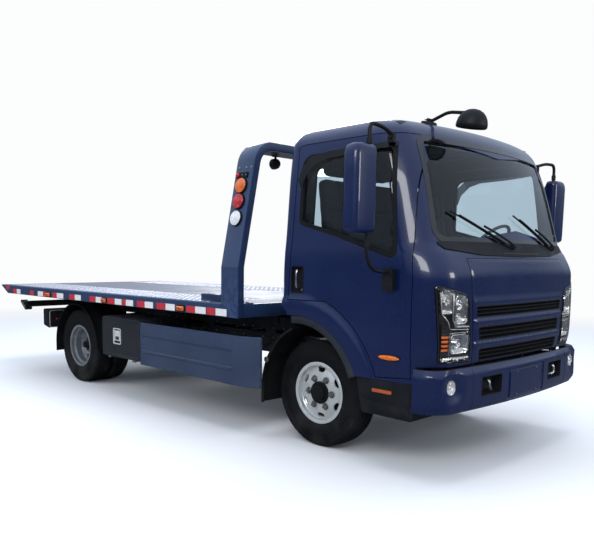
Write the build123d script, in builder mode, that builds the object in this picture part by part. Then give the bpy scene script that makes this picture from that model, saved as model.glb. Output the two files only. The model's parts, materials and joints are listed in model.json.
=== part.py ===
"""Light flatbed recovery truck with a tilting and sliding bed.

The frame has +X forward, +Y to the driver's left and +Z up. The origin lies on the
ground, under the middle of the whole length. Every length is in millimetres.
"""

import os
from math import cos, radians, sin, tan

from build123d import *

os.makedirs("parts", exist_ok=True)

# Driving sizes of the whole truck
overall_length = 5995
front_overhang = 1118
wheelbase = 3360
front_axle_x = overall_length / 2 - front_overhang
rear_axle_x = front_axle_x - wheelbase
tail_x = -overall_length / 2

# Clearances
seat_gap = 0.3
pin_clearance = 0.05
panel_gap = 6

# Tyres and rims
tyre_radius = 388
tyre_width = 196
rim_radius = 222
rim_seat_radius = 203
rim_well_radius = 186
rim_width = 152
rim_wall = 7
front_wheel_y = 775
twin_outer_y = 850
twin_spacing = 212
wheel_stud_radius = 85
hub_radius = 62
drum_radius = 158

# Chassis ladder
rail_outer_y = 375
rail_depth = 170
rail_flange = 65
rail_plate = 6
frame_top_z = 700
frame_front_x = front_axle_x + 880
frame_rear_x = front_axle_x - 4085

# Cab: heights, walls and the hinge that it tips on
cab_bottom_z = 597
cab_front_bottom_z = 700
cab_wall = 45
roof_wall = 42
roof_z = 2232
foot_floor_z = 850
seat_floor_z = 1040
floor_plate = 40
seat_floor_depth = 80
floor_step_x = front_axle_x + 440
cab_hinge_x = front_axle_x + 960
cab_hinge_z = 760
rear_corner_radius = 60

# Outline of the cab at each height, measured from the front axle:
# height, rear wall, front centre, half width, corner radius, sweep of the front arc
cab_rows = (
    (585, -246, 1050, 1000, 225, 4),
    (860, -246, 1068, 1010, 230, 4),
    (1230, -244, 1062, 1012, 230, 4),
    (1370, -240, 1034, 1009, 225, 8),
    (1450, -236, 1010, 1004, 212, 13),
    (2110, -206, 794, 967, 200, 13),
    (2200, -182, 702, 885, 195, 12),
    (roof_z, -95, 545, 770, 190, 10),
)

# Wheel arch and door, side view, measured from the front axle
arch_x = front_axle_x - 80
arch_z = 390
arch_radius = 558
arch_liner_band = 60
arch_lip_band = 153
door_rear_x = front_axle_x - 166
door_top_z = 2112
door_sill_z = 600
door_shoulder_z = 1053
door_front_low_x = front_axle_x + 858
door_front_mid_z = 1240
door_front_top_x = front_axle_x + 766
door_glass_thickness = 5
glass_inset = 14
door_hinge_x = front_axle_x + 862
door_hinge_y = 999
door_hinge_pin = 5
door_hinge_barrel = 9
door_hinge_heights = (690, 1150)
door_hinge_height = 44

# Side window, side view: distance ahead of the front axle, height
side_window = ((-84, 1573), (224, 1495), (748, 1330), (672, 2040), (-72, 2030))

# Windscreen, front view
screen_low_z = 1446
screen_top_z = 2098
screen_low_y = 868
screen_top_y = 818
screen_corner = 80

# Bed
deck_top_z = 998
deck_plate = 8
bed_half_width = 1150
bed_front_x = front_axle_x - 548
side_rail_height = 100
side_rail_width = 50
tail_wedge_length = 175
tail_tip_thickness = 14
sill_depth = 60
runner_y = 340
runner_width = 70
runner_plate = 9
tilt_rail_width = 80
tilt_rail_bottom_z = 730
tilt_rail_top_z = 835
tilt_front_x = front_axle_x - 700
tilt_rear_x = front_axle_x - 4230
tilt_hinge_x = front_axle_x - 4030
tilt_hinge_z = 780
tilt_pin_radius = 25
runner_bottom_z = tilt_rail_top_z + seat_gap

# Lamp and mirror posts of the arch over the bed's front
arch_depth = 195
arch_plate = 66
arch_bend_z = 1272
arch_lean_y = 1000
arch_lean_z = 2010
arch_top_z = 2205
arch_corner = 190


def forward(distance):
    """The part's X of a place so far ahead of the front axle."""
    return front_axle_x + distance


def block(x_low, x_high, y_low, y_high, z_low, z_high, mode=Mode.ADD):
    """A box between two corners, in the block that is being made."""
    middle = ((x_low + x_high) / 2, (y_low + y_high) / 2, (z_low + z_high) / 2)
    with Locations(middle):
        Box(x_high - x_low, y_high - y_low, z_high - z_low, mode=mode)


def side_plane(y):
    """The side view's plane at y, whose own axes are X and Z."""
    return Plane(origin=(0, y, 0), x_dir=(1, 0, 0), z_dir=(0, -1, 0))


def front_plane(x):
    """The front view's plane at x, whose own axes are Y and Z."""
    return Plane(origin=(x, 0, 0), x_dir=(0, 1, 0), z_dir=(1, 0, 0))


def side_prism(points, y_low, y_high, mode=Mode.ADD, corner=0):
    """A flat plate with a side view outline, from y_low to y_high."""
    with BuildSketch(side_plane(y_high)) as outline:
        Polygon(*points, align=None)
        if corner:
            fillet(outline.vertices(), corner)
    extrude(outline.sketch, amount=y_high - y_low, mode=mode)


def front_prism(points, x_low, x_high, mode=Mode.ADD, corner=0):
    """A flat plate with a front view outline, from x_low to x_high."""
    with BuildSketch(front_plane(x_low)) as outline:
        Polygon(*points, align=None)
        if corner:
            fillet(outline.vertices(), corner)
    extrude(outline.sketch, amount=x_high - x_low, mode=mode)


def bar_across(x, z, radius, y_low, y_high, mode=Mode.ADD):
    """A round bar along Y."""
    with BuildSketch(side_plane(y_high)) as disc:
        with Locations((x, z)):
            Circle(radius)
    extrude(disc.sketch, amount=y_high - y_low, mode=mode)


def rod_along(y, z, radius, x_low, x_high, mode=Mode.ADD):
    """A round bar along X."""
    with BuildSketch(front_plane(x_low)) as disc:
        with Locations((y, z)):
            Circle(radius)
    extrude(disc.sketch, amount=x_high - x_low, mode=mode)


def post(x, y, radius, z_low, z_high, mode=Mode.ADD):
    """A round bar along Z."""
    with BuildSketch(Plane.XY.offset(z_low)) as disc:
        with Locations((x, y)):
            Circle(radius)
    extrude(disc.sketch, amount=z_high - z_low, mode=mode)


def save(piece, name):
    """Labels a finished piece and writes it."""
    piece.label = name
    export_step(piece, f"parts/{name}.step")


def row_at(rows, height):
    """A table's sizes at one height, in line between its rows."""
    if height <= rows[0][0]:
        return rows[0][1:]
    for low, high in zip(rows, rows[1:]):
        if height <= high[0]:
            share = (height - low[0]) / (high[0] - low[0])
            return tuple(a + (b - a) * share for a, b in zip(low[1:], high[1:]))
    return rows[-1][1:]


def cab_outline(rows, height, inset):
    """The plan view outline of the cab, with a front arc that runs into round corners."""
    rear, front, half, radius, sweep = row_at(rows, height)
    rear = forward(rear) + inset
    front = forward(front) - inset
    half -= inset
    radius -= inset
    rear_radius = rear_corner_radius - inset
    lean = radians(sweep)
    end_y = half - radius + radius * sin(lean)
    end_x = front - end_y * tan(lean / 2)
    start_x = end_x - radius * cos(lean)
    with BuildLine() as outline:
        right = Line((rear + rear_radius, -half), (start_x, -half))
        right_corner = JernArc(right @ 1, right % 1, radius, 90 - sweep)
        nose = ThreePointArc(right_corner @ 1, (front, 0), (end_x, end_y))
        left_corner = JernArc(nose @ 1, (-sin(lean), cos(lean)), radius, 90 - sweep)
        left = Line(left_corner @ 1, (rear + rear_radius, half))
        left_rear = JernArc(left @ 1, (-1, 0), rear_radius, 90)
        back = Line(left_rear @ 1, (rear, rear_radius - half))
        JernArc(back @ 1, (0, -1), rear_radius, 90)
    make_face(outline.edges())


def cab_form(inset, low, high, mode=Mode.ADD, rows=cab_rows):
    """The cab's outer form, set in by the inset, between two heights."""
    between = [row[0] for row in rows if low < row[0] < high]
    sections = []
    for height in (low, *between, high):
        with BuildSketch(Plane.XY.offset(height)) as section:
            cab_outline(rows, height, inset)
        sections.append(section.sketch)
    loft(sections, ruled=True, mode=mode)


def nose_x(height, y):
    """Where the cab's front arc lies at a height and a distance from the middle."""
    _, front, half, radius, sweep = row_at(cab_rows, height)
    lean = radians(sweep)
    end_y = half - radius + radius * sin(lean)
    bulge = end_y * tan(lean / 2)
    arc_radius = (end_y**2 + bulge**2) / (2 * bulge)
    return forward(front) - arc_radius + (arc_radius**2 - y**2) ** 0.5


def nose_height(x, y):
    """How high the roof's front slope is above a place ahead of the roof's flat."""
    low, high = cab_rows[-2][0], cab_rows[-1][0]
    x_low, x_high = nose_x(low, y), nose_x(high, y)
    return low + (high - low) * (x - x_low) / (x_high - x_low)


def door_outline(shrink):
    """The door's side view outline, drawn in by the shrink."""
    arc_radius = arch_radius + arch_lip_band
    rise = door_shoulder_z - arch_z
    arc_start_x = arch_x + (arc_radius**2 - rise**2) ** 0.5
    drop = door_sill_z - arch_z
    arc_end_x = arch_x + (arc_radius**2 - drop**2) ** 0.5
    middle = radians(40)
    arc_middle = (arch_x + arc_radius * cos(middle), arch_z + arc_radius * sin(middle))
    with BuildLine() as outline:
        shoulder = Line((door_rear_x, door_shoulder_z), (arc_start_x, door_shoulder_z))
        arch = ThreePointArc(shoulder @ 1, arc_middle, (arc_end_x, door_sill_z))
        Polyline(
            arch @ 1,
            (door_front_low_x, door_sill_z),
            (door_front_low_x, door_front_mid_z),
            (door_front_top_x, door_top_z),
            (door_rear_x, door_top_z),
            shoulder @ 0,
        )
    make_face(outline.edges())
    if shrink:
        offset(amount=-shrink, kind=Kind.INTERSECTION)


def window_outline(shrink):
    """The side window's outline, drawn in by the shrink."""
    points = [(forward(ahead), height) for ahead, height in side_window]
    with BuildSketch(mode=Mode.PRIVATE) as window:
        Polygon(*points, align=None)
        fillet(window.vertices(), 45)
        if shrink:
            offset(amount=-shrink)
    add(window.sketch)


# Chassis frame: two channel rails, cross-members, brackets and hinge lugs
barrel_pivot_ahead = -2300
barrel_pivot_x = forward(barrel_pivot_ahead)
barrel_pivot_z = 590
cross_member_z = 600
cross_members = (  # ahead of the front axle, height, radius
    (800, cross_member_z, 40),
    (-1030, 657, 32),
    (barrel_pivot_ahead, barrel_pivot_z, tilt_pin_radius),
    (-2950, cross_member_z, 38),
    (-3700, cross_member_z, 38),
    (-4030, cross_member_z, 42),
)
hinge_lug_gap = 2
hinge_lug_plate = 15
front_spring_y = runner_y
rear_spring_y = 455
front_spring_eyes = (forward(560), forward(-560))
rear_spring_eyes = (rear_axle_x + 600, rear_axle_x - 600)
spring_width = 60
front_spring_eye_z = 485
rear_spring_eye_z = 560
eye_radius = 26

with BuildPart() as chassis_frame:
    for side in (-1, 1):
        web = side * rail_outer_y
        lip = side * (rail_outer_y - rail_flange)
        inner = side * (rail_outer_y - rail_plate)
        low = frame_top_z - rail_depth
        channel = (
            (web, low),
            (lip, low),
            (lip, low + rail_plate),
            (inner, low + rail_plate),
            (inner, frame_top_z - rail_plate),
            (lip, frame_top_z - rail_plate),
            (lip, frame_top_z),
            (web, frame_top_z),
        )
        front_prism(channel, frame_rear_x, frame_front_x)
        web_low, web_high = sorted((inner, web))
        pad_low, pad_high = sorted((web, lip))
        for ahead in (-1050, -1900, -2750, -3550):
            block(
                forward(ahead), forward(ahead) + 120, pad_low, pad_high, frame_top_z, tilt_rail_bottom_z - seat_gap
            )
        # Lugs of the hinge that the bed tilts on
        for lug_inner in (
            runner_y + tilt_rail_width / 2 + hinge_lug_gap,
            runner_y - tilt_rail_width / 2 - hinge_lug_gap - hinge_lug_plate,
        ):
            lug_low, lug_high = sorted((side * lug_inner, side * (lug_inner + hinge_lug_plate)))
            side_prism(
                (
                    (tilt_hinge_x - 55, cross_member_z - 30),
                    (tilt_hinge_x + 90, cross_member_z - 30),
                    (tilt_hinge_x + 40, tilt_hinge_z),
                    (tilt_hinge_x - 40, tilt_hinge_z),
                ),
                lug_low,
                lug_high,
            )
            bar_across(tilt_hinge_x, tilt_hinge_z, 40, lug_low, lug_high)
        pin_low, pin_high = sorted(
            (
                side * (runner_y - tilt_rail_width / 2 - hinge_lug_gap - 1),
                side * (runner_y + tilt_rail_width / 2 + hinge_lug_gap + 1),
            )
        )
        bar_across(tilt_hinge_x, tilt_hinge_z, tilt_pin_radius, pin_low, pin_high)
        foot_low, foot_high = sorted((web, side * (runner_y + tilt_rail_width / 2 + hinge_lug_gap + 5)))
        block(tilt_hinge_x - 50, tilt_hinge_x + 85, foot_low, foot_high, cross_member_z - 30, cross_member_z + 40)
        # Plates of the hinge that the cab tips on, with their pins
        plate_low, plate_high = sorted((web, side * (rail_outer_y - 30)))
        side_prism(
            (
                (forward(800), frame_top_z - rail_depth),
                (forward(885), frame_top_z - 100),
                (cab_hinge_x - 14, cab_hinge_z - 37),
                (cab_hinge_x - 24, cab_hinge_z + 31),
                (forward(800), frame_top_z),
            ),
            plate_low,
            plate_high,
        )
        bar_across(cab_hinge_x, cab_hinge_z, 39, plate_low, plate_high)
        stub_low, stub_high = sorted((side * (rail_outer_y - 29), side * (rail_outer_y - 72)))
        bar_across(cab_hinge_x, cab_hinge_z, 15, stub_low, stub_high)
        # Hangers of the leaf springs
        for eye_x in front_spring_eyes:
            hang_low, hang_high = sorted(
                (side * (front_spring_y - spring_width / 2), side * (front_spring_y + spring_width / 2))
            )
            block(eye_x - 20, eye_x + 20, hang_low, hang_high, front_spring_eye_z + eye_radius, low + 2)
        for eye_x in rear_spring_eyes:
            hang_low, hang_high = sorted((web, side * (rear_spring_y + spring_width / 2)))
            block(
                eye_x - 20, eye_x + 20, hang_low, hang_high, rear_spring_eye_z + eye_radius, rear_spring_eye_z + 60
            )
    for ahead, height, radius in cross_members:
        bar_across(forward(ahead), height, radius, -rail_outer_y + 3, rail_outer_y - 3)
save(chassis_frame.part, "chassis_frame")

# Axles. The front beam carries a kingpin boss at each end
kingpin_y = 640
kingpin_radius = 14
boss_radius = 34
boss_half_height = 48
axle_z = tyre_radius
beam_drop = 40
spring_pack = 48
front_beam_top = axle_z - 8
rear_tube_radius = 55
rear_axle_half = 556
spindle_radius = 26

with BuildPart() as front_axle:
    beam = (
        (-kingpin_y, axle_z + 26),
        (-kingpin_y, axle_z - 30),
        (-480, axle_z - 70),
        (480, axle_z - 70),
        (kingpin_y, axle_z - 30),
        (kingpin_y, axle_z + 26),
        (460, front_beam_top),
        (-460, front_beam_top),
    )
    front_prism(beam, front_axle_x - 32, front_axle_x + 32)
    for side in (-1, 1):
        post(front_axle_x, side * kingpin_y, boss_radius, axle_z - boss_half_height, axle_z + boss_half_height)
        post(
            front_axle_x,
            side * kingpin_y,
            kingpin_radius + pin_clearance,
            axle_z - 60,
            axle_z + 60,
            mode=Mode.SUBTRACT,
        )
save(front_axle.part, "front_axle")

with BuildPart() as rear_axle:
    bar_across(rear_axle_x, axle_z, rear_tube_radius, -rear_axle_half, rear_axle_half)
    with Locations((rear_axle_x, 0, axle_z)):
        Sphere(150)
    rod_along(0, axle_z, 62, rear_axle_x, rear_axle_x + 250)
    for side in (-1, 1):
        spindle_low, spindle_high = sorted((side * (rear_axle_half - 2), side * (twin_outer_y + 40)))
        bar_across(rear_axle_x, axle_z, spindle_radius, spindle_low, spindle_high)
        pad_low, pad_high = sorted(
            (side * (rear_spring_y - spring_width / 2), side * (rear_spring_y + spring_width / 2))
        )
        block(rear_axle_x - 60, rear_axle_x + 60, pad_low, pad_high, axle_z + 30, axle_z + 70)
save(rear_axle.part, "rear_axle")

# Leaf springs, curved packs with an eye at each end
with BuildPart() as leaf_springs:
    spring_rows = (  # centre x, eye x front, eye x rear, side y, eye height, seat height
        (front_axle_x, *front_spring_eyes, front_spring_y, front_spring_eye_z, front_beam_top + seat_gap),
        (rear_axle_x, *rear_spring_eyes, rear_spring_y, rear_spring_eye_z, axle_z + 70 + seat_gap),
    )
    for centre_x, eye_front, eye_rear, spring_y, eye_z, seat_z in spring_rows:
        for side in (-1, 1):
            with BuildSketch(side_plane(side * spring_y + spring_width / 2)):
                with BuildLine():
                    lower = ThreePointArc((eye_rear, eye_z - 20), (centre_x, seat_z), (eye_front, eye_z - 20))
                    thin = Line(lower @ 1, (eye_front, eye_z - 8))
                    upper = ThreePointArc(thin @ 1, (centre_x, seat_z + spring_pack), (eye_rear, eye_z - 8))
                    Line(upper @ 1, lower @ 0)
                make_face()
                with Locations((eye_front, eye_z), (eye_rear, eye_z)):
                    Circle(eye_radius - seat_gap)
            extrude(amount=spring_width)
save(leaf_springs.part, "leaf_springs")

# Engine, gearbox with its shaft, silencer and fuel tank
engine_half_width = 245
engine_rear_x = forward(-330)
with BuildPart() as engine:
    block(engine_rear_x, forward(370), -engine_half_width, engine_half_width, 436, 930)
    chamfer(engine.edges().filter_by(Axis.X), 40)
    mount_reach = rail_outer_y - rail_plate - seat_gap
    block(forward(20), forward(100), -mount_reach, mount_reach, 560, 610)
save(engine.part, "engine")

gearbox_rear_x = forward(-980)
with BuildPart() as driveline:
    with BuildSketch(Plane(origin=(engine_rear_x - seat_gap, 0, 590), x_dir=(0, 1, 0), z_dir=(-1, 0, 0))):
        Circle(190)
    with BuildSketch(Plane(origin=(forward(-560), 0, 570), x_dir=(0, 1, 0), z_dir=(-1, 0, 0))):
        Circle(125)
    loft(ruled=True)
    with BuildSketch(Plane(origin=(forward(-558), 0, 570), x_dir=(0, 1, 0), z_dir=(-1, 0, 0))):
        Circle(110)
    with BuildSketch(Plane(origin=(gearbox_rear_x, 0, 545), x_dir=(0, 1, 0), z_dir=(-1, 0, 0))):
        Circle(60)
    loft(ruled=True)
    with BuildSketch(Plane(origin=(gearbox_rear_x + 5, 0, 545), x_dir=(0, 1, 0), z_dir=(-1, 0, 0))):
        Circle(44)
    with BuildSketch(
        Plane(origin=(rear_axle_x + 250 + seat_gap, 0, axle_z), x_dir=(0, 1, 0), z_dir=(-1, 0, 0))
    ):
        Circle(44)
    loft(ruled=True)
save(driveline.part, "driveline")

exhaust_y = 520
exhaust_z = 520
with BuildPart() as exhaust:
    rod_along(exhaust_y, exhaust_z, 105, forward(-1300), forward(-700))
    rod_along(exhaust_y, exhaust_z, 32, forward(-1900), forward(-520))
    for ahead in (-1250, -800):
        block(forward(ahead), forward(ahead) + 30, rail_outer_y, exhaust_y - 20, 560, 600)
save(exhaust.part, "exhaust")

with BuildPart() as fuel_tank:
    block(forward(-1830), forward(-1340), rail_outer_y + 20, 930, 420, 740)
    fillet(fuel_tank.edges().filter_by(Axis.X), 60)
    for ahead in (-1760, -1480):
        block(forward(ahead), forward(ahead) + 50, rail_outer_y, rail_outer_y + 22, 500, 700)
    rod_along(exhaust_y, exhaust_z, 45, forward(-1900), forward(-1300), mode=Mode.SUBTRACT)
save(fuel_tank.part, "fuel_tank")


def revolve_about_axle(x, points):
    """Turns a section of (radius, y) points about an axle."""
    with BuildSketch(Plane(origin=(x, 0, axle_z), x_dir=(0, 0, 1), z_dir=(1, 0, 0))) as section:
        Polygon(*[(radius, -y) for radius, y in points], align=None)
    revolve(section.sketch, axis=Axis((x, 0, axle_z), (0, 1, 0)))


# Knuckles: a fork round the axle's boss, a backing plate, a spindle and a track arm
fork_gap = 5
fork_plate = 26
web_y = kingpin_y + 52
backing_y = 700
spindle_tip_y = front_wheel_y + 70
track_arm_x = front_axle_x - 170
track_arm_y = kingpin_y
track_arm_z = axle_z - boss_half_height - fork_gap - fork_plate / 2

for name, side in (("right", -1), ("left", 1)):
    with BuildPart() as knuckle:
        y = side * kingpin_y
        for z_low in (axle_z + boss_half_height + fork_gap, axle_z - boss_half_height - fork_gap - fork_plate):
            post(front_axle_x, y, 36, z_low, z_low + fork_plate)
            arm_low, arm_high = sorted((y, side * (web_y + 10)))
            block(front_axle_x - 30, front_axle_x + 30, arm_low, arm_high, z_low, z_low + fork_plate)
        post(
            front_axle_x,
            y,
            kingpin_radius,
            axle_z - boss_half_height - fork_gap - fork_plate,
            axle_z + boss_half_height + fork_gap + fork_plate,
        )
        web_low, web_high = sorted((side * web_y, side * backing_y))
        block(
            front_axle_x - 30,
            front_axle_x + 30,
            web_low,
            web_high,
            axle_z - boss_half_height - fork_gap - fork_plate,
            axle_z + boss_half_height + fork_gap + fork_plate,
        )
        plate_low, plate_high = sorted((side * backing_y, side * (backing_y + 8)))
        bar_across(front_axle_x, axle_z, 150, plate_low, plate_high)
        spindle_low, spindle_high = sorted((side * backing_y, side * spindle_tip_y))
        bar_across(front_axle_x, axle_z, spindle_radius, spindle_low, spindle_high)
        with BuildSketch(Plane.XY.offset(track_arm_z - fork_plate / 2)):
            with BuildLine():
                Polyline(
                    (front_axle_x - 20, y - 26),
                    (front_axle_x - 20, y + 26),
                    (track_arm_x, side * track_arm_y + 20),
                    (track_arm_x, side * track_arm_y - 20),
                    close=True,
                )
            make_face()
            with Locations((track_arm_x, side * track_arm_y)):
                Circle(22)
        extrude(amount=fork_plate)
        post(
            track_arm_x,
            side * track_arm_y,
            10 + pin_clearance,
            track_arm_z - 40,
            track_arm_z + 40,
            mode=Mode.SUBTRACT,
        )
    save(knuckle.part, f"knuckle_{name}")

# Track rod under the knuckle arms. Its left pin fills its bore and its right one has room
track_rod_z = track_arm_z - fork_plate / 2 - 6 - 14
with BuildPart() as track_rod:
    bar_across(track_arm_x, track_rod_z, 14, -track_arm_y, track_arm_y)
    post(track_arm_x, track_arm_y, 10, track_rod_z, track_arm_z + fork_plate / 2)
    post(track_arm_x, -track_arm_y, 8, track_rod_z, track_arm_z + fork_plate / 2)
save(track_rod.part, "track_rod")


def tyre_points(middle_y):
    """Half section of a tyre as (radius, y), its bead seated on the rim."""
    half = tyre_width / 2
    bead = rim_width / 2 - 1
    sections = (
        (rim_seat_radius + seat_gap, -bead),
        (rim_radius + 3, -bead),
        (rim_radius + 14, -bead - 6),
        (rim_radius + 60, -half),
        (tyre_radius - 62, -half),
        (tyre_radius - 14, -half + 13),
        (tyre_radius, -half + 30),
    )
    across = list(sections) + [(radius, -y) for radius, y in reversed(sections)]
    return [(radius, middle_y + y) for radius, y in across]


def rim_points(side, middle_y):
    """Half section of a rim as (radius, y)."""
    half = rim_width / 2
    outer = (
        (rim_radius, -half - 9),
        (rim_radius, -half),
        (rim_seat_radius, -half),
        (rim_seat_radius, -half + 30),
        (rim_well_radius, -half + 44),
        (rim_well_radius, half - 44),
        (rim_seat_radius, half - 30),
        (rim_seat_radius, half),
        (rim_radius, half),
        (rim_radius, half + 9),
    )
    inner = (
        (rim_seat_radius - rim_wall, half + 9),
        (rim_seat_radius - rim_wall, half - 26),
        (rim_well_radius - rim_wall, half - 40),
        (rim_well_radius - rim_wall, -half + 40),
        (rim_seat_radius - rim_wall, -half + 26),
        (rim_seat_radius - rim_wall, -half - 9),
    )
    return [(radius, middle_y + side * along) for radius, along in (*outer, *inner)]


# Wheels. The front disc is domed outwards and the twin discs are dished inwards
front_vents = 6
hub_bore = spindle_radius + pin_clearance
for name, side in (("right", -1), ("left", 1)):
    with BuildPart() as front_wheel:
        revolve_about_axle(front_axle_x, rim_points(side, side * front_wheel_y))
        disc = (
            (hub_bore, 58),
            (hub_bore, 92),
            (48, 92),
            (52, 66),
            (118, 66),
            (140, 56),
            (168, 30),
            (rim_well_radius - rim_wall + 2, 22),
            (rim_well_radius - rim_wall + 2, 14),
            (165, 20),
            (136, 46),
            (116, 56),
        )
        revolve_about_axle(front_axle_x, [(r, side * (front_wheel_y + y)) for r, y in disc])
        drum = (
            (hub_bore, -52),
            (hub_bore, 59),
            (hub_radius, 59),
            (hub_radius, 0),
            (drum_radius, -4),
            (drum_radius, -60),
            (drum_radius - 8, -60),
            (drum_radius - 8, -12),
            (hub_radius - 8, -12),
            (hub_radius - 8, -52),
        )
        revolve_about_axle(front_axle_x, [(r, side * (front_wheel_y + y)) for r, y in drum])
        vent_plane = side_plane(side * (front_wheel_y + 40) + 30)
        with BuildSketch(vent_plane):
            with Locations((front_axle_x, axle_z)):
                with PolarLocations(146, front_vents):
                    SlotOverall(44, 26, rotation=90)
        extrude(amount=60, mode=Mode.SUBTRACT)
        nut_low, nut_high = sorted((side * (front_wheel_y + 60), side * (front_wheel_y + 86)))
        with BuildSketch(side_plane(nut_high)):
            with Locations((front_axle_x, axle_z)):
                with PolarLocations(wheel_stud_radius, 6, start_angle=30):
                    RegularPolygon(15, 6)
        extrude(amount=nut_high - nut_low)
        cap_low, cap_high = sorted((side * (spindle_tip_y + 2), side * (front_wheel_y + 96)))
        bar_across(front_axle_x, axle_z, 46, cap_low, cap_high)
    save(front_wheel.part, f"front_wheel_{name}")

    with BuildPart() as front_tyre:
        revolve_about_axle(front_axle_x, tyre_points(side * front_wheel_y))
    save(front_tyre.part, f"front_tyre_{name}")

    twin_inner_y = twin_outer_y - twin_spacing
    with BuildPart() as rear_wheels:
        revolve_about_axle(rear_axle_x, rim_points(side, side * twin_outer_y))
        revolve_about_axle(rear_axle_x, rim_points(side, side * twin_inner_y))
        mating = (twin_outer_y + twin_inner_y) / 2
        for outwards, middle in ((1, twin_outer_y), (-1, twin_inner_y)):
            rear_disc = (
                (hub_bore, mating),
                (118, mating),
                (140, mating + outwards * 14),
                (164, mating + outwards * 50),
                (rim_well_radius - rim_wall + 2, mating + outwards * 74),
                (rim_well_radius - rim_wall + 2, mating + outwards * 84),
                (158, mating + outwards * 60),
                (134, mating + outwards * 24),
                (116, mating + outwards * 10),
                (hub_bore, mating + outwards * 10),
            )
            revolve_about_axle(rear_axle_x, [(r, side * y) for r, y in rear_disc])
        rear_hub = (
            (hub_bore, mating - 110),
            (hub_bore, mating + 92),
            (60, mating + 92),
            (66, mating + 10),
            (66, mating - 20),
            (drum_radius, mating - 24),
            (drum_radius, mating - 110),
            (drum_radius - 8, mating - 110),
            (drum_radius - 8, mating - 32),
            (58, mating - 32),
            (58, mating - 110),
        )
        revolve_about_axle(rear_axle_x, [(r, side * y) for r, y in rear_hub])
        nut_low, nut_high = sorted((side * (mating + 9), side * (mating + 32)))
        with BuildSketch(side_plane(nut_high)):
            with Locations((rear_axle_x, axle_z)):
                with PolarLocations(wheel_stud_radius, 6, start_angle=30):
                    RegularPolygon(15, 6)
        extrude(amount=nut_high - nut_low)
    save(rear_wheels.part, f"rear_wheels_{name}")

    with BuildPart() as rear_tyres:
        for middle in (twin_outer_y, twin_inner_y):
            revolve_about_axle(rear_axle_x, tyre_points(side * middle))
    save(rear_tyres.part, f"rear_tyres_{name}")

# Front bumper: a hollow pressing that follows the cab's plan, on two arms
bumper_rear_x = forward(895)
bumper_wall = 26
bumper_rows = (  # height, rear, front centre, half width, corner radius, sweep
    (418, 300, 1100, 1002, 180, 6),
    (470, 300, 1118, 1028, 170, 6),
    (660, 300, 1118, 1030, 170, 6),
    (693, 300, 1108, 1022, 170, 6),
)
tow_hole_y = 458
fog_lamp_y = 860
fog_lamp_z = 582
fog_hole_half = 58
fog_hole_corner = 54
with BuildPart() as front_bumper:
    cab_form(0, bumper_rows[0][0], bumper_rows[-1][0], rows=bumper_rows)
    cab_form(bumper_wall, bumper_rows[0][0] - 1, bumper_rows[-1][0] + 1, mode=Mode.SUBTRACT, rows=bumper_rows)
    block(forward(200), bumper_rear_x, -1100, 1100, 400, 720, mode=Mode.SUBTRACT)
    for side in (-1, 1):
        hole = [(side * tow_hole_y + dy, 561 + dz) for dy, dz in ((-110, -58), (110, -58), (110, 58), (-110, 58))]
        front_prism(hole, forward(1000), forward(1150), mode=Mode.SUBTRACT, corner=18)
        lamp_hole = [
            (side * fog_lamp_y + dy * fog_hole_half, fog_lamp_z + dz * fog_hole_half)
            for dy, dz in ((-1, -1), (1, -1), (1, 1), (-1, 1))
        ]
        front_prism(lamp_hole, forward(960), forward(1150), mode=Mode.SUBTRACT, corner=fog_hole_corner)
        arm_low, arm_high = sorted((side * (rail_outer_y - 60), side * (rail_outer_y - 31)))
        block(frame_front_x, forward(1094), arm_low, arm_high, frame_top_z - rail_depth, 600)
save(front_bumper.part, "front_bumper")

# Round fog lamps in the bumper's holes
with BuildPart() as fog_lamps:
    for side in (-1, 1):
        y = side * fog_lamp_y
        reach = fog_hole_half - seat_gap
        rod_along(y, fog_lamp_z, 50, forward(1000), forward(1068))
        flange = [(y + dy * reach, fog_lamp_z + dz * reach) for dy, dz in ((-1, -1), (1, -1), (1, 1), (-1, 1))]
        front_prism(flange, forward(1052), forward(1060), corner=fog_hole_corner - seat_gap)
        block(forward(990), forward(1001), y - 52, y + 52, fog_lamp_z - 52, fog_lamp_z + 52)
save(fog_lamps.part, "fog_lamps")

# Black step boxes under the doors, carried by two tubes from the frame
with BuildPart() as cab_steps:
    for side in (-1, 1):
        step_low, step_high = sorted((side * 770, side * 1004))
        side_prism(
            (
                (forward(448), 590),
                (forward(496), 360),
                (forward(886), 360),
                (forward(886), 590),
            ),
            step_low,
            step_high,
        )
        well_low, well_high = sorted((side * 860, side * 1010))
        block(forward(560), forward(860), well_low, well_high, 545, 600, mode=Mode.SUBTRACT)
        tube_low, tube_high = sorted((side * rail_outer_y, side * 772))
        for ahead in (600, 780):
            bar_across(forward(ahead), 570, 19, tube_low, tube_high)
save(cab_steps.part, "cab_steps")

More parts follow.
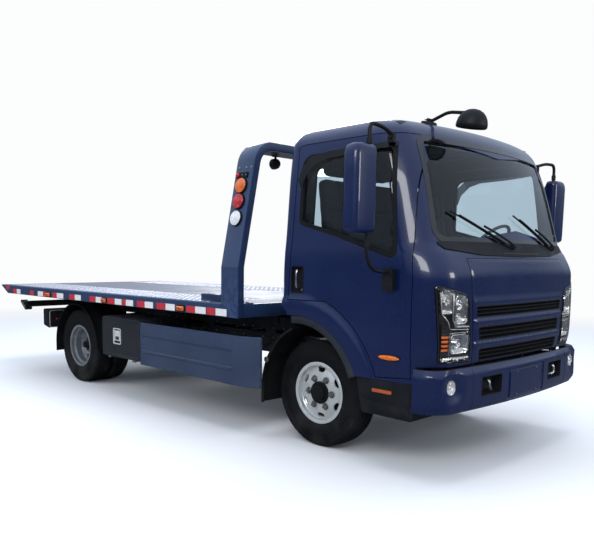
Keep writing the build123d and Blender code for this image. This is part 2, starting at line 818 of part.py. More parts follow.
# Mudguards: curved sheets behind the front wheels and over the twin wheels
sheet = 6
guard_radius = 452
with BuildPart() as mudguards:
    for side in (-1, 1):
        guard_low, guard_high = sorted((side * 560, side * 985))
        with BuildSketch(side_plane(guard_high)):
            with Locations((rear_axle_x, axle_z)):
                Circle(guard_radius)
                Circle(guard_radius - sheet, mode=Mode.SUBTRACT)
            with Locations((rear_axle_x, axle_z - guard_radius + 30)):
                Rectangle(2.2 * guard_radius, 2 * guard_radius, mode=Mode.SUBTRACT)
            with Locations((rear_axle_x - guard_radius + sheet / 2, axle_z - 10)):
                Rectangle(sheet, 90)
        extrude(amount=guard_high - guard_low)
        stay_low, stay_high = sorted((side * rail_outer_y, side * 562))
        for along in (-330, 290):
            block(rear_axle_x + along, rear_axle_x + along + 40, stay_low, stay_high, 675, 699)
            tab_low, tab_high = sorted((side * 556, side * 590))
            block(rear_axle_x + along, rear_axle_x + along + 40, tab_low, tab_high, 675, 730)
        flap_low, flap_high = sorted((side * 690, side * 990))
        with BuildSketch(side_plane(flap_high)):
            with BuildLine():
                outer = ThreePointArc((forward(-150), 850), (forward(-355), 700), (forward(-455), 470))
                down = Line(outer @ 1, (forward(-455), 262))
                foot = Line(down @ 1, (forward(-447), 262))
                up = Line(foot @ 1, (forward(-447), 470))
                inner = ThreePointArc(up @ 1, (forward(-348), 694), (forward(-146), 843))
                Line(inner @ 1, outer @ 0)
            make_face()
        extrude(amount=flap_high - flap_low)
        stay_low, stay_high = sorted((side * rail_outer_y, side * 692))
        bar_across(forward(-416), 600, 14, stay_low, stay_high)
save(mudguards.part, "mudguards")

# Side guards: a ribbed panel with a rounded front return, on brackets from the frame
guard_face_y = 1112
guard_sheet = 18
guard_top_z = 760
guard_bottom_z = 380
with BuildPart() as side_guards:
    for side in (-1, 1):
        with BuildSketch(Plane.XY.offset(guard_bottom_z)):
            with BuildLine():
                face = Line((forward(-1910), side * guard_face_y), (forward(-640), side * guard_face_y))
                bend = ThreePointArc(
                    face @ 1, (forward(-520), side * (guard_face_y - 16)), (forward(-405), side * (guard_face_y - 60))
                )
                end = Line(bend @ 1, (forward(-410), side * (guard_face_y - 60 - guard_sheet)))
                back = ThreePointArc(
                    end @ 1,
                    (forward(-522), side * (guard_face_y - 16 - guard_sheet)),
                    (forward(-640), side * (guard_face_y - guard_sheet)),
                )
                rear = Line(back @ 1, (forward(-1910), side * (guard_face_y - guard_sheet)))
                Line(rear @ 1, face @ 0)
            make_face()
        extrude(amount=guard_top_z - guard_bottom_z)
        groove_low, groove_high = sorted((side * (guard_face_y - 7), side * (guard_face_y + 5)))
        block(forward(-1880), forward(-650), groove_low, groove_high, 632, 648, mode=Mode.SUBTRACT)
        rib_low, rib_high = sorted((side * (guard_face_y - 2), side * (guard_face_y + 8)))
        block(forward(-1880), forward(-655), rib_low, rib_high, 496, 514)
        arm_low, arm_high = sorted((side * rail_outer_y, side * (guard_face_y - guard_sheet + 1)))
        for ahead in (-1890, -620):
            block(forward(ahead), forward(ahead) + 36, arm_low, arm_high, 650, 690)
save(side_guards.part, "side_guards")

# Toolboxes behind the side guards, each with a drop-down door
box_front_x = forward(-1930)
box_rear_x = forward(-2580)
box_low_z = 400
box_high_z = 775
box_face_y = 1108
box_inner_y = 660
box_sheet = 12
lid_thickness = 24
box_hinge_y = box_face_y - 12
box_hinge_z = box_low_z - 11
box_hinge_barrel = 8
box_hinge_pin = 4
box_hinge_rows = (90, 520)
with BuildPart() as toolboxes:
    for side in (-1, 1):
        body_low, body_high = sorted((side * box_inner_y, side * (box_face_y - lid_thickness - 3)))
        block(box_rear_x, box_front_x, body_low, body_high, box_low_z, box_high_z)
        room_low, room_high = sorted((side * (box_inner_y + box_sheet), side * (box_face_y + 5)))
        block(
            box_rear_x + box_sheet,
            box_front_x - box_sheet,
            room_low,
            room_high,
            box_low_z + box_sheet,
            box_high_z - box_sheet,
            mode=Mode.SUBTRACT,
        )
        arm_low, arm_high = sorted((side * rail_outer_y, side * (box_inner_y + 1)))
        for along in (40, 560):
            block(box_rear_x + along, box_rear_x + along + 50, arm_low, arm_high, 600, 660)
        # Hinge arms under the box, with the pins that the door turns on
        arm_low, arm_high = sorted((side * (box_face_y - 50), side * box_hinge_y))
        for along in box_hinge_rows:
            x = box_rear_x + along
            block(x, x + 20, arm_low, arm_high, box_hinge_z - 5, box_hinge_z + 5)
            block(x, x + 20, *sorted((side * (box_face_y - 50), side * (box_face_y - 34))), box_hinge_z, box_low_z + 2)
            rod_along(side * box_hinge_y, box_hinge_z, box_hinge_barrel, x, x + 20)
            rod_along(side * box_hinge_y, box_hinge_z, box_hinge_pin, x + 19, x + 46)
save(toolboxes.part, "toolboxes")

for name, side in (("right", -1), ("left", 1)):
    with BuildPart() as toolbox_door:
        door_low, door_high = sorted((side * (box_face_y - lid_thickness), side * box_face_y))
        block(box_rear_x, box_front_x, door_low, door_high, box_low_z, box_high_z)
        latch_low, latch_high = sorted((side * (box_face_y - 8), side * (box_face_y + 5)))
        latch_x = (box_rear_x + box_front_x) / 2 - 60
        block(latch_x - 62, latch_x + 62, latch_low, latch_high, 528, 668, mode=Mode.SUBTRACT)
        paddle_low, paddle_high = sorted((side * (box_face_y - 9), side * (box_face_y - 1)))
        block(latch_x - 44, latch_x + 44, paddle_low, paddle_high, 545, 650)
        for along in box_hinge_rows:
            x = box_rear_x + along + 21
            y = side * box_hinge_y
            rod_along(y, box_hinge_z, box_hinge_barrel, x, x + 24)
            block(x, x + 24, y - 5, y + 5, box_hinge_z, box_low_z + 2)
            rod_along(y, box_hinge_z, box_hinge_pin + pin_clearance, x - 1, x + 25, mode=Mode.SUBTRACT)
    save(toolbox_door.part, f"toolbox_door_{name}")

# Rear lamp boxes on arms behind the twin wheels
with BuildPart() as rear_lamp_boxes:
    for side in (-1, 1):
        lamp_low, lamp_high = sorted((side * 720, side * 1000))
        side_prism(
            (
                (forward(-4090), 560),
                (forward(-4090), 748),
                (forward(-3950), 740),
                (forward(-3950), 530),
            ),
            lamp_low,
            lamp_high,
            corner=12,
        )
        lug_outer_y = runner_y + tilt_rail_width / 2 + hinge_lug_gap + hinge_lug_plate
        arm_low, arm_high = sorted((side * lug_outer_y, side * 722))
        block(forward(-4040), forward(-3990), arm_low, arm_high, 610, 670)
save(rear_lamp_boxes.part, "rear_lamp_boxes")

# Tilt frame: two box rails with cross-members, clamps for the bed and the hinge bores
clamp_gap = 5
slide_axis_z = tilt_rail_top_z + 46
slide_barrel_radius = 40
slide_rod_radius = 26
slide_barrel_front = forward(-790)
slide_barrel_rear = forward(-3850)
rod_pin_x = forward(-1500)
rod_pin_z = 706
lug_gap = 60
with BuildPart() as tilt_frame:
    for side in (-1, 1):
        rail_low, rail_high = sorted(
            (side * (runner_y - tilt_rail_width / 2), side * (runner_y + tilt_rail_width / 2))
        )
        block(tilt_rear_x, tilt_front_x, rail_low, rail_high, tilt_rail_bottom_z, tilt_rail_top_z)
        room = 6
        block(
            tilt_rear_x + room,
            tilt_front_x - room,
            rail_low + room,
            rail_high - room,
            tilt_rail_bottom_z + room,
            tilt_rail_top_z - room,
            mode=Mode.SUBTRACT,
        )
        bar_across(tilt_hinge_x, tilt_hinge_z, 46, rail_low, rail_high)
        bar_across(
            tilt_hinge_x, tilt_hinge_z, tilt_pin_radius + pin_clearance, rail_low - 1, rail_high + 1, Mode.SUBTRACT
        )
        for ahead in (-950, -2300, -3600):
            plate_low, plate_high = sorted(
                (side * (runner_y + tilt_rail_width / 2), side * (runner_y + tilt_rail_width / 2 + 12))
            )
            block(forward(ahead) - 60, forward(ahead) + 60, plate_low, plate_high, 780, 865)
            hook_low, hook_high = sorted(
                (side * (runner_y + runner_width / 2 - 18), side * (runner_y + tilt_rail_width / 2 + 12))
            )
            block(
                forward(ahead) - 60,
                forward(ahead) + 60,
                hook_low,
                hook_high,
                runner_bottom_z + runner_plate + clamp_gap,
                865,
            )
        for lug_y in (230 - lug_gap / 2 - 14, 230 + lug_gap / 2):
            lug_low, lug_high = sorted((side * lug_y, side * (lug_y + 14)))
            side_prism(
                (
                    (rod_pin_x - 40, rod_pin_z - 30),
                    (rod_pin_x + 40, rod_pin_z - 30),
                    (rod_pin_x + 165, tilt_rail_bottom_z + 82),
                    (rod_pin_x + 95, tilt_rail_bottom_z + 82),
                ),
                lug_low,
                lug_high,
            )
            bar_across(rod_pin_x, rod_pin_z, 40, lug_low, lug_high)
    for ahead, low_z, high_z in ((-735, 745, 815), (-1370, 745, 830), (-2700, 745, 815), (-4195, 735, 830)):
        block(forward(ahead) - 35, forward(ahead) + 35, -runner_y, runner_y, low_z, high_z)
    block(slide_barrel_front - 20, forward(-700), -45, 45, 800, slide_axis_z + 38)
    for side in (-1, 1):
        ear_low, ear_high = sorted((side * 72, side * 88))
        side_prism(
            (
                (tilt_rear_x - 90, 700),
                (tilt_rear_x - 90, 775),
                (tilt_rear_x + 2, 825),
                (tilt_rear_x + 2, 735),
                (tilt_rear_x - 30, 700),
            ),
            ear_low,
            ear_high,
        )
    bar_across(tilt_rear_x - 60, 738, 16, -73, 73)
save(tilt_frame.part, "tilt_frame")

# Long cylinder that slides the bed, fixed to the tilt frame
with BuildPart() as slide_cylinder:
    rod_along(0, slide_axis_z, slide_barrel_radius, slide_barrel_rear, slide_barrel_front - 20)
    rod_along(
        0, slide_axis_z, slide_rod_radius + pin_clearance, slide_barrel_rear - 1, slide_barrel_front - 60, Mode.SUBTRACT
    )
    block(forward(-2720), forward(-2680), -30, 30, 815, slide_axis_z - slide_rod_radius - 4)
save(slide_cylinder.part, "slide_cylinder")

slide_eye_x = slide_barrel_rear - 60
with BuildPart() as slide_rod:
    rod_along(0, slide_axis_z, slide_rod_radius, slide_eye_x, slide_barrel_front - 80)
    block(slide_eye_x - 40, slide_eye_x + 2, -34, 34, slide_axis_z - 32, deck_top_z - deck_plate - sill_depth)
save(slide_rod.part, "slide_rod")

# Pair of cylinders that tip the tilt frame. Each rod's eye is the open pivot
tilt_cylinder_y = 230
barrel_radius = 42
tilt_rod_radius = 24
cylinder_run = rod_pin_x - barrel_pivot_x
cylinder_rise = rod_pin_z - barrel_pivot_z
cylinder_length = (cylinder_run**2 + cylinder_rise**2) ** 0.5
cylinder_dir = (cylinder_run / cylinder_length, 0, cylinder_rise / cylinder_length)
barrel_length = cylinder_length - 120
with BuildPart() as tilt_barrels:
    for side in (-1, 1):
        y = side * tilt_cylinder_y
        axis_plane = Plane(origin=(barrel_pivot_x, y, barrel_pivot_z), x_dir=(0, 1, 0), z_dir=cylinder_dir)
        with BuildSketch(axis_plane):
            Circle(barrel_radius)
        extrude(amount=barrel_length)
        bar_across(barrel_pivot_x, barrel_pivot_z, 46, y - 36, y + 36)
        bar_across(barrel_pivot_x, barrel_pivot_z, tilt_pin_radius + pin_clearance, y - 60, y + 60, Mode.SUBTRACT)
        with BuildSketch(axis_plane.offset(90)):
            Circle(tilt_rod_radius + pin_clearance)
        extrude(amount=barrel_length, mode=Mode.SUBTRACT)
save(tilt_barrels.part, "tilt_barrels")

with BuildPart() as tilt_rods:
    for side in (-1, 1):
        y = side * tilt_cylinder_y
        axis_plane = Plane(origin=(barrel_pivot_x, y, barrel_pivot_z), x_dir=(0, 1, 0), z_dir=cylinder_dir)
        with BuildSketch(axis_plane.offset(110)):
            Circle(tilt_rod_radius)
        extrude(amount=cylinder_length - 110)
        bar_across(rod_pin_x, rod_pin_z, 32, y - 22, y + 22)
save(tilt_rods.part, "tilt_rods")

# Underlift: a boom on the tilt frame's ears and an inner boom with the crossbar
boom_pivot_x = tilt_rear_x - 60
boom_pivot_z = 738
boom_half = 58
boom_wall = 8
boom_rear_x = forward(-4690)
inner_half = boom_half - boom_wall - seat_gap
boom_low_z = 700
boom_high_z = 790
with BuildPart() as underlift_boom:
    block(boom_rear_x, tilt_rear_x - 100, -boom_half, boom_half, boom_low_z, boom_high_z)
    block(
        boom_rear_x - 1,
        tilt_rear_x - 130,
        -boom_half + boom_wall,
        boom_half - boom_wall,
        boom_low_z + boom_wall,
        boom_high_z - boom_wall,
        mode=Mode.SUBTRACT,
    )
    for y in (-boom_half, boom_half - 16):
        block(tilt_rear_x - 102, boom_pivot_x, y, y + 16, 708, 768)
        bar_across(boom_pivot_x, boom_pivot_z, 30, y, y + 16)
        bar_across(boom_pivot_x, boom_pivot_z, 16 + pin_clearance, y - 1, y + 17, Mode.SUBTRACT)
save(underlift_boom.part, "underlift_boom")

bar_half_length = 900
bar_x = forward(-4745)
with BuildPart() as underlift_bar:
    inner_low_z = boom_low_z + boom_wall + seat_gap
    inner_high_z = boom_high_z - boom_wall - seat_gap
    block(bar_x, tilt_rear_x - 140, -inner_half, inner_half, inner_low_z, inner_high_z)
    block(bar_x - 45, bar_x + 20, -bar_half_length, bar_half_length, 722, 792)
    for side in (-1, 1):
        head_low, head_high = sorted((side * (bar_half_length - 35), side * (bar_half_length + 45)))
        side_prism(
            (
                (bar_x - 70, 806),
                (bar_x - 84, 782),
                (bar_x + 40, 690),
                (bar_x + 70, 706),
                (bar_x + 50, 742),
            ),
            head_low,
            head_high,
        )
save(underlift_bar.part, "underlift_bar")

# Bed: runners, sills and rails in one welded frame
sill_z = deck_top_z - deck_plate - sill_depth
wedge_x = tail_x + tail_wedge_length
deck_front_x = forward(-960)
rail_low_z = deck_top_z - side_rail_height
with BuildPart() as bed_frame:
    for side in (-1, 1):
        for low, high in (
            (runner_bottom_z, runner_bottom_z + runner_plate),
            (sill_z - runner_plate, sill_z),
        ):
            flange_low, flange_high = sorted(
                (side * (runner_y - runner_width / 2), side * (runner_y + runner_width / 2))
            )
            block(wedge_x, bed_front_x - 60, flange_low, flange_high, low, high)
        web_low, web_high = sorted((side * (runner_y - 4), side * (runner_y + 4)))
        block(wedge_x, bed_front_x - 60, web_low, web_high, runner_bottom_z, sill_z)
        rail_low, rail_high = sorted((side * (bed_half_width - side_rail_width), side * bed_half_width))
        block(wedge_x, bed_front_x - arch_depth, rail_low, rail_high, rail_low_z, deck_top_z)
    sill_count = 9
    sill_pitch = (bed_front_x - 260 - (wedge_x + 160)) / (sill_count - 1)
    for index in range(sill_count):
        sill_x = wedge_x + 160 + index * sill_pitch
        block(
            sill_x - 25,
            sill_x + 25,
            -bed_half_width + side_rail_width - 1,
            bed_half_width - side_rail_width + 1,
            sill_z,
            deck_top_z - deck_plate,
        )
        block(
            sill_x - 19,
            sill_x + 26,
            -bed_half_width + side_rail_width,
            bed_half_width - side_rail_width,
            sill_z + 6,
            deck_top_z - deck_plate - 6,
            mode=Mode.SUBTRACT,
        )
    block(bed_front_x - 60, bed_front_x, -bed_half_width + 70, bed_half_width - 70, rail_low_z, deck_top_z)
    # The front beam slides back over the cylinder, whose tunnel is cut in its underside
    block(
        bed_front_x - 61,
        bed_front_x + 1,
        -slide_barrel_radius - 15,
        slide_barrel_radius + 15,
        rail_low_z - 1,
        slide_axis_z + slide_barrel_radius + 10,
        mode=Mode.SUBTRACT,
    )
    # Base plate of the winch, ahead of the loading deck
    block(
        deck_front_x + seat_gap,
        bed_front_x - 59,
        -bed_half_width + 71,
        bed_half_width - 71,
        deck_top_z - deck_plate,
        deck_top_z,
    )
    # The tail is a closed wedge right across the bed
    side_prism(
        (
            (wedge_x, deck_top_z),
            (tail_x, deck_top_z - 2),
            (tail_x, deck_top_z - tail_tip_thickness),
            (wedge_x, rail_low_z),
        ),
        -bed_half_width,
        bed_half_width,
    )
save(bed_frame.part, "bed_frame")

with BuildPart() as deck:
    block(
        wedge_x,
        deck_front_x,
        -bed_half_width + side_rail_width,
        bed_half_width - side_rail_width,
        deck_top_z - deck_plate,
        deck_top_z,
    )
save(deck.part, "deck")

# Arch over the front of the bed, a flat box section bent in one piece
lean = (bed_half_width - arch_lean_y) / (arch_lean_z - arch_bend_z)
arch_apex_y = arch_lean_y - lean * (arch_top_z - arch_lean_z)
with BuildPart() as bed_arch:
    for shrink, mode in ((0, Mode.ADD), (arch_plate, Mode.SUBTRACT)):
        top = arch_top_z - shrink
        half_low = bed_half_width - shrink
        half_top = arch_apex_y - shrink + lean * shrink
        base = rail_low_z - (1 if shrink else 0)
        outline = (
            (-half_low, base),
            (half_low, base),
            (half_low, arch_bend_z),
            (half_top, top),
            (-half_top, top),
            (-half_low, arch_bend_z),
        )
        with BuildSketch(front_plane(bed_front_x - arch_depth)) as arch_sketch:
            Polygon(*outline, align=None)
            fillet(arch_sketch.vertices().group_by(Axis.Y)[-1], arch_corner - shrink)
        extrude(amount=arch_depth, mode=mode)
save(bed_arch.part, "bed_arch")

# Domed lamps on the arch: height, radius, depth; and a work lamp under the crossbar
post_lamp_rows = ((1873, 60, 46), (1757, 60, 46), (1632, 60, 46))
work_lamp_y = 626
with BuildPart() as bed_arch_lamps:
    for height, radius, depth in post_lamp_rows:
        for side in (-1, 1):
            face_y = arch_lean_y + lean * (arch_lean_z - height)
            base = Plane(
                origin=(bed_front_x - arch_depth / 2, side * (face_y + seat_gap), height),
                x_dir=(1, 0, 0),
                z_dir=(0, side, lean),
            )
            with BuildSketch(base):
                Circle(radius)
            extrude(amount=18)
            with BuildSketch(base.offset(18)):
                Circle(radius - 3)
            with BuildSketch(base.offset(depth)):
                Circle(radius - 26)
            loft(ruled=True)
    for side in (-1, 1):
        rod_along(side * work_lamp_y, 2078, 42, bed_front_x - arch_depth + 10, bed_front_x - arch_depth + 70)
        post(bed_front_x - arch_depth + 40, side * work_lamp_y, 9, 2110, arch_top_z - arch_plate - seat_gap)
save(bed_arch_lamps.part, "bed_arch_lamps")

# Winch on the deck behind the front beam: side plates, motor and a turning drum
winch_x = forward(-820)
winch_z = deck_top_z + 92
drum_half = 150
with BuildPart() as winch:
    for y in (-drum_half - 24, drum_half + 6):
        block(winch_x - 80, winch_x + 80, y, y + 18, deck_top_z, winch_z + 62)
    for x in (winch_x - 76, winch_x + 60):
        block(x, x + 16, -drum_half - 24, drum_half + 24, deck_top_z, deck_top_z + 18)
    bar_across(winch_x, winch_z, 55, -drum_half - 130, -drum_half - 20)
    bar_across(winch_x, winch_z, 62, drum_half + 20, drum_half + 90)
    bar_across(winch_x, winch_z, 20, -drum_half - 10, drum_half + 10)
save(winch.part, "winch")

with BuildPart() as winch_drum:
    bar_across(winch_x, winch_z, 52, -drum_half + 6, drum_half - 6)
    for y in (-drum_half, drum_half - 8):
        bar_across(winch_x, winch_z, 66, y, y + 8)
    bar_across(winch_x, winch_z, 20 + pin_clearance, -drum_half - 1, drum_half + 1, Mode.SUBTRACT)
save(winch_drum.part, "winch_drum")

# Room inside the cab, and the space for wheels and frame under its floor
with BuildPart() as cab_room:
    cab_form(cab_wall, foot_floor_z, roof_z - roof_wall)
    block(forward(-400), floor_step_x, -1100, 1100, foot_floor_z - 1, seat_floor_z, mode=Mode.SUBTRACT)

with BuildPart() as cab_underside:
    cab_form(cab_wall, cab_bottom_z - 10, seat_floor_z - seat_floor_depth)
    block(
        floor_step_x - floor_plate,
        forward(1200),
        -1100,
        1100,
        foot_floor_z - floor_plate,
        seat_floor_z,
        mode=Mode.SUBTRACT,
    )

panel_half_low = 618
panel_half_top = 668
panel_low_z = cab_front_bottom_z
panel_top_z = 1352
lamp_outline = ((948, 1196), (918, 724), (636, 718), (668, 1085), (706, 1138))

with BuildPart() as cab_shell:
    cab_form(0, cab_bottom_z, roof_z)
    add(cab_room.part, mode=Mode.SUBTRACT)
    add(cab_underside.part, mode=Mode.SUBTRACT)
    # Wheel arches and the cut-away below the rear wall
    bar_across(arch_x, arch_z, arch_radius, -1100, 1100, Mode.SUBTRACT)
    side_prism(
        (
            (forward(-400), 500),
            (forward(-400), 1175),
            (forward(-161), 962),
            (arch_x, arch_z),
        ),
        -1100,
        1100,
        Mode.SUBTRACT,
    )
    block(forward(890), forward(1200), -1100, 1100, 500, cab_front_bottom_z, mode=Mode.SUBTRACT)
    # Windscreen and rear window
    screen = (
        (-screen_low_y, screen_low_z),
        (screen_low_y, screen_low_z),
        (screen_top_y, screen_top_z),
        (-screen_top_y, screen_top_z),
    )
    front_prism(screen, forward(500), forward(1200), Mode.SUBTRACT, screen_corner)
    rear_window = ((-720, 1480), (720, 1480), (700, 2010), (-700, 2010))
    front_prism(rear_window, forward(-400), forward(-100), Mode.SUBTRACT, screen_corner)
    # Door openings, front panel and lamp openings
    for side in (-1, 1):
        opening_y = max(side * 880, side * 1100)
        with BuildSketch(side_plane(opening_y)):
            door_outline(0)
        extrude(amount=220, mode=Mode.SUBTRACT)
        lamp = [(side * y, z) for y, z in lamp_outline]
        front_prism(lamp, forward(850), forward(1200), Mode.SUBTRACT, 12)
        # Lugs of the tipping hinge
        lug_low, lug_high = sorted((side * (rail_outer_y - 66), side * (rail_outer_y - 34)))
        bar_across(cab_hinge_x, cab_hinge_z, 36, lug_low, lug_high)
        block(cab_hinge_x - 36, cab_hinge_x + 36, lug_low, lug_high, cab_hinge_z, foot_floor_z - 20)
        bar_across(cab_hinge_x, cab_hinge_z, 15 + pin_clearance, lug_low - 1, lug_high + 1, Mode.SUBTRACT)
        # Pockets and pins of the door hinges
        pocket_low, pocket_high = sorted((side * (door_hinge_y - door_hinge_barrel - 5), side * 1060))
        for height in door_hinge_heights:
            block(
                forward(800),
                door_hinge_x + door_hinge_barrel + 4,
                pocket_low,
                pocket_high,
                height,
                height + door_hinge_height,
                mode=Mode.SUBTRACT,
            )
            post(door_hinge_x, side * door_hinge_y, door_hinge_pin, height - 2, height + door_hinge_height + 2)
    front_panel_outline = (
        (-panel_half_low, panel_low_z - 5),
        (panel_half_low, panel_low_z - 5),
        (panel_half_top, panel_top_z),
        (-panel_half_top, panel_top_z),
    )
    front_prism(front_panel_outline, forward(970), forward(1200), Mode.SUBTRACT)
save(cab_shell.part, "cab_shell")

# Front panel between the lamps, with three wide grille slots
grille_rows = ((987, 1059, 596, 604), (844, 929, 560, 572), (712, 792, 540, 556))
with BuildPart() as front_panel:
    cab_form(0, panel_low_z, panel_top_z - panel_gap)
    cab_form(cab_wall, panel_low_z - 1, panel_top_z, mode=Mode.SUBTRACT)
    panel_face = (
        (-panel_half_low + panel_gap, panel_low_z - 5),
        (panel_half_low - panel_gap, panel_low_z - 5),
        (panel_half_top - panel_gap, panel_top_z),
        (-panel_half_top + panel_gap, panel_top_z),
    )
    front_prism(panel_face, forward(970), forward(1200), Mode.INTERSECT)
    for low, high, half_low, half_high in grille_rows:
        slot = ((-half_low, low), (half_low, low), (half_high, high), (-half_high, high))
        front_prism(slot, forward(970), forward(1200), Mode.SUBTRACT, 10)
save(front_panel.part, "front_panel")

# Grille inserts: a rim and upright bars in each slot
with BuildPart() as grilles:
    for low, high, half_low, half_high in grille_rows:
        rim = 8
        slot = (
            (-half_low + seat_gap, low + seat_gap),
            (half_low - seat_gap, low + seat_gap),
            (half_high - seat_gap, high - seat_gap),
            (-half_high + seat_gap, high - seat_gap),
        )
        front_prism(slot, forward(1016), forward(1036), corner=10)
        bars = 22
        pitch = 2 * (half_low - rim) / bars
        cell = pitch - 9
        with BuildSketch(front_plane(forward(1010))):
            with Locations((0, (low + high) / 2)):
                with GridLocations(pitch, 1, bars, 1):
                    Rectangle(cell, high - low - 2 * rim)
        extrude(amount=30, mode=Mode.SUBTRACT)
save(grilles.part, "grilles")

# Headlamps, one block at each corner
with BuildPart() as headlamps:
    cab_form(1, 715, 1200)
    cab_form(56, 714, 1201, mode=Mode.SUBTRACT)
    with BuildSketch(front_plane(forward(850))):
        for side in (-1, 1):
            with BuildSketch(mode=Mode.PRIVATE) as lamp_sketch:
                Polygon(*[(side * y, z) for y, z in lamp_outline], align=None)
                fillet(lamp_sketch.vertices(), 12)
                offset(amount=-seat_gap)
            add(lamp_sketch.sketch)
    extrude(amount=350, mode=Mode.INTERSECT)
save(headlamps.part, "headlamps")

# Windscreen and rear window
with BuildPart() as cab_glass:
    cab_form(glass_inset, screen_low_z - 20, screen_top_z + 20)
    cab_form(glass_inset + door_glass_thickness, screen_low_z - 21, screen_top_z + 21, mode=Mode.SUBTRACT)
    with BuildSketch(front_plane(forward(-400))):
        with BuildSketch(mode=Mode.PRIVATE) as rear_pane:
            Polygon(*rear_window, align=None)
            fillet(rear_pane.vertices(), screen_corner)
            offset(amount=-seat_gap)
        add(rear_pane.sketch)
    rear_pane_prism = extrude(amount=300, mode=Mode.PRIVATE)
    with BuildSketch(front_plane(forward(500))):
        with BuildSketch(mode=Mode.PRIVATE) as front_pane:
            Polygon(*screen, align=None)
            fillet(front_pane.vertices(), screen_corner)
            offset(amount=-seat_gap)
        add(front_pane.sketch)
    front_pane_prism = extrude(amount=700, mode=Mode.PRIVATE)
    add([rear_pane_prism, front_pane_prism], mode=Mode.INTERSECT)
save(cab_glass.part, "cab_glass")

# Black liners inside the wheel arches
with BuildPart() as arch_liners:
    for side in (-1, 1):
        band_low, band_high = sorted((side * 905, side * 1002))
        with BuildSketch(side_plane(band_high)):
            with Locations((arch_x, arch_z)):
                Circle(arch_radius - seat_gap)
                Circle(arch_radius - arch_liner_band, mode=Mode.SUBTRACT)
            with BuildSketch(mode=Mode.PRIVATE) as wedge_sketch:
                Polygon(
                    (arch_x, arch_z),
                    (forward(700), 585),
                    (forward(700), 1300),
                    (forward(-170), 1300),
                    (forward(-150), arch_z),
                    align=None,
                )
            add(wedge_sketch.sketch, mode=Mode.INTERSECT)
        extrude(amount=band_high - band_low)
        tub_low, tub_high = sorted((side * 640, side * 906))
        with BuildSketch(side_plane(tub_high)):
            with Locations((arch_x, arch_z)):
                Circle(arch_radius - seat_gap)
                Circle(arch_radius - 8, mode=Mode.SUBTRACT)
            add(wedge_sketch.sketch, mode=Mode.INTERSECT)
        extrude(amount=tub_high - tub_low)
save(arch_liners.part, "arch_liners")

# Doors with their panes and mirrors
mirror_tube = 12
mirror_head_y = 1292
mirror_head_z = 1746
for name, side in (("right", -1), ("left", 1)):
    opening_y = max(side * 880, side * 1100)
    with BuildPart() as door:
        cab_form(0, cab_bottom_z, door_top_z + 20)
        cab_form(cab_wall, cab_bottom_z - 1, door_top_z + 21, mode=Mode.SUBTRACT)
        with BuildSketch(side_plane(opening_y)):
            door_outline(panel_gap)
        extrude(amount=220, mode=Mode.INTERSECT)
        with BuildSketch(side_plane(opening_y)):
            window_outline(0)
        extrude(amount=220, mode=Mode.SUBTRACT)
        handle_low, handle_high = sorted((side * 990, side * 1040))
        block(forward(-136), forward(-24), handle_low, handle_high, 1106, 1288, mode=Mode.SUBTRACT)
        grip_low, grip_high = sorted((side * 985, side * 1006))
        block(forward(-92), forward(-70), grip_low, grip_high, 1130, 1264)
        leaf_low, leaf_high = sorted((side * (door_hinge_y - door_hinge_barrel), side * door_hinge_y))
        for height in door_hinge_heights:
            low, high = height + 5, height + door_hinge_height - 5
            block(door_front_low_x - 12, door_hinge_x, leaf_low, leaf_high, low, high)
            post(door_hinge_x, side * door_hinge_y, door_hinge_barrel, low, high)
            post(
                door_hinge_x,
                side * door_hinge_y,
                door_hinge_pin + pin_clearance,
                low - 1,
                high + 1,
                mode=Mode.SUBTRACT,
            )
    save(door.part, f"door_{name}")

    with BuildPart() as door_glass:
        cab_form(glass_inset, 1300, 2090)
        cab_form(glass_inset + door_glass_thickness, 1299, 2091, mode=Mode.SUBTRACT)
        with BuildSketch(side_plane(opening_y)):
            window_outline(seat_gap)
        extrude(amount=220, mode=Mode.INTERSECT)
    save(door_glass.part, f"door_glass_{name}")

    with BuildPart() as mirror_piece:
        route = (
            (forward(655), side * 962, 2086),
            (forward(672), side * 1090, 2118),
            (forward(684), side * (mirror_head_y - 62), 2122),
            (forward(684), side * (mirror_head_y - 62), 1352),
            (forward(684), side * (mirror_head_y - 120), 1276),
            (forward(706), side * 1040, 1262),
        )
        with BuildLine():
            FilletPolyline(*route, radius=45)
        with BuildSketch(Plane(origin=route[0], z_dir=Vector(*route[1]) - Vector(*route[0]))):
            Circle(mirror_tube)
        sweep()
        head_x = forward(679)
        head_low, head_high = sorted((side * (mirror_head_y - 105), side * (mirror_head_y + 100)))
        with BuildSketch(Plane.XY.offset(mirror_head_z - 250)) as head_base:
            with Locations((head_x, side * mirror_head_y)):
                RectangleRounded(92, 205, 30)
        with BuildSketch(Plane.XY.offset(mirror_head_z + 210)):
            with Locations((head_x, side * mirror_head_y)):
                RectangleRounded(96, 210, 30)
        with BuildSketch(Plane.XY.offset(mirror_head_z + 250)):
            with Locations((head_x, side * (mirror_head_y - 14))):
                RectangleRounded(78, 170, 30)
        loft(ruled=True)
        foot_low, foot_high = sorted((side * (1012 + seat_gap), side * 1052))
        block(forward(668), forward(744), foot_low, foot_high, 1150, 1284)
        root_low, root_high = sorted((side * (970 + seat_gap), side * 990))
        block(forward(630), forward(672), root_low, root_high, 2040, 2100)
    save(mirror_piece.part, f"mirror_{name}")

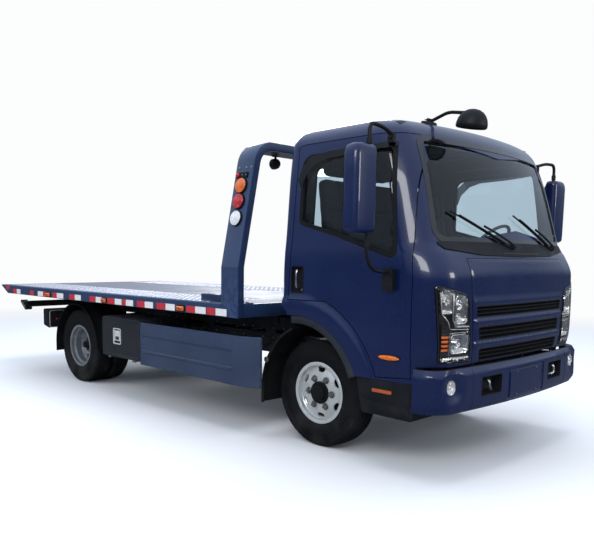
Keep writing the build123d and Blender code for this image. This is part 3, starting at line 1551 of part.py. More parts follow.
# Small mirror on an arm over the roof's right front corner
roof_mirror_y = -500
with BuildPart() as roof_mirror:
    foot_front = forward(640)
    foot_rear = forward(560)
    foot_z = [nose_height(x, roof_mirror_y + 40) + 1 for x in (foot_rear, foot_front)]
    arm = (
        (forward(600), roof_mirror_y, sum(foot_z) / 2 + 6),
        (forward(740), roof_mirror_y, 2292),
        (forward(880), roof_mirror_y, 2262),
    )
    with BuildLine():
        FilletPolyline(*arm, radius=30)
    with BuildSketch(Plane(origin=arm[0], z_dir=Vector(*arm[1]) - Vector(*arm[0]))):
        Circle(11)
    sweep()
    side_prism(
        (
            (foot_rear, foot_z[0]),
            (foot_front, foot_z[1]),
            (foot_front, foot_z[1] + 13),
            (foot_rear, foot_z[0] + 13),
        ),
        roof_mirror_y - 40,
        roof_mirror_y + 40,
    )
    with Locations((forward(905), roof_mirror_y, 2190)):
        Sphere(88)
    block(forward(800), forward(1010), roof_mirror_y - 100, roof_mirror_y + 100, 2080, 2160, mode=Mode.SUBTRACT)
save(roof_mirror.part, "roof_mirror")

# Seats: a driver's seat and a double seat, cushions and backs
with BuildPart() as seats:
    for y_low, y_high in ((250, 790), (-800, 190)):
        block(forward(-60), forward(420), y_low, y_high, seat_floor_z + seat_gap, seat_floor_z + 200)
        side_prism(
            (
                (forward(-60), seat_floor_z + 150),
                (forward(60), seat_floor_z + 150),
                (forward(-40), seat_floor_z + 900),
                (forward(-140), seat_floor_z + 900),
            ),
            y_low,
            y_high,
        )
save(seats.part, "seats")

# Dashboard across the cab, with the bore of the steering column
wheel_hub = Vector(forward(520), 500, 1452)
column_dir = Vector(cos(radians(42)), 0, -sin(radians(42)))
column_radius = 20
column_length = 330
with BuildPart() as dashboard:
    side_prism(
        (
            (forward(690), 1180),
            (forward(670), 1330),
            (forward(760), 1410),
            (forward(885), 1395),
            (forward(935), 1330),
            (forward(935), 900),
            (forward(900), 900),
            (forward(840), 1150),
        ),
        -760,
        760,
    )
    block(forward(900), forward(998), -560, 560, foot_floor_z, 1000)
    with BuildSketch(Plane(origin=wheel_hub, z_dir=column_dir)):
        Circle(column_radius + pin_clearance)
    extrude(amount=column_length + 1, mode=Mode.SUBTRACT)
save(dashboard.part, "dashboard")

with BuildPart() as steering_wheel:
    ring_plane = Plane(origin=wheel_hub, x_dir=(0, 1, 0), z_dir=column_dir)
    with BuildSketch(ring_plane.offset(-10)):
        Circle(212)
        Circle(188, mode=Mode.SUBTRACT)
        Rectangle(390, 36)
        with Locations((0, -98)):
            Rectangle(36, 190)
        Circle(58)
    extrude(amount=22)
    with BuildSketch(ring_plane):
        Circle(column_radius)
    extrude(amount=column_length)
save(steering_wheel.part, "steering_wheel")
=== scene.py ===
import json
from math import acos, asin, atan2, cos, hypot, pi, radians, sin, tan
import bmesh
import bpy
import numpy as np
from mathutils import Matrix, Vector
from mathutils.geometry import delaunay_2d_cdt
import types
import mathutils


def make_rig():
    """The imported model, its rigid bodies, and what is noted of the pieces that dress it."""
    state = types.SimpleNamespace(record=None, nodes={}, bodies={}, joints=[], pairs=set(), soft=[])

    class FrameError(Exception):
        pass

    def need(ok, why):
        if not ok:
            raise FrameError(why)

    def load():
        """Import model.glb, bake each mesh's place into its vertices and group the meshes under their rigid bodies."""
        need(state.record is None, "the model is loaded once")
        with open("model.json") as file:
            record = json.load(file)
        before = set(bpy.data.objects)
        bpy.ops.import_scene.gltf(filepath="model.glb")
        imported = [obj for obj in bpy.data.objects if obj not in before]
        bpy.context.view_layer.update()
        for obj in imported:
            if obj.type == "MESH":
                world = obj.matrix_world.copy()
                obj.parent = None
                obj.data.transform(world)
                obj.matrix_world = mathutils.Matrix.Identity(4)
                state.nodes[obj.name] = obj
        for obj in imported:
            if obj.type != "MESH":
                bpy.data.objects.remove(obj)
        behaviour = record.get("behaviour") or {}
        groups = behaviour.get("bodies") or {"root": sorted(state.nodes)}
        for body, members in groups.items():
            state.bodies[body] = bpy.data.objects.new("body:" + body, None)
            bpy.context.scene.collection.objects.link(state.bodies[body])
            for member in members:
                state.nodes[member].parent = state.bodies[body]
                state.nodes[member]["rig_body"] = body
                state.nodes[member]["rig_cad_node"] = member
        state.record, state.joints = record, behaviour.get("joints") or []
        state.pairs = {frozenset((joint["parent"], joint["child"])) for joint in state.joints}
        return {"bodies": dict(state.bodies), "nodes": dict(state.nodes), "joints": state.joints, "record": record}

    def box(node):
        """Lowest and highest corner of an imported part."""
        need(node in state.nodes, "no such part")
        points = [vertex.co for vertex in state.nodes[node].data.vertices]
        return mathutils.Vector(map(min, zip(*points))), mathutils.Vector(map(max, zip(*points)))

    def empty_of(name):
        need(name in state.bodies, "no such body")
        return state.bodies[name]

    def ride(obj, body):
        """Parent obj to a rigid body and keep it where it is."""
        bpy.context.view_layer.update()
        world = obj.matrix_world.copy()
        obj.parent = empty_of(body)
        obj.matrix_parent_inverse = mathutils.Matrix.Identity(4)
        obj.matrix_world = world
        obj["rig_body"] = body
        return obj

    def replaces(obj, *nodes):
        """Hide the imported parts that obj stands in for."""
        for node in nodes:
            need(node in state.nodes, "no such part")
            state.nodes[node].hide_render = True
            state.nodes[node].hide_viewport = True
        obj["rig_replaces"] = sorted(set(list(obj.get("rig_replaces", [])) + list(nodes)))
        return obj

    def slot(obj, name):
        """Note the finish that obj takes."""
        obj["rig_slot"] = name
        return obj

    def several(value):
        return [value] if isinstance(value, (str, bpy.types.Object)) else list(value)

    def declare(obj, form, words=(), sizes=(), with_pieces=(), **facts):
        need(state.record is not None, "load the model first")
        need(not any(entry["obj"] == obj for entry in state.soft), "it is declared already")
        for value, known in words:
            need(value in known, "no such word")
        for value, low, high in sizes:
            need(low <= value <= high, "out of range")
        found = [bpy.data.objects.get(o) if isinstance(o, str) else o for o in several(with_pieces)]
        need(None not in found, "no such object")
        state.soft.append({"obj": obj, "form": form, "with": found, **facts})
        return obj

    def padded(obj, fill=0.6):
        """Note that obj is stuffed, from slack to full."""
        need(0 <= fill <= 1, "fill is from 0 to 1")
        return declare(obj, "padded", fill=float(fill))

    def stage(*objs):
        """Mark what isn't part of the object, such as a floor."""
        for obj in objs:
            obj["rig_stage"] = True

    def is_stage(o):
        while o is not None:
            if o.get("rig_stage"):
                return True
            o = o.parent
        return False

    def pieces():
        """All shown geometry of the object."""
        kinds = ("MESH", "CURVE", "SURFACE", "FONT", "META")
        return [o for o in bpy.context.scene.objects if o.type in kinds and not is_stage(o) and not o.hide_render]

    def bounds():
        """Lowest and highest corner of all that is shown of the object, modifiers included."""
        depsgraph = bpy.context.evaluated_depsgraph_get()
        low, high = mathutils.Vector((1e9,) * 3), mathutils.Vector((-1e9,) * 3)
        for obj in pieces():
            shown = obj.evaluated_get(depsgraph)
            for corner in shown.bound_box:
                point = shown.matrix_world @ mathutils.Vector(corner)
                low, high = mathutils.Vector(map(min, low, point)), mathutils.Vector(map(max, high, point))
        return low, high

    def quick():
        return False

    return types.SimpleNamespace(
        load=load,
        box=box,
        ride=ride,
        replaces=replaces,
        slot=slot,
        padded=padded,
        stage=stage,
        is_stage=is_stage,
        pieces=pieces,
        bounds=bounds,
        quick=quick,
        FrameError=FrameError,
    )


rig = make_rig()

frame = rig.load()
cadBox = [list(corner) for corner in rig.bounds()]
scene = bpy.context.scene
nodes = frame["nodes"]
frontAxleX = 1.8795  # every length is in metres, and most places are counted from the front axle
rearAxleX = frontAxleX - 3.36
axleHeight = 0.388
rightAndLeft = (("right", -1), ("left", 1))


def ahead(distance):
    return frontAxleX + distance


def aheadAll(points):
    return [(ahead(a), b) for a, b in points]


# Camera and studio
view = {
    "place": (4.9893, -4.3549, 1.3453),
    "heading": 137.02,
    "tilt": -6.477,
    "roll": 0.505,
    "lens": 40.157,
    "shift": (0.0663, 0.1014),
}
camera = bpy.data.objects.new("camera", bpy.data.cameras.new("camera"))
scene.collection.objects.link(camera)
turn = Matrix.Rotation(radians(view["heading"] - 90), 4, "Z")
turn = turn @ Matrix.Rotation(radians(90 + view["tilt"]), 4, "X") @ Matrix.Rotation(radians(view["roll"]), 4, "Z")
camera.matrix_world = Matrix.Translation(view["place"]) @ turn
camera.data.sensor_width = 36
camera.data.lens = view["lens"]
camera.data.shift_x, camera.data.shift_y = view["shift"]
camera.data.clip_end = 200
scene.camera = camera
scene.view_settings.view_transform = "Standard"

studio = {
    "lamps": (  # name, place, aimed at, width, height, watts, shown in reflections
        ("overhead", (1.5, 0.0, 7.5), (0.0, 0.0, 0.8), 7.0, 4.0, 330, False),
        ("key", (6.5, -7.0, 5.0), (1.5, -0.8, 1.0), 3.4, 2.2, 210, True),
        ("sideFill", (-3.5, -8.0, 3.5), (-1.0, -1.0, 0.8), 6.0, 2.5, 215, False),
        ("backRim", (-5.0, 6.0, 4.5), (0.0, 0.0, 1.0), 4.0, 3.0, 200, True),
        ("noseFill", (9.0, 2.5, 3.0), (2.8, 0.3, 1.0), 2.0, 1.6, 90, True),
    ),
    "floor": (0.86, 0.865, 0.87),
    "floorMirrored": (0.10, 0.105, 0.115),
    "horizon": (0.075, 0.095, 0.135),
    "haze": (0.42, 0.5, 0.62),
    "zenith": (0.72, 0.82, 1.0),
    "fade": (5.5, 13.0),  # where the floor begins and ends its change to the backdrop
    "backdrop": (0.975, 0.98, 0.985),
}
for name, place, aim, width, height, watts, mirrored in studio["lamps"]:
    lamp = bpy.data.lights.new(name, "AREA")
    lamp.shape = "RECTANGLE"
    lamp.size, lamp.size_y, lamp.energy = width, height, watts
    holder = bpy.data.objects.new(name, lamp)
    scene.collection.objects.link(holder)
    holder.location = place
    holder.rotation_euler = (Vector(aim) - Vector(place)).to_track_quat("-Z", "Y").to_euler()
    holder.visible_glossy = mirrored


def makeStudio():
    world = bpy.data.worlds.new("studio")
    scene.world = world
    world.use_nodes = True
    tree = world.node_tree
    tree.nodes.clear()
    output = tree.nodes.new("ShaderNodeOutputWorld")
    place = tree.nodes.new("ShaderNodeTexCoord")
    split = tree.nodes.new("ShaderNodeSeparateXYZ")
    ramp = tree.nodes.new("ShaderNodeValToRGB")
    ramp.color_ramp.elements[0].position = 0.03
    ramp.color_ramp.elements[0].color = (*studio["horizon"], 1)
    ramp.color_ramp.elements.new(0.22).color = (*studio["haze"], 1)
    ramp.color_ramp.elements[-1].position = 0.75
    ramp.color_ramp.elements[-1].color = (*studio["zenith"], 1)
    sky = tree.nodes.new("ShaderNodeBackground")
    plain = tree.nodes.new("ShaderNodeBackground")
    plain.inputs["Color"].default_value = (*studio["backdrop"], 1)
    seen = tree.nodes.new("ShaderNodeLightPath")
    mix = tree.nodes.new("ShaderNodeMixShader")
    tree.links.new(place.outputs["Generated"], split.inputs[0])
    tree.links.new(split.outputs["Z"], ramp.inputs["Fac"])
    tree.links.new(ramp.outputs["Color"], sky.inputs["Color"])
    direct = tree.nodes.new("ShaderNodeMath")
    direct.operation = "MAXIMUM"
    tree.links.new(seen.outputs["Is Camera Ray"], direct.inputs[0])
    tree.links.new(seen.outputs["Is Transmission Ray"], direct.inputs[1])
    tree.links.new(direct.outputs[0], mix.inputs["Fac"])
    tree.links.new(sky.outputs[0], mix.inputs[1])
    tree.links.new(plain.outputs[0], mix.inputs[2])
    tree.links.new(mix.outputs[0], output.inputs["Surface"])
    mesh = bpy.data.meshes.new("floor")
    mesh.from_pydata([(-40, -40, 0), (40, -40, 0), (40, 40, 0), (-40, 40, 0)], [], [(0, 1, 2, 3)])
    floor = bpy.data.objects.new("floor", mesh)
    scene.collection.objects.link(floor)
    paint = bpy.data.materials.new("studioFloor")
    paint.use_nodes = True
    surface = paint.node_tree.nodes["Principled BSDF"]
    surface.inputs["Base Color"].default_value = (*studio["floor"], 1)
    surface.inputs["Roughness"].default_value = 0.85
    surface.inputs["Specular IOR Level"].default_value = 0.2
    tone = paint.node_tree.nodes.new("ShaderNodeMix")
    tone.data_type = "RGBA"
    tone.inputs[6].default_value = (*studio["floor"], 1)
    tone.inputs[7].default_value = (*studio["floorMirrored"], 1)
    rays = paint.node_tree.nodes.new("ShaderNodeLightPath")
    paint.node_tree.links.new(rays.outputs["Is Glossy Ray"], tone.inputs[0])
    paint.node_tree.links.new(tone.outputs[2], surface.inputs["Base Color"])
    # Far from the object the floor melts into the backdrop
    place = paint.node_tree.nodes.new("ShaderNodeTexCoord")
    reach = paint.node_tree.nodes.new("ShaderNodeVectorMath")
    reach.operation = "LENGTH"
    fade = paint.node_tree.nodes.new("ShaderNodeMapRange")
    fade.interpolation_type = "SMOOTHSTEP"
    fade.inputs["From Min"].default_value, fade.inputs["From Max"].default_value = studio["fade"]
    glow = paint.node_tree.nodes.new("ShaderNodeEmission")
    sight = paint.node_tree.nodes.new("ShaderNodeMix")
    sight.data_type = "RGBA"
    sight.inputs[6].default_value = (*studio["floorMirrored"], 1)
    sight.inputs[7].default_value = (*studio["backdrop"], 1)
    both = paint.node_tree.nodes.new("ShaderNodeMixShader")
    for source, target in (
        (place.outputs["Object"], reach.inputs[0]),
        (reach.outputs["Value"], fade.inputs["Value"]),
        (fade.outputs["Result"], both.inputs["Fac"]),
        (rays.outputs["Is Camera Ray"], sight.inputs[0]),
        (sight.outputs[2], glow.inputs["Color"]),
        (surface.outputs[0], both.inputs[1]),
        (glow.outputs[0], both.inputs[2]),
        (both.outputs[0], paint.node_tree.nodes["Material Output"].inputs["Surface"]),
    ):
        paint.node_tree.links.new(source, target)
    mesh.materials.append(paint)
    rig.stage(floor)


makeStudio()
print("stage: camera and studio")


# Shader groups that several finishes share
def newGroup(name, inputs, outputs):
    tree = bpy.data.node_groups.new(name, "ShaderNodeTree")
    for label, value in inputs:
        kind = "NodeSocketColor" if isinstance(value, tuple) else "NodeSocketFloat"
        tree.interface.new_socket(label, in_out="INPUT", socket_type=kind).default_value = value
    for label, kind in outputs:
        tree.interface.new_socket(label, in_out="OUTPUT", socket_type=kind)
    return tree, tree.nodes.new("NodeGroupInput").outputs, tree.nodes.new("NodeGroupOutput").inputs


def feed(tree, socket, value):
    if isinstance(value, bpy.types.NodeSocket):
        tree.links.new(value, socket)
    elif isinstance(value, tuple) and len(value) == 3 and len(socket.default_value) == 4:
        socket.default_value = (*value, 1)
    else:
        socket.default_value = value


def addMath(tree, operation, first, second=0.0, clamp=False):
    node = tree.nodes.new("ShaderNodeMath")
    node.operation, node.use_clamp = operation, clamp
    feed(tree, node.inputs[0], first)
    feed(tree, node.inputs[1], second)
    return node.outputs[0]


def addNoise(tree, vector, scale, detail=3.0, rough=0.55):
    node = tree.nodes.new("ShaderNodeTexNoise")
    for label, value in (("Vector", vector), ("Scale", scale), ("Detail", detail), ("Roughness", rough)):
        feed(tree, node.inputs[label], value)
    return node.outputs["Fac"]


def addRange(tree, value, low, high, toLow=0.0, toHigh=1.0):
    node = tree.nodes.new("ShaderNodeMapRange")
    node.interpolation_type = "SMOOTHSTEP"
    for label, number in (
        ("Value", value),
        ("From Min", low),
        ("From Max", high),
        ("To Min", toLow),
        ("To Max", toHigh),
    ):
        feed(tree, node.inputs[label], number)
    return node.outputs["Result"]


def addMix(tree, share, first, second):
    node = tree.nodes.new("ShaderNodeMix")
    node.data_type = "RGBA"
    feed(tree, node.inputs[0], share)
    feed(tree, node.inputs[6], first)
    feed(tree, node.inputs[7], second)
    return node.outputs[2]


def objectPlace(tree):
    return tree.nodes.new("ShaderNodeTexCoord").outputs["Object"]


def makeRoadDust():
    inputs = (("Amount", 0.3), ("Height", 0.9), ("Patch Size", 6.0))
    tree, given, out = newGroup("roadDust", inputs, (("Mask", "NodeSocketFloat"),))
    place = objectPlace(tree)
    split = tree.nodes.new("ShaderNodeSeparateXYZ")
    tree.links.new(place, split.inputs[0])
    low = addRange(tree, split.outputs["Z"], 0.1, given["Height"], 1.0, 0.0)
    patches = addRange(tree, addNoise(tree, place, given["Patch Size"], 5.0, 0.62), 0.35, 0.7)
    normal = tree.nodes.new("ShaderNodeNewGeometry")
    facing = tree.nodes.new("ShaderNodeSeparateXYZ")
    tree.links.new(normal.outputs["Normal"], facing.inputs[0])
    ledge = addRange(tree, facing.outputs["Z"], 0.5, 1.0, 0.0, 0.45)
    both = addMath(tree, "ADD", addMath(tree, "MULTIPLY", low, patches), addMath(tree, "MULTIPLY", ledge, patches))
    tree.links.new(addMath(tree, "MULTIPLY", both, given["Amount"], True), out["Mask"])
    return tree


def makeTone():
    inputs = (("First", (0.5, 0.5, 0.5, 1.0)), ("Second", (0.4, 0.4, 0.4, 1.0)), ("Patch Size", 3.0), ("Spread", 0.2))
    tree, given, out = newGroup("unevenTone", inputs, (("Color", "NodeSocketColor"), ("Mask", "NodeSocketFloat")))
    noise = addNoise(tree, objectPlace(tree), given["Patch Size"], 4.0, 0.6)
    low = addMath(tree, "SUBTRACT", 0.5, given["Spread"])
    high = addMath(tree, "ADD", 0.5, given["Spread"])
    mask = addRange(tree, noise, low, high)
    tree.links.new(addMix(tree, mask, given["First"], given["Second"]), out["Color"])
    tree.links.new(mask, out["Mask"])
    return tree


def makeGrain():
    inputs = (("Fine", 900.0), ("Coarse", 60.0), ("Coarse Share", 0.3))
    tree, given, out = newGroup("surfaceGrain", inputs, (("Height", "NodeSocketFloat"),))
    place = objectPlace(tree)
    fine = addNoise(tree, place, given["Fine"], 2.0, 0.5)
    coarse = addNoise(tree, place, given["Coarse"], 2.0, 0.5)
    both = addMath(tree, "ADD", fine, addMath(tree, "MULTIPLY", coarse, given["Coarse Share"]))
    tree.links.new(both, out["Height"])
    return tree


def makeWearAndSheen():
    inputs = (("Amount", 0.5), ("Patch Size", 30.0))
    tree, given, out = newGroup("edgeWear", inputs, (("Mask", "NodeSocketFloat"),))
    # Sharp edges in patches: partly wear, partly a painted edge highlight
    pointed = tree.nodes.new("ShaderNodeNewGeometry").outputs["Pointiness"]
    edge = addRange(tree, pointed, 0.53, 0.62)
    patches = addRange(tree, addNoise(tree, objectPlace(tree), given["Patch Size"], 4.0, 0.6), 0.42, 0.62)
    both = addMath(tree, "MULTIPLY", edge, patches)
    tree.links.new(addMath(tree, "MULTIPLY", both, given["Amount"], True), out["Mask"])
    return tree


groups = {"dust": makeRoadDust(), "tone": makeTone(), "grain": makeGrain(), "wear": makeWearAndSheen()}


def addGroup(tree, kind, **values):
    node = tree.nodes.new("ShaderNodeGroup")
    node.node_tree = groups[kind]
    for label, value in values.items():
        feed(tree, node.inputs[label.replace("_", " ")], value)
    return node.outputs


# Opaque finishes: colours, patch size of the tone, roughness, metal, coat, grain, dust, and sharp edges lightened in
# their own colour, partly wear and partly painted highlight
finishes = {
    "cabPaint": dict(
        first=(0.0016, 0.0078, 0.047), second=(0.0022, 0.0094, 0.054), patch=2.0, rough=(0.26, 0.34), metal=0.0,
        coat=0.62, coatRough=0.03, specular=0.32, grain=(700, 45, 0.5, 0.02), dust=0.03, dustTop=1.1,
    ),
    "bedPaint": dict(
        first=(0.0105, 0.0270, 0.076), second=(0.0135, 0.0330, 0.090), patch=3.0, rough=(0.32, 0.46), metal=0.0,
        coat=0.6, coatRough=0.12, specular=0.5, grain=(500, 60, 0.5, 0.05), dust=0.09, dustTop=1.2, wear=0.5,
    ),
    "guardPaint": dict(
        first=(0.022, 0.037, 0.078), second=(0.028, 0.046, 0.092), patch=2.5, rough=(0.38, 0.5), metal=0.1,
        coat=0.35, coatRough=0.2, specular=0.5, grain=(500, 50, 0.5, 0.05), dust=0.12, dustTop=0.9, wear=0.4,
    ),
    "chassisPaint": dict(
        first=(0.0055, 0.006, 0.0085), second=(0.009, 0.0095, 0.012), patch=5.0, rough=(0.45, 0.62), metal=0.0,
        coat=0.0, coatRough=0.2, specular=0.4, grain=(300, 40, 0.6, 0.2), dust=0.17, dustTop=1.1, wear=0.6,
    ),
    "castBlack": dict(
        first=(0.006, 0.0062, 0.0072), second=(0.0105, 0.0102, 0.0105), patch=9.0, rough=(0.5, 0.75), metal=0.2,
        coat=0.0, coatRough=0.2, specular=0.4, grain=(180, 30, 0.7, 0.5), dust=0.24, dustTop=0.9, wear=0.7,
    ),
    "castGrey": dict(
        first=(0.16, 0.165, 0.17), second=(0.1, 0.1, 0.1), patch=7.0, rough=(0.45, 0.7), metal=0.6,
        coat=0.0, coatRough=0.2, specular=0.5, grain=(160, 30, 0.7, 0.5), dust=0.21, dustTop=1.0, wear=0.4,
    ),
    "trimBlack": dict(
        first=(0.0042, 0.0048, 0.0062), second=(0.0062, 0.0070, 0.0090), patch=6.0, rough=(0.46, 0.6), metal=0.0,
        coat=0.0, coatRough=0.2, specular=0.28, grain=(900, 250, 0.8, 0.35), dust=0.09, dustTop=0.8,
    ),
    "glossBlack": dict(
        first=(0.005, 0.0052, 0.006), second=(0.007, 0.0072, 0.008), patch=4.0, rough=(0.12, 0.2), metal=0.0,
        coat=0.5, coatRough=0.05, specular=0.5, grain=(600, 60, 0.4, 0.02), dust=0.03, dustTop=1.0,
    ),
    "boxGrey": dict(
        first=(0.0095, 0.0105, 0.0145), second=(0.0135, 0.0145, 0.019), patch=3.5, rough=(0.42, 0.55), metal=0.0,
        coat=0.0, coatRough=0.2, specular=0.5, grain=(650, 120, 0.8, 0.25), dust=0.16, dustTop=0.9, wear=0.5,
    ),
    "rubber": dict(
        first=(0.0045, 0.0048, 0.0055), second=(0.0075, 0.0078, 0.0085), patch=8.0, rough=(0.6, 0.78), metal=0.0,
        coat=0.0, coatRough=0.2, specular=0.2, grain=(500, 60, 0.5, 0.2), dust=0.10, dustTop=0.6,
    ),
    "tyreRubber": dict(
        first=(0.0040, 0.0042, 0.0052), second=(0.0062, 0.0064, 0.0072), patch=10.0, rough=(0.55, 0.72), metal=0.0,
        coat=0.0, coatRough=0.2, specular=0.2, grain=(420, 80, 0.6, 0.3), dust=0.17, dustTop=0.5,
    ),
    "wheelSilver": dict(
        first=(0.56, 0.58, 0.57), second=(0.50, 0.52, 0.515), patch=9.0, rough=(0.26, 0.36), metal=0.35,
        coat=0.5, coatRough=0.1, specular=0.5, grain=(600, 90, 0.6, 0.08), dust=0.12, dustTop=0.7,
    ),
    "wheelGrey": dict(
        first=(0.23, 0.245, 0.265), second=(0.17, 0.18, 0.195), patch=9.0, rough=(0.34, 0.48), metal=0.4,
        coat=0.1, coatRough=0.2, specular=0.5, grain=(500, 90, 0.6, 0.15), dust=0.17, dustTop=0.7,
    ),
    "bareSteel": dict(
        first=(0.42, 0.42, 0.43), second=(0.3, 0.3, 0.31), patch=14.0, rough=(0.24, 0.42), metal=1.0,
        coat=0.0, coatRough=0.2, specular=0.5, grain=(700, 90, 0.6, 0.08), dust=0.07, dustTop=0.9,
    ),
    "zincPlate": dict(
        first=(0.45, 0.46, 0.44), second=(0.34, 0.35, 0.35), patch=25.0, rough=(0.28, 0.42), metal=0.9,
        coat=0.0, coatRough=0.2, specular=0.5, grain=(700, 90, 0.6, 0.08), dust=0.05, dustTop=0.9,
    ),
    "chromePlate": dict(
        first=(0.78, 0.79, 0.8), second=(0.7, 0.71, 0.73), patch=6.0, rough=(0.05, 0.1), metal=1.0,
        coat=0.0, coatRough=0.2, specular=0.5, grain=(500, 60, 0.4, 0.01), dust=0.03, dustTop=0.8,
    ),
    "lampBowl": dict(
        first=(0.72, 0.73, 0.74), second=(0.62, 0.63, 0.65), patch=20.0, rough=(0.2, 0.3), metal=0.25,
        coat=0.5, coatRough=0.05, specular=0.5, grain=(500, 60, 0.4, 0.02), dust=0.0, dustTop=0.8,
    ),
    "deckPlate": dict(
        first=(0.255, 0.265, 0.305), second=(0.205, 0.215, 0.255), patch=1.6, rough=(0.36, 0.5), metal=0.35,
        coat=0.0, coatRough=0.2, specular=0.5, grain=(350, 50, 0.6, 0.08), dust=0.17, dustTop=1.3,
    ),
    "seatCloth": dict(
        first=(0.014, 0.0145, 0.017), second=(0.019, 0.0195, 0.023), patch=30.0, rough=(0.8, 0.95), metal=0.0,
        coat=0.0, coatRough=0.2, specular=0.2, grain=(1400, 300, 0.4, 0.12), dust=0.00, dustTop=1.0,
    ),
    "cabinTrim": dict(
        first=(0.022, 0.024, 0.028), second=(0.030, 0.033, 0.037), patch=4.0, rough=(0.55, 0.7), metal=0.0,
        coat=0.0, coatRough=0.2, specular=0.4, grain=(800, 200, 0.5, 0.12), dust=0.00, dustTop=1.0,
    ),
    "cabinDark": dict(
        first=(0.010, 0.011, 0.013), second=(0.015, 0.016, 0.018), patch=4.0, rough=(0.5, 0.65), metal=0.0,
        coat=0.0, coatRough=0.2, specular=0.4, grain=(800, 200, 0.5, 0.12), dust=0.00, dustTop=1.0,
    ),
    "headliner": dict(
        first=(0.085, 0.092, 0.10), second=(0.11, 0.118, 0.128), patch=20.0, rough=(0.85, 0.95), metal=0.0,
        coat=0.0, coatRough=0.2, specular=0.2, grain=(1200, 300, 0.5, 0.12), dust=0.00, dustTop=1.0,
    ),
    "amberGlow": dict(
        first=(0.75, 0.16, 0.01), second=(0.55, 0.1, 0.008), patch=60.0, rough=(0.08, 0.2), metal=0.0, coat=1.0,
        coatRough=0.03, specular=0.6, grain=(300, 160, 0.9, 0.25), dust=0.1, dustTop=1.0,
    ),
    "mirrorGlass": dict(
        first=(0.86, 0.87, 0.88), second=(0.84, 0.85, 0.86), patch=3.0, rough=(0.01, 0.03), metal=1.0, coat=0.0,
        coatRough=0.2, specular=0.5, grain=(300, 20, 0.2, 0.002), dust=0.03, dustTop=2.5,
    ),
    "hubBlack": dict(
        first=(0.0035, 0.0038, 0.0045), second=(0.0055, 0.0058, 0.0065), patch=12.0, rough=(0.35, 0.5), metal=0.0,
        coat=0.0,
        coatRough=0.2, specular=0.25, grain=(300, 60, 0.7, 0.2), dust=0.06, dustTop=0.8,
    ),
    "nutZinc": dict(
        first=(0.30, 0.31, 0.30), second=(0.17, 0.175, 0.17), patch=60.0, rough=(0.3, 0.45), metal=0.8, coat=0.0,
        coatRough=0.2, specular=0.5, grain=(500, 90, 0.6, 0.15), dust=0.1, dustTop=0.8,
    ),
    # Pale grey that paints in the bright reflection of chromed metal; the latch and the rear lamps' rim take it
    "latchMetal": dict(
        first=(0.62, 0.63, 0.60), second=(0.5, 0.51, 0.49), patch=30.0, rough=(0.25, 0.4), metal=0.25, coat=0.2,
        coatRough=0.1, specular=0.5, grain=(600, 90, 0.6, 0.1), dust=0.06, dustTop=0.9,
    ),
    "amberReflector": dict(
        first=(0.42, 0.085, 0.012), second=(0.3, 0.055, 0.01), patch=80.0, rough=(0.15, 0.3), metal=0.0, coat=0.8,
        coatRough=0.08, specular=0.6, grain=(400, 260, 1.0, 0.5), dust=0.3, dustTop=0.8,
    ),
    "archPlastic": dict(
        first=(0.0115, 0.0135, 0.0185), second=(0.016, 0.018, 0.024), patch=6.0, rough=(0.42, 0.55), metal=0.0,
        coat=0.0,
        coatRough=0.2, specular=0.5, grain=(800, 260, 0.9, 0.4), dust=0.3, dustTop=0.9,
    ),
    "redLamp": dict(
        first=(0.5, 0.006, 0.008), second=(0.34, 0.004, 0.006), patch=70.0, rough=(0.06, 0.16), metal=0.0, coat=1.0,
        coatRough=0.03, specular=0.6, grain=(320, 180, 1.0, 0.25), dust=0.15, dustTop=1.0,
    ),
    "whiteLamp": dict(
        first=(0.78, 0.79, 0.8), second=(0.6, 0.61, 0.62), patch=70.0, rough=(0.06, 0.16), metal=0.0, coat=1.0,
        coatRough=0.03, specular=0.6, grain=(320, 180, 1.0, 0.25), dust=0.15, dustTop=1.0,
    ),
    # A darker, duller copy of the bed paint for the members under the deck: painted shade, with more road dust
    "bedUnder": dict(
        first=(0.010, 0.017, 0.038), second=(0.014, 0.021, 0.044), patch=4.0, rough=(0.45, 0.6), metal=0.0, coat=0.0,
        coatRough=0.2, specular=0.45, grain=(400, 60, 0.6, 0.1), dust=0.25, dustTop=1.1,
    ),
    "wireRope": dict(
        first=(0.22, 0.22, 0.23), second=(0.12, 0.12, 0.12), patch=240.0, rough=(0.35, 0.55), metal=0.9, coat=0.0,
        coatRough=0.2, specular=0.5, grain=(900, 420, 1.0, 0.9), dust=0.2, dustTop=1.2,
    ),
    "deckStud": dict(
        first=(0.70, 0.71, 0.76), second=(0.56, 0.57, 0.63), patch=14.0, rough=(0.22, 0.36), metal=0.6, coat=0.0,
        coatRough=0.2, specular=0.5, grain=(500, 90, 0.6, 0.1), dust=0.08, dustTop=1.3,
    ),
    "screenBlack": dict(
        first=(0.004, 0.0045, 0.006), second=(0.006, 0.0065, 0.008), patch=4.0, rough=(0.06, 0.12), metal=0.0, coat=0.8,
        coatRough=0.02, specular=0.5, grain=(400, 60, 0.4, 0.01), dust=0.0, dustTop=1.0,
    ),
    "seatVinyl": dict(
        first=(0.010, 0.010, 0.011), second=(0.014, 0.014, 0.015), patch=20.0, rough=(0.35, 0.5), metal=0.0, coat=0.0,
        coatRough=0.2, specular=0.5, grain=(1600, 500, 0.4, 0.12), dust=0.0, dustTop=1.0,
    ),
    "exhaustSteel": dict(
        first=(0.20, 0.185, 0.17), second=(0.13, 0.095, 0.07), patch=9.0, rough=(0.45, 0.7), metal=0.7, coat=0.0,
        coatRough=0.2, specular=0.5, grain=(300, 60, 0.8, 0.3), dust=0.4, dustTop=1.0, wear=0.3,
    ),
}
dustTint = (0.085, 0.08, 0.075)
finish = {}


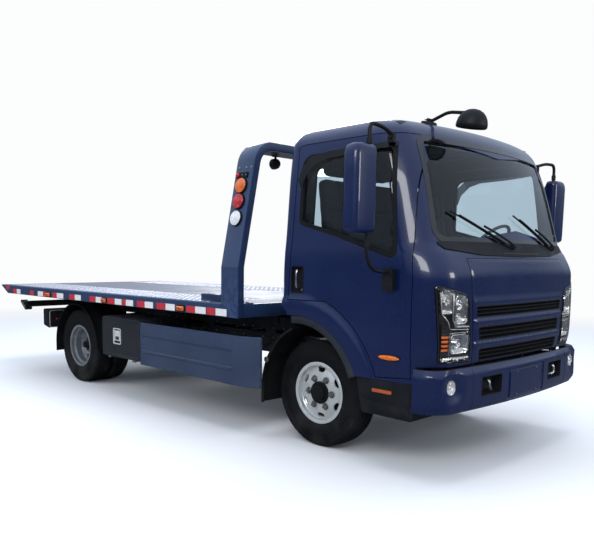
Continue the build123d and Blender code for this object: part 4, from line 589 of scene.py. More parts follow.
def makeFinish(name, spec):
    material = bpy.data.materials.new(name)
    material.use_nodes = True
    tree = material.node_tree
    surface = tree.nodes["Principled BSDF"]
    tone = addGroup(tree, "tone", First=(*spec["first"], 1.0), Second=(*spec["second"], 1.0), Patch_Size=spec["patch"])
    color, rough = tone["Color"], addRange(tree, tone["Mask"], 0.0, 1.0, *spec["rough"])
    if spec.get("wear"):
        # Edges take a brighter copy of the paint's own colour, partly wear and partly painted highlight
        edgeWornAndLit = addGroup(tree, "wear", Amount=spec["wear"])["Mask"]
        color = addMix(tree, edgeWornAndLit, color, tuple(min(1, 2.6 * part + 0.03) for part in spec["first"]))
    if spec["dust"]:
        dust = addGroup(tree, "dust", Amount=spec["dust"], Height=spec["dustTop"])["Mask"]
        color = addMix(tree, dust, color, dustTint)
        rough = addMath(tree, "ADD", rough, addMath(tree, "MULTIPLY", dust, 0.5), True)
    fine, coarse, share, strength = spec["grain"]
    bump = tree.nodes.new("ShaderNodeBump")
    bump.inputs["Strength"].default_value = strength
    bump.inputs["Distance"].default_value = 0.0006
    grain = addGroup(tree, "grain", Fine=fine, Coarse=coarse, Coarse_Share=share)
    tree.links.new(grain["Height"], bump.inputs["Height"])
    tree.links.new(color, surface.inputs["Base Color"])
    tree.links.new(rough, surface.inputs["Roughness"])
    tree.links.new(bump.outputs[0], surface.inputs["Normal"])
    surface.inputs["Metallic"].default_value = spec["metal"]
    surface.inputs["Coat Weight"].default_value = spec["coat"]
    surface.inputs["Coat Roughness"].default_value = spec["coatRough"]
    surface.inputs["Specular IOR Level"].default_value = spec["specular"]
    return material


for name, spec in finishes.items():
    finish[name] = makeFinish(name, spec)

# Window glass and clear lenses: tint, roughness, and whether it is a flat pane
lenses = {
    "windowGlass": dict(tint=(0.70, 0.77, 0.81), rough=0.0, sheet=True),
    "screenGlass": dict(tint=(0.78, 0.86, 0.9), rough=0.0, sheet=True),
    "lampLens": dict(tint=(0.96, 0.97, 0.98), rough=0.01, sheet=False),
    "smokeVisor": dict(tint=(0.16, 0.16, 0.17), rough=0.0, sheet=True),
}


def makeLens(name, spec):
    material = bpy.data.materials.new(name)
    material.use_nodes = True
    tree = material.node_tree
    surface = tree.nodes["Principled BSDF"]
    place = objectPlace(tree)
    smear = addRange(tree, addNoise(tree, place, 5.0, 4.0, 0.6), 0.4, 0.75, spec["rough"], spec["rough"] + 0.03)
    tree.links.new(smear, surface.inputs["Roughness"])
    surface.inputs["Base Color"].default_value = (*spec["tint"], 1)
    surface.inputs["Transmission Weight"].default_value = 1.0
    surface.inputs["IOR"].default_value = 1.0 if spec["sheet"] else 1.46
    surface.inputs["Coat Weight"].default_value = 1.0 if spec["sheet"] else 0.0
    clear = tree.nodes.new("ShaderNodeBsdfTransparent")
    clear.inputs["Color"].default_value = (*spec["tint"], 1)
    seen = tree.nodes.new("ShaderNodeLightPath")
    mix = tree.nodes.new("ShaderNodeMixShader")
    passed = seen.outputs["Is Shadow Ray"]
    if spec["sheet"]:
        # A flat pane mirrors on the face that is met first and lets everything through at the other
        behind = tree.nodes.new("ShaderNodeNewGeometry").outputs["Backfacing"]
        passed = addMath(tree, "MAXIMUM", passed, behind)
    tree.links.new(passed, mix.inputs["Fac"])
    tree.links.new(surface.outputs[0], mix.inputs[1])
    tree.links.new(clear.outputs[0], mix.inputs[2])
    tree.links.new(mix.outputs[0], tree.nodes["Material Output"].inputs["Surface"])
    return material


for name, spec in lenses.items():
    finish[name] = makeLens(name, spec)


def makeTape(name, tint):
    material = bpy.data.materials.new(name)
    material.use_nodes = True
    tree = material.node_tree
    surface = tree.nodes["Principled BSDF"]
    cells = tree.nodes.new("ShaderNodeTexVoronoi")
    cells.feature = "DISTANCE_TO_EDGE"
    cells.inputs["Scale"].default_value = 160
    tree.links.new(objectPlace(tree), cells.inputs["Vector"])
    edge = addRange(tree, cells.outputs["Distance"], 0.0, 0.12)
    dark = tuple(part * 0.72 for part in tint)
    tone = addMix(tree, edge, dark, tint)
    dust = addGroup(tree, "dust", Amount=0.35, Height=1.3)["Mask"]
    tree.links.new(addMix(tree, dust, tone, dustTint), surface.inputs["Base Color"])
    surface.inputs["Roughness"].default_value = 0.3
    surface.inputs["Coat Weight"].default_value = 0.6
    surface.inputs["Coat Roughness"].default_value = 0.1
    return material


finish["redTape"] = makeTape("redTape", (0.5, 0.02, 0.03))
finish["whiteTape"] = makeTape("whiteTape", (0.72, 0.72, 0.7))
print("stage: finishes")


# Making of meshes
def finishPiece(name, mesh, body, slot, materials, replaced=(), bevel=0.0, sharp=35, segments=2):
    for material in materials:
        mesh.materials.append(finish[material])
    piece = bpy.data.objects.new(name, mesh)
    scene.collection.objects.link(piece)
    for face in mesh.polygons:
        face.use_smooth = True
    if bevel:
        edge = piece.modifiers.new("edge", "BEVEL")
        edge.width, edge.segments, edge.limit_method = bevel, segments, "ANGLE"
        edge.angle_limit = radians(sharp)
        edge.harden_normals = True
    mesh.set_sharp_from_angle(angle=radians(sharp))
    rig.ride(piece, body)
    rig.slot(piece, slot)
    if replaced:
        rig.replaces(piece, *replaced)
    return piece


class Form:
    def __init__(self):
        self.net = bmesh.new()

    def add(self, points, faces, kind=0):
        made = [self.net.verts.new(point) for point in points]
        out = []
        for face in faces:
            if len(set(face)) > 2:
                part = self.net.faces.new([made[index] for index in face])
                part.material_index = kind
                out.append(part)
        return made, out

    def box(self, low, high, kind=0, edge=0.0, turned=None):
        points = [Vector((x, y, z)) for x in (low[0], high[0]) for y in (low[1], high[1]) for z in (low[2], high[2])]
        if turned is not None:
            points = [turned @ point for point in points]
        faces = ((0, 1, 3, 2), (4, 6, 7, 5), (0, 4, 5, 1), (2, 3, 7, 6), (0, 2, 6, 4), (1, 5, 7, 3))
        _, made = self.add(points, faces, kind)
        self.round(made, edge)

    def round(self, made, edge, segments=2):
        if edge:
            edges = {side for face in made for side in face.edges if side.calc_face_angle(0) > radians(30)}
            bmesh.ops.bevel(
                self.net, geom=list(edges), offset=edge, segments=segments, affect="EDGES", profile=0.6,
                clamp_overlap=True,
            )

    def prism(self, outline, start, depth, across, up, out, kind=0, edge=0.0):
        count = len(outline)
        start, across, up, out = Vector(start), Vector(across), Vector(up), Vector(out)
        near = [start + across * a + up * b for a, b in outline]
        far = [point + out * depth for point in near]
        faces = [tuple(range(count))[::-1], tuple(range(count, 2 * count))]
        faces += [(i, (i + 1) % count, count + (i + 1) % count, count + i) for i in range(count)]
        _, made = self.add(near + far, faces, kind)
        bmesh.ops.recalc_face_normals(self.net, faces=made)
        self.round(made, edge)

    def plate(self, outline, y, depth, kind=0, edge=0.0):
        self.prism(outline, (0, y, 0), depth, (1, 0, 0), (0, 0, 1), (0, 1, 0), kind, edge)

    def slab(self, outline, x, depth, kind=0, edge=0.0):
        self.prism(outline, (x, 0, 0), depth, (0, 1, 0), (0, 0, 1), (1, 0, 0), kind, edge)

    def rings(self, loops, kind=0, caps=True, closed=True):
        count = len(loops[0])
        points = [point for loop in loops for point in loop]
        faces = []
        for index in range(len(loops) - 1):
            base = index * count
            for i in range(count if closed else count - 1):
                j = (i + 1) % count
                faces.append((base + i, base + j, base + count + j, base + count + i))
        if caps:
            faces.append(tuple(range(count))[::-1])
            faces.append(tuple(range(len(points) - count, len(points))))
        _, made = self.add(points, faces, kind)
        return made

    def rod(self, start, end, radius, kind=0, sides=20, tip=0.0, endRadius=None):
        start, end = Vector(start), Vector(end)
        out = (end - start).normalized()
        first = out.orthogonal().normalized()
        second = out.cross(first)
        last = radius if endRadius is None else endRadius
        length = (end - start).length
        rows = [(0.0, radius - tip), (tip, radius), (length - tip, last), (length, last - tip)] if tip else [
            (0.0, radius), (length, last)]
        loops = []
        for along, size in rows:
            middle = start + out * along
            loops.append([
                middle + first * (cos(2 * pi * i / sides) * size) + second * (sin(2 * pi * i / sides) * size)
                for i in range(sides)
            ])
        self.rings(loops, kind)

    def tube(self, points, radius, kind=0, sides=12, bend=0.0):
        points = [Vector(point) for point in points]
        if bend:
            points = softened(points, bend)
        loops = []
        guide = None
        for index, point in enumerate(points):
            before = points[max(index - 1, 0)]
            after = points[min(index + 1, len(points) - 1)]
            out = (after - before).normalized()
            first = out.orthogonal() if guide is None else guide - out * guide.dot(out)
            guide = first.normalized()
            second = out.cross(guide)
            loops.append([
                point + guide * (cos(2 * pi * i / sides) * radius) + second * (sin(2 * pi * i / sides) * radius)
                for i in range(sides)
            ])
        self.rings(loops, kind)

    def revolve(self, profile, middle, axis, kind=0, steps=48, caps=False):
        axis = Vector(axis).normalized()
        middle = Vector(middle)
        first = axis.orthogonal().normalized()
        second = axis.cross(first)
        loops = [
            [
                middle + axis * along + (first * cos(2 * pi * i / steps) + second * sin(2 * pi * i / steps)) * radius
                for i in range(steps)
            ]
            for along, radius in profile
        ]
        return self.rings(loops, kind, caps)

    def ball(self, middle, radius, kind=0, steps=16, squash=(1, 1, 1)):
        rows = steps // 2
        loops = []
        for row in range(1, rows):
            angle = pi * row / rows
            loops.append([
                Vector(middle) + Vector((
                    squash[0] * radius * sin(angle) * cos(2 * pi * i / steps),
                    squash[1] * radius * sin(angle) * sin(2 * pi * i / steps),
                    squash[2] * radius * cos(angle),
                ))
                for i in range(steps)
            ])
        self.rings(loops, kind)

    def nut(self, middle, axis, size, height, kind=0):
        axis = Vector(axis).normalized()
        middle = Vector(middle)
        first = axis.orthogonal().normalized()
        second = axis.cross(first)
        rows = ((0, size), (height * 0.8, size), (height, size * 0.82))
        self.rings([
            [
                middle + axis * along + (first * cos(pi * i / 3) + second * sin(pi * i / 3)) * radius
                for i in range(6)
            ]
            for along, radius in rows
        ], kind)

    def save(self, name, body, slot, materials, replaced=(), bevel=0.0, sharp=35, outward=True, join=0.0, segments=2):
        if join:
            bmesh.ops.remove_doubles(self.net, verts=self.net.verts[:], dist=join)
        if outward:
            bmesh.ops.recalc_face_normals(self.net, faces=self.net.faces[:])
        mesh = bpy.data.meshes.new(name)
        self.net.to_mesh(mesh)
        self.net.free()
        return finishPiece(name, mesh, body, slot, materials, replaced, bevel, sharp, segments)


def softened(points, bend, steps=6):
    out = [points[0]]
    for before, corner, after in zip(points, points[1:], points[2:]):
        first, second = before - corner, after - corner
        reach = min(bend, first.length * 0.48, second.length * 0.48)
        start, end = corner + first.normalized() * reach, corner + second.normalized() * reach
        for step in range(steps + 1):
            share = step / steps
            out.append(start.lerp(corner, share).lerp(corner.lerp(end, share), share))
    out.append(points[-1])
    return out


def rounded(outline, radius, steps=6):
    out = []
    count = len(outline)
    for index, corner in enumerate(outline):
        size = radius[index] if isinstance(radius, (list, tuple)) else radius
        corner = Vector(corner)
        before, after = Vector(outline[index - 1]) - corner, Vector(outline[(index + 1) % count]) - corner
        half = before.angle(after) / 2
        reach = min(size / tan(half), before.length * 0.48, after.length * 0.48) if size else 0
        if not reach:
            out.append(tuple(corner))
            continue
        real = reach * tan(half)
        middle = corner + (before.normalized() + after.normalized()).normalized() * (real / sin(half))
        start, end = corner + before.normalized() * reach, corner + after.normalized() * reach
        first, last = start - middle, end - middle
        turnBy = first.angle_signed(last)
        for step in range(steps + 1):
            angle = -turnBy * step / steps
            x = first.x * cos(angle) - first.y * sin(angle)
            y = first.x * sin(angle) + first.y * cos(angle)
            out.append((middle.x + x, middle.y + y))
    return out


def dense(outline, step):
    out = []
    for first, second in zip(outline, outline[1:] + outline[:1]):
        count = max(1, int(hypot(second[0] - first[0], second[1] - first[1]) / step))
        for i in range(count):
            out.append((
                first[0] + (second[0] - first[0]) * i / count,
                first[1] + (second[1] - first[1]) * i / count,
            ))
    return out


def grown(outline, by):
    # Moves every side of a closed outline outwards by the same distance
    area = sum(a[0] * b[1] - b[0] * a[1] for a, b in zip(outline, outline[1:] + outline[:1]))
    if area < 0:
        by = -by
    out = []
    count = len(outline)
    for index, point in enumerate(outline):
        before, after = Vector(outline[index - 1]), Vector(outline[(index + 1) % count])
        here = Vector(point)
        first, second = (here - before).normalized(), (after - here).normalized()
        normals = Vector((first.y, -first.x)), Vector((second.y, -second.x))
        both = (normals[0] + normals[1]).normalized()
        size = by / max(0.35, both.dot(normals[0]))
        out.append((here.x + both.x * size, here.y + both.y * size))
    return out


def inside(point, outline):
    hit = False
    x, y = point
    for (ax, ay), (bx, by) in zip(outline, outline[1:] + outline[:1]):
        if (ay > y) != (by > y) and x < ax + (y - ay) / (by - ay) * (bx - ax):
            hit = not hit
    return hit


def far(point, outline, distance):
    x, y = point
    for (ax, ay), (bx, by) in zip(outline, outline[1:] + outline[:1]):
        dx, dy = bx - ax, by - ay
        size = dx * dx + dy * dy or 1e-12
        share = min(1, max(0, ((x - ax) * dx + (y - ay) * dy) / size))
        if hypot(x - ax - dx * share, y - ay - dy * share) < distance:
            return False
    return True


# The cab's outer surface, from rows of: height along the skin, height, rear, front, half width, corner, sweep
cabRows = (
    (0.560, 0.560, -0.246, 1.050, 1.000, 0.225, 4),
    (0.585, 0.585, -0.246, 1.050, 1.000, 0.225, 4),
    (0.860, 0.860, -0.246, 1.068, 1.010, 0.230, 4),
    (1.230, 1.230, -0.244, 1.062, 1.012, 0.230, 4),
    (1.370, 1.370, -0.240, 1.034, 1.009, 0.225, 8),
    (1.450, 1.450, -0.236, 1.010, 1.004, 0.212, 13),
    (2.110, 2.110, -0.206, 0.794, 0.967, 0.200, 13),
    (2.220, 2.200, -0.178, 0.702, 0.890, 0.195, 12),
    (2.330, 2.234, -0.095, 0.560, 0.775, 0.190, 10),
    (2.520, 2.2405, 0.060, 0.380, 0.560, 0.150, 8),
    (2.700, 2.2440, 0.150, 0.280, 0.300, 0.060, 6),
)
rearCornerRadius = 0.06
girth = (0.80, 0.33, 1.0, 0.09, 0.94)  # nominal lengths of front arc, corner, side, rear corner and rear wall
girthEnd = sum(girth)


def slopes(xs, ys):
    # Slopes of a smooth line through the rows that never overshoots them
    steps = [(b - a) / (v - u) for u, v, a, b in zip(xs, xs[1:], ys, ys[1:])]
    out = [steps[0]]
    for before, after in zip(steps, steps[1:]):
        out.append(0.0 if before * after <= 0 else 2 * before * after / (before + after))
    return out + [steps[-1]]


def smoothTable(rows):
    xs = [row[0] for row in rows]
    columns = [[row[i] for row in rows] for i in range(1, len(rows[0]))]
    tangents = [slopes(xs, column) for column in columns]

    def read(x):
        x = min(max(x, xs[0]), xs[-1])
        index = min(max(i for i in range(len(xs)) if xs[i] <= x), len(xs) - 2)
        width = xs[index + 1] - xs[index]
        t = (x - xs[index]) / width
        h = (2 * t**3 - 3 * t**2 + 1, t**3 - 2 * t**2 + t, 3 * t**2 - 2 * t**3, t**3 - t**2)
        return tuple(
            h[0] * c[index] + h[1] * width * m[index] + h[2] * c[index + 1] + h[3] * width * m[index + 1]
            for c, m in zip(columns, tangents)
        )

    return read


archMiddle = (-0.08, 0.39)
lipRows = smoothTable((
    (0.0, 0.012, 0), (0.558, 0.012, 0), (0.575, 0.016, 0), (0.640, 0.0165, 0), (0.668, 0.013, 0), (0.690, 0.003, 0),
    (0.711, 0.0, 0), (3.0, 0.0, 0),
))


class Skin:
    # A wrap-round surface: u runs along its girth from the front's middle, v up its height
    def __init__(self, rows, lip=False):
        self.at = smoothTable(rows)
        self.lip = lip

    def sizes(self, v):
        height, rear, front, half, corner, sweep = self.at(v)
        lean = radians(sweep)
        endY = half - corner + corner * sin(lean)
        bulge = endY * tan(lean / 2)
        arc = (endY**2 + bulge**2) / (2 * bulge)
        startX = front - bulge - corner * cos(lean)
        return height, rear, front, half, corner, lean, endY, arc, startX

    def flat(self, u, v):
        height, rear, front, half, corner, lean, _, arc, startX = self.sizes(v)
        side = -1 if u < 0 else 1
        u = abs(u)
        if u < girth[0]:
            angle = lean * u / girth[0]
            place = (front - arc + arc * cos(angle), arc * sin(angle))
        elif u < sum(girth[:2]):
            angle = lean + (pi / 2 - lean) * (u - girth[0]) / girth[1]
            place = (startX + corner * cos(angle), half - corner + corner * sin(angle))
        elif u < sum(girth[:3]):
            share = (u - sum(girth[:2])) / girth[2]
            place = (startX + (rear + rearCornerRadius - startX) * share, half)
        elif u < sum(girth[:4]):
            angle = pi / 2 + pi / 2 * (u - sum(girth[:3])) / girth[3]
            place = (
                rear + rearCornerRadius + rearCornerRadius * cos(angle),
                half - rearCornerRadius + rearCornerRadius * sin(angle),
            )
        else:
            share = min(1.0, (u - sum(girth[:4])) / girth[4])
            place = (rear, (half - rearCornerRadius) * (1 - share))
        return Vector((ahead(place[0]), side * place[1], height))

    def normal(self, u, v):
        step = 0.002
        along = self.flat(u + step, v) - self.flat(u - step, v)
        up = self.flat(u, v + step) - self.flat(u, v - step)
        return along.cross(up).normalized()

    def place(self, u, v, out=0.0):
        point = self.flat(u, v)
        if self.lip and v < 1.2 and abs(u) > 0.85:
            out += lipRows(hypot(point.x - ahead(archMiddle[0]), point.z - archMiddle[1]))[0]
        return point + self.normal(u, v) * out

    def fromSide(self, x, z):
        rear, corner, lean, startX = (self.sizes(z)[i] for i in (1, 4, 5, 8))
        low = rear + rearCornerRadius
        if x > startX:
            angle = acos(min(1, (x - startX) / corner))
            return girth[0] + girth[1] * (angle - lean) / (pi / 2 - lean), z
        if x < low:
            angle = acos(max(-1, (x - low) / rearCornerRadius))
            return sum(girth[:3]) + girth[3] * (angle - pi / 2) / (pi / 2), z
        return sum(girth[:2]) + girth[2] * (startX - x) / (startX - low), z

    def fromFront(self, y, z):
        half, corner, lean, endY, arc = self.sizes(z)[3:8]
        side = -1 if y < 0 else 1
        y = abs(y)
        if y < endY:
            return side * girth[0] * asin(y / arc) / lean, z
        angle = asin(min(1, (y - half + corner) / corner))
        return side * (girth[0] + girth[1] * (angle - lean) / (pi / 2 - lean)), z

    def fromRear(self, y, z):
        half = self.at(z)[3]
        return girthEnd - girth[4] * abs(y) / (half - rearCornerRadius), z


cab = Skin(cabRows, lip=True)
bumper = Skin((
    (0.400, 0.400, 0.300, 1.092, 0.992, 0.180, 6),
    (0.418, 0.418, 0.300, 1.100, 1.002, 0.180, 6),
    (0.470, 0.470, 0.300, 1.1178, 1.026, 0.172, 6),
    (0.560, 0.560, 0.300, 1.1180, 1.030, 0.170, 6),
    (0.660, 0.660, 0.300, 1.1178, 1.030, 0.170, 6),
    (0.693, 0.693, 0.300, 1.108, 1.022, 0.170, 6),
    (0.720, 0.720, 0.300, 1.098, 1.012, 0.170, 6),
))


def filled(outline, holes=(), step=0.024, extra=()):
    # Triangulates an outline with holes, with a grid of points inside
    points, edges = [], []
    for loop in (outline, *holes):
        base = len(points)
        points += loop
        edges += [(base + i, base + (i + 1) % len(loop)) for i in range(len(loop))]
    low = [min(point[i] for point in outline) for i in (0, 1)]
    high = [max(point[i] for point in outline) for i in (0, 1)]
    loops = [outline, *holes]

    def wanted(point):
        if not inside(point, outline) or any(inside(point, hole) for hole in holes):
            return False
        return all(far(point, loop, step * 0.45) for loop in loops)

    x = low[0] + step / 2
    while x < high[0]:
        y = low[1] + step / 2
        while y < high[1]:
            if wanted((x, y)):
                points.append((x, y))
            y += step
        x += step
    points += [point for point in extra if wanted(point)]
    result = delaunay_2d_cdt([Vector(point) for point in points], edges, [], 1, 1e-5, False)
    kept = []
    for face in result[2]:
        middle = sum((result[0][i] for i in face), Vector((0, 0))) / len(face)
        if not inside(middle, outline):
            continue
        spots = [middle] + [(result[0][a] + result[0][b]) / 2 for a, b in zip(face, face[1:] + face[:1])]
        if any(inside(spot, hole) and far(spot, hole, 0.0015) for hole in holes for spot in spots):
            continue
        if not any(inside(middle, hole) for hole in holes):
            kept.append(tuple(face))
    return [tuple(point) for point in result[0]], kept


def makePanel(name, points, faces, place, body, slot, materials, replaced=(), thick=0.012, edge=0.0016, sharp=40,
              mirrored=False, fillTop=False, inner=0):
    net = bmesh.new()
    made = [net.verts.new(place(*point)) for point in points]
    for face in faces:
        try:
            net.faces.new([made[i] for i in face])
        except ValueError:
            continue
    for vert in [vert for vert in net.verts if not vert.link_faces]:
        net.verts.remove(vert)
    if mirrored:
        copied = bmesh.ops.duplicate(net, geom=net.verts[:] + net.edges[:] + net.faces[:])
        for item in copied["geom"]:
            if isinstance(item, bmesh.types.BMVert):
                item.co.y = -item.co.y
        bmesh.ops.remove_doubles(net, verts=net.verts[:], dist=0.0002)
    if fillTop:
        top = max(vert.co.z for vert in net.verts)
        rim = [side for side in net.edges if side.is_boundary and all(v.co.z > top - 0.002 for v in side.verts)]
        bmesh.ops.contextual_create(net, geom=rim)
        bmesh.ops.triangulate(net, faces=[face for face in net.faces if len(face.verts) > 4])
    bmesh.ops.recalc_face_normals(net, faces=net.faces[:])
    middle = Vector((ahead(0.4), 0, 1.4))
    vote = sum((face.calc_center_median() - middle).dot(face.normal) * face.calc_area() for face in net.faces)
    if vote < 0:
        bmesh.ops.reverse_faces(net, faces=net.faces[:])
    bmesh.ops.join_triangles(
        net, faces=net.faces[:], angle_face_threshold=radians(12), angle_shape_threshold=radians(25),
    )
    mesh = bpy.data.meshes.new(name)
    net.to_mesh(mesh)
    net.free()
    for material in materials:
        mesh.materials.append(finish[material])
    for face in mesh.polygons:
        face.use_smooth = True
    piece = bpy.data.objects.new(name, mesh)
    scene.collection.objects.link(piece)
    if thick:
        solid = piece.modifiers.new("sheet", "SOLIDIFY")
        solid.thickness, solid.offset = thick, -1
        solid.use_even_offset = False
        solid.material_offset = inner
    if edge:
        corner = piece.modifiers.new("edge", "BEVEL")
        corner.width, corner.segments, corner.limit_method = edge, 2, "ANGLE"
        corner.angle_limit = radians(55)
        corner.harden_normals = True
    mesh.set_sharp_from_angle(angle=radians(sharp))
    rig.ride(piece, body)
    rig.slot(piece, slot)
    if replaced:
        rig.replaces(piece, *replaced)
    return piece


# Outlines that the cab's panels share, in side view (ahead of the axle, height) or front view (y, height)
maskFoot, maskSpread = 0.618, 0.0767
outlines = {
    "sideWindow": rounded([(-0.084, 1.573), (0.224, 1.495), (0.748, 1.330), (0.672, 2.040), (-0.072, 2.030)],
                          [0.045, 0.3, 0.05, 0.06, 0.09]),
    "screen": rounded([(-0.868, 1.446), (0.868, 1.446), (0.818, 2.098), (-0.818, 2.098)], 0.085, 8),
    "rearWindow": rounded([(-0.72, 1.48), (0.72, 1.48), (0.70, 2.01), (-0.70, 2.01)], 0.08, 8),
    "lamp": rounded([(0.948, 1.196), (0.918, 0.724), (0.636, 0.718), (0.668, 1.085), (0.706, 1.138)],
                    [0.02, 0.012, 0.012, 0.03, 0.05]),
    "mask": rounded([(-maskFoot, 0.700), (maskFoot, 0.700), (0.668, 1.352), (-0.668, 1.352)], 0.012),
}


def doorOutline():
    # The door follows the wheel arch at its rear foot
    radius, foot, top, points = 0.711, 0.600, 1.053, []
    start, end = asin((top - archMiddle[1]) / radius), asin((foot - archMiddle[1]) / radius)
    for i in range(25):
        angle = start + (end - start) * i / 24
        points.append((archMiddle[0] + radius * cos(angle), archMiddle[1] + radius * sin(angle)))
    return [(-0.166, top)] + points + rounded(
        [(0.858, foot), (0.858, 1.240), (0.766, 2.112), (-0.166, 2.112)], [0.008, 0.25, 0.035, 0.05]
    )


doorLoop = doorOutline()
print("stage: cab outlines")


def viewed(outline, turnTo, step=0.02):
    return [turnTo(*point) for point in dense(outline, step)]


def tidied(loop, least=0.003):
    out = []
    for point in loop:
        if not out or hypot(point[0] - out[-1][0], point[1] - out[-1][1]) > least:
            out.append(point)
    if hypot(out[0][0] - out[-1][0], out[0][1] - out[-1][1]) < least:
        out.pop()
    return out


def opened(points, step=0.02):
    # A dense open line through the points
    out = []
    for (x0, y0), (x1, y1) in zip(points, points[1:]):
        count = 1 + int(hypot(x1 - x0, y1 - y0) / step)
        out += [(x0 + (x1 - x0) * i / count, y0 + (y1 - y0) * i / count) for i in range(count)]
    return out + [tuple(points[-1])]


def openView(points, turnTo, step=0.02):
    return [turnTo(*point) for point in opened(points, step)]


# Cab skin: roof, pillars, corners, rear wall and wheel arch lips in one sheet
def makeCabSkin():
    half = {name: [(0.0, loop[0][1])] + [p for p in loop if p[0] > 0] + [(0.0, loop[-1][1])]
            for name, loop in ((n, outlines[n]) for n in ("screen", "rearWindow"))}
    mask = [p for p in outlines["mask"] if p[0] > 0] + [(0.0, 1.352)]
    start, end = atan2(0.5525, -0.0782), asin((0.600 - archMiddle[1]) / 0.558)
    arch = []
    for i in range(61):
        angle = start + (end - start) * i / 60
        arch.append((archMiddle[0] + 0.558 * cos(angle), archMiddle[1] + 0.558 * sin(angle)))
    loop = opened([(0.0, 1.352), (0.0, 1.446)])
    loop += openView(half["screen"], cab.fromFront)
    loop += opened([(0.0, 2.098), (0.0, 2.700), (girthEnd, 2.700), (girthEnd, 2.01)], 0.03)
    loop += openView(half["rearWindow"][::-1], cab.fromRear)
    loop += opened([(girthEnd, 1.48), (girthEnd, 1.038)], 0.03)
    loop += openView([(0.0, 1.038), (0.95, 1.038)], cab.fromRear, 0.03)
    loop += openView([(-0.245, 1.036), (-0.161, 0.962), (-0.158, 0.943)], cab.fromSide, 0.015)
    loop += [cab.fromSide(*point) for point in arch]
    loop += openView([(0.441, 0.590), (0.890, 0.590), (0.892, 0.700), (1.0, 0.700)], cab.fromSide, 0.015)
    loop += openView([(0.93, 0.700), (maskFoot, 0.700)], cab.fromFront, 0.015)
    loop += openView(mask, cab.fromFront)
    holes = [viewed(doorLoop, cab.fromSide), viewed(outlines["lamp"], cab.fromFront, 0.012)]
    rings = []
    for reach in (0.570, 0.585, 0.605, 0.640, 0.655, 0.668, 0.680, 0.690, 0.700):
        for i in range(80):
            angle = start - 0.02 + (end - start) * i / 79
            rings.append(cab.fromSide(archMiddle[0] + reach * cos(angle), archMiddle[1] + reach * sin(angle)))
    points, faces = filled(tidied(loop), [tidied(hole) for hole in holes], 0.026, rings)
    makePanel(
        "cabSkin", points, faces, cab.place, "cab", "cab_blue", ("cabPaint", "cabinTrim"), ("cab_shell",),
        thick=0.014, mirrored=True, fillTop=True, inner=1,
    )


makeCabSkin()
print("stage: cab skin")


def makeCabFloor():
    form = Form()
    for low, high in (
        ((0.40, -0.80, 0.812), (0.985, 0.80, 0.850)),
        ((0.40, -0.955, 0.812), (0.80, 0.955, 0.850)),
        ((0.40, -0.955, 0.812), (0.440, 0.955, 1.040)),
        ((-0.232, -0.958, 0.962), (0.440, 0.958, 1.040)),
        ((0.90, -0.80, 0.812), (0.925, 0.80, 1.330)),
        ((-0.224, -0.9, 1.038), (-0.206, 0.9, 1.46)),
    ):
        form.box((ahead(low[0]), low[1], low[2]), (ahead(high[0]), high[1], high[2]), 0, 0.004)
    for side in (-1, 1):
        low, high = sorted((side * 0.309, side * 0.341))
        form.box((ahead(0.924), low, 0.76), (ahead(0.996), high, 0.83), 1, 0.003)
        form.rod((ahead(0.96), low, 0.76), (ahead(0.96), high, 0.76), 0.036, 1, 32, 0.003)
        for x in (0.0, 0.2):
            low, high = sorted((side * 0.28, side * 0.36))
            form.box((ahead(x - 0.2), low, 0.93), (ahead(x - 0.15), high, 0.964), 1, 0.004)
    form.save("cabFloor", "cab", "chassis_black", ("cabinDark", "chassisPaint"))
    trim = Form()
    rows = []
    for i in range(33):
        u = -0.78 + 1.56 * i / 32
        rows.append([cab.place(u, v, -out) for v, out in ((2.13, 0.020), (2.2, 0.034), (2.23, 0.05), (2.23, 0.06),
                                                          (2.16, 0.052))])
    trim.rings(rows)
    for i in range(-3, 4):
        trim.box((ahead(-0.1), i * 0.22 - 0.008, 2.176), (ahead(0.58), i * 0.22 + 0.008, 2.184), 0, 0.003)
    trim.box((ahead(-0.16), -0.84, 2.180), (ahead(0.62), 0.84, 2.196), 0, 0.006)
    trim.save("headliner", "cab", "cabin_trim", ("headliner",))


makeCabFloor()


# Doors: outer sheet with the window and handle openings, black seals, inner card and handle
handleHole = rounded([(-0.136, 1.106), (-0.024, 1.106), (-0.024, 1.288), (-0.136, 1.288)], 0.014, 4)
doorShape = {"gap": 0.0045, "sheet": 0.030, "seal": 0.026, "glassInset": 0.012}


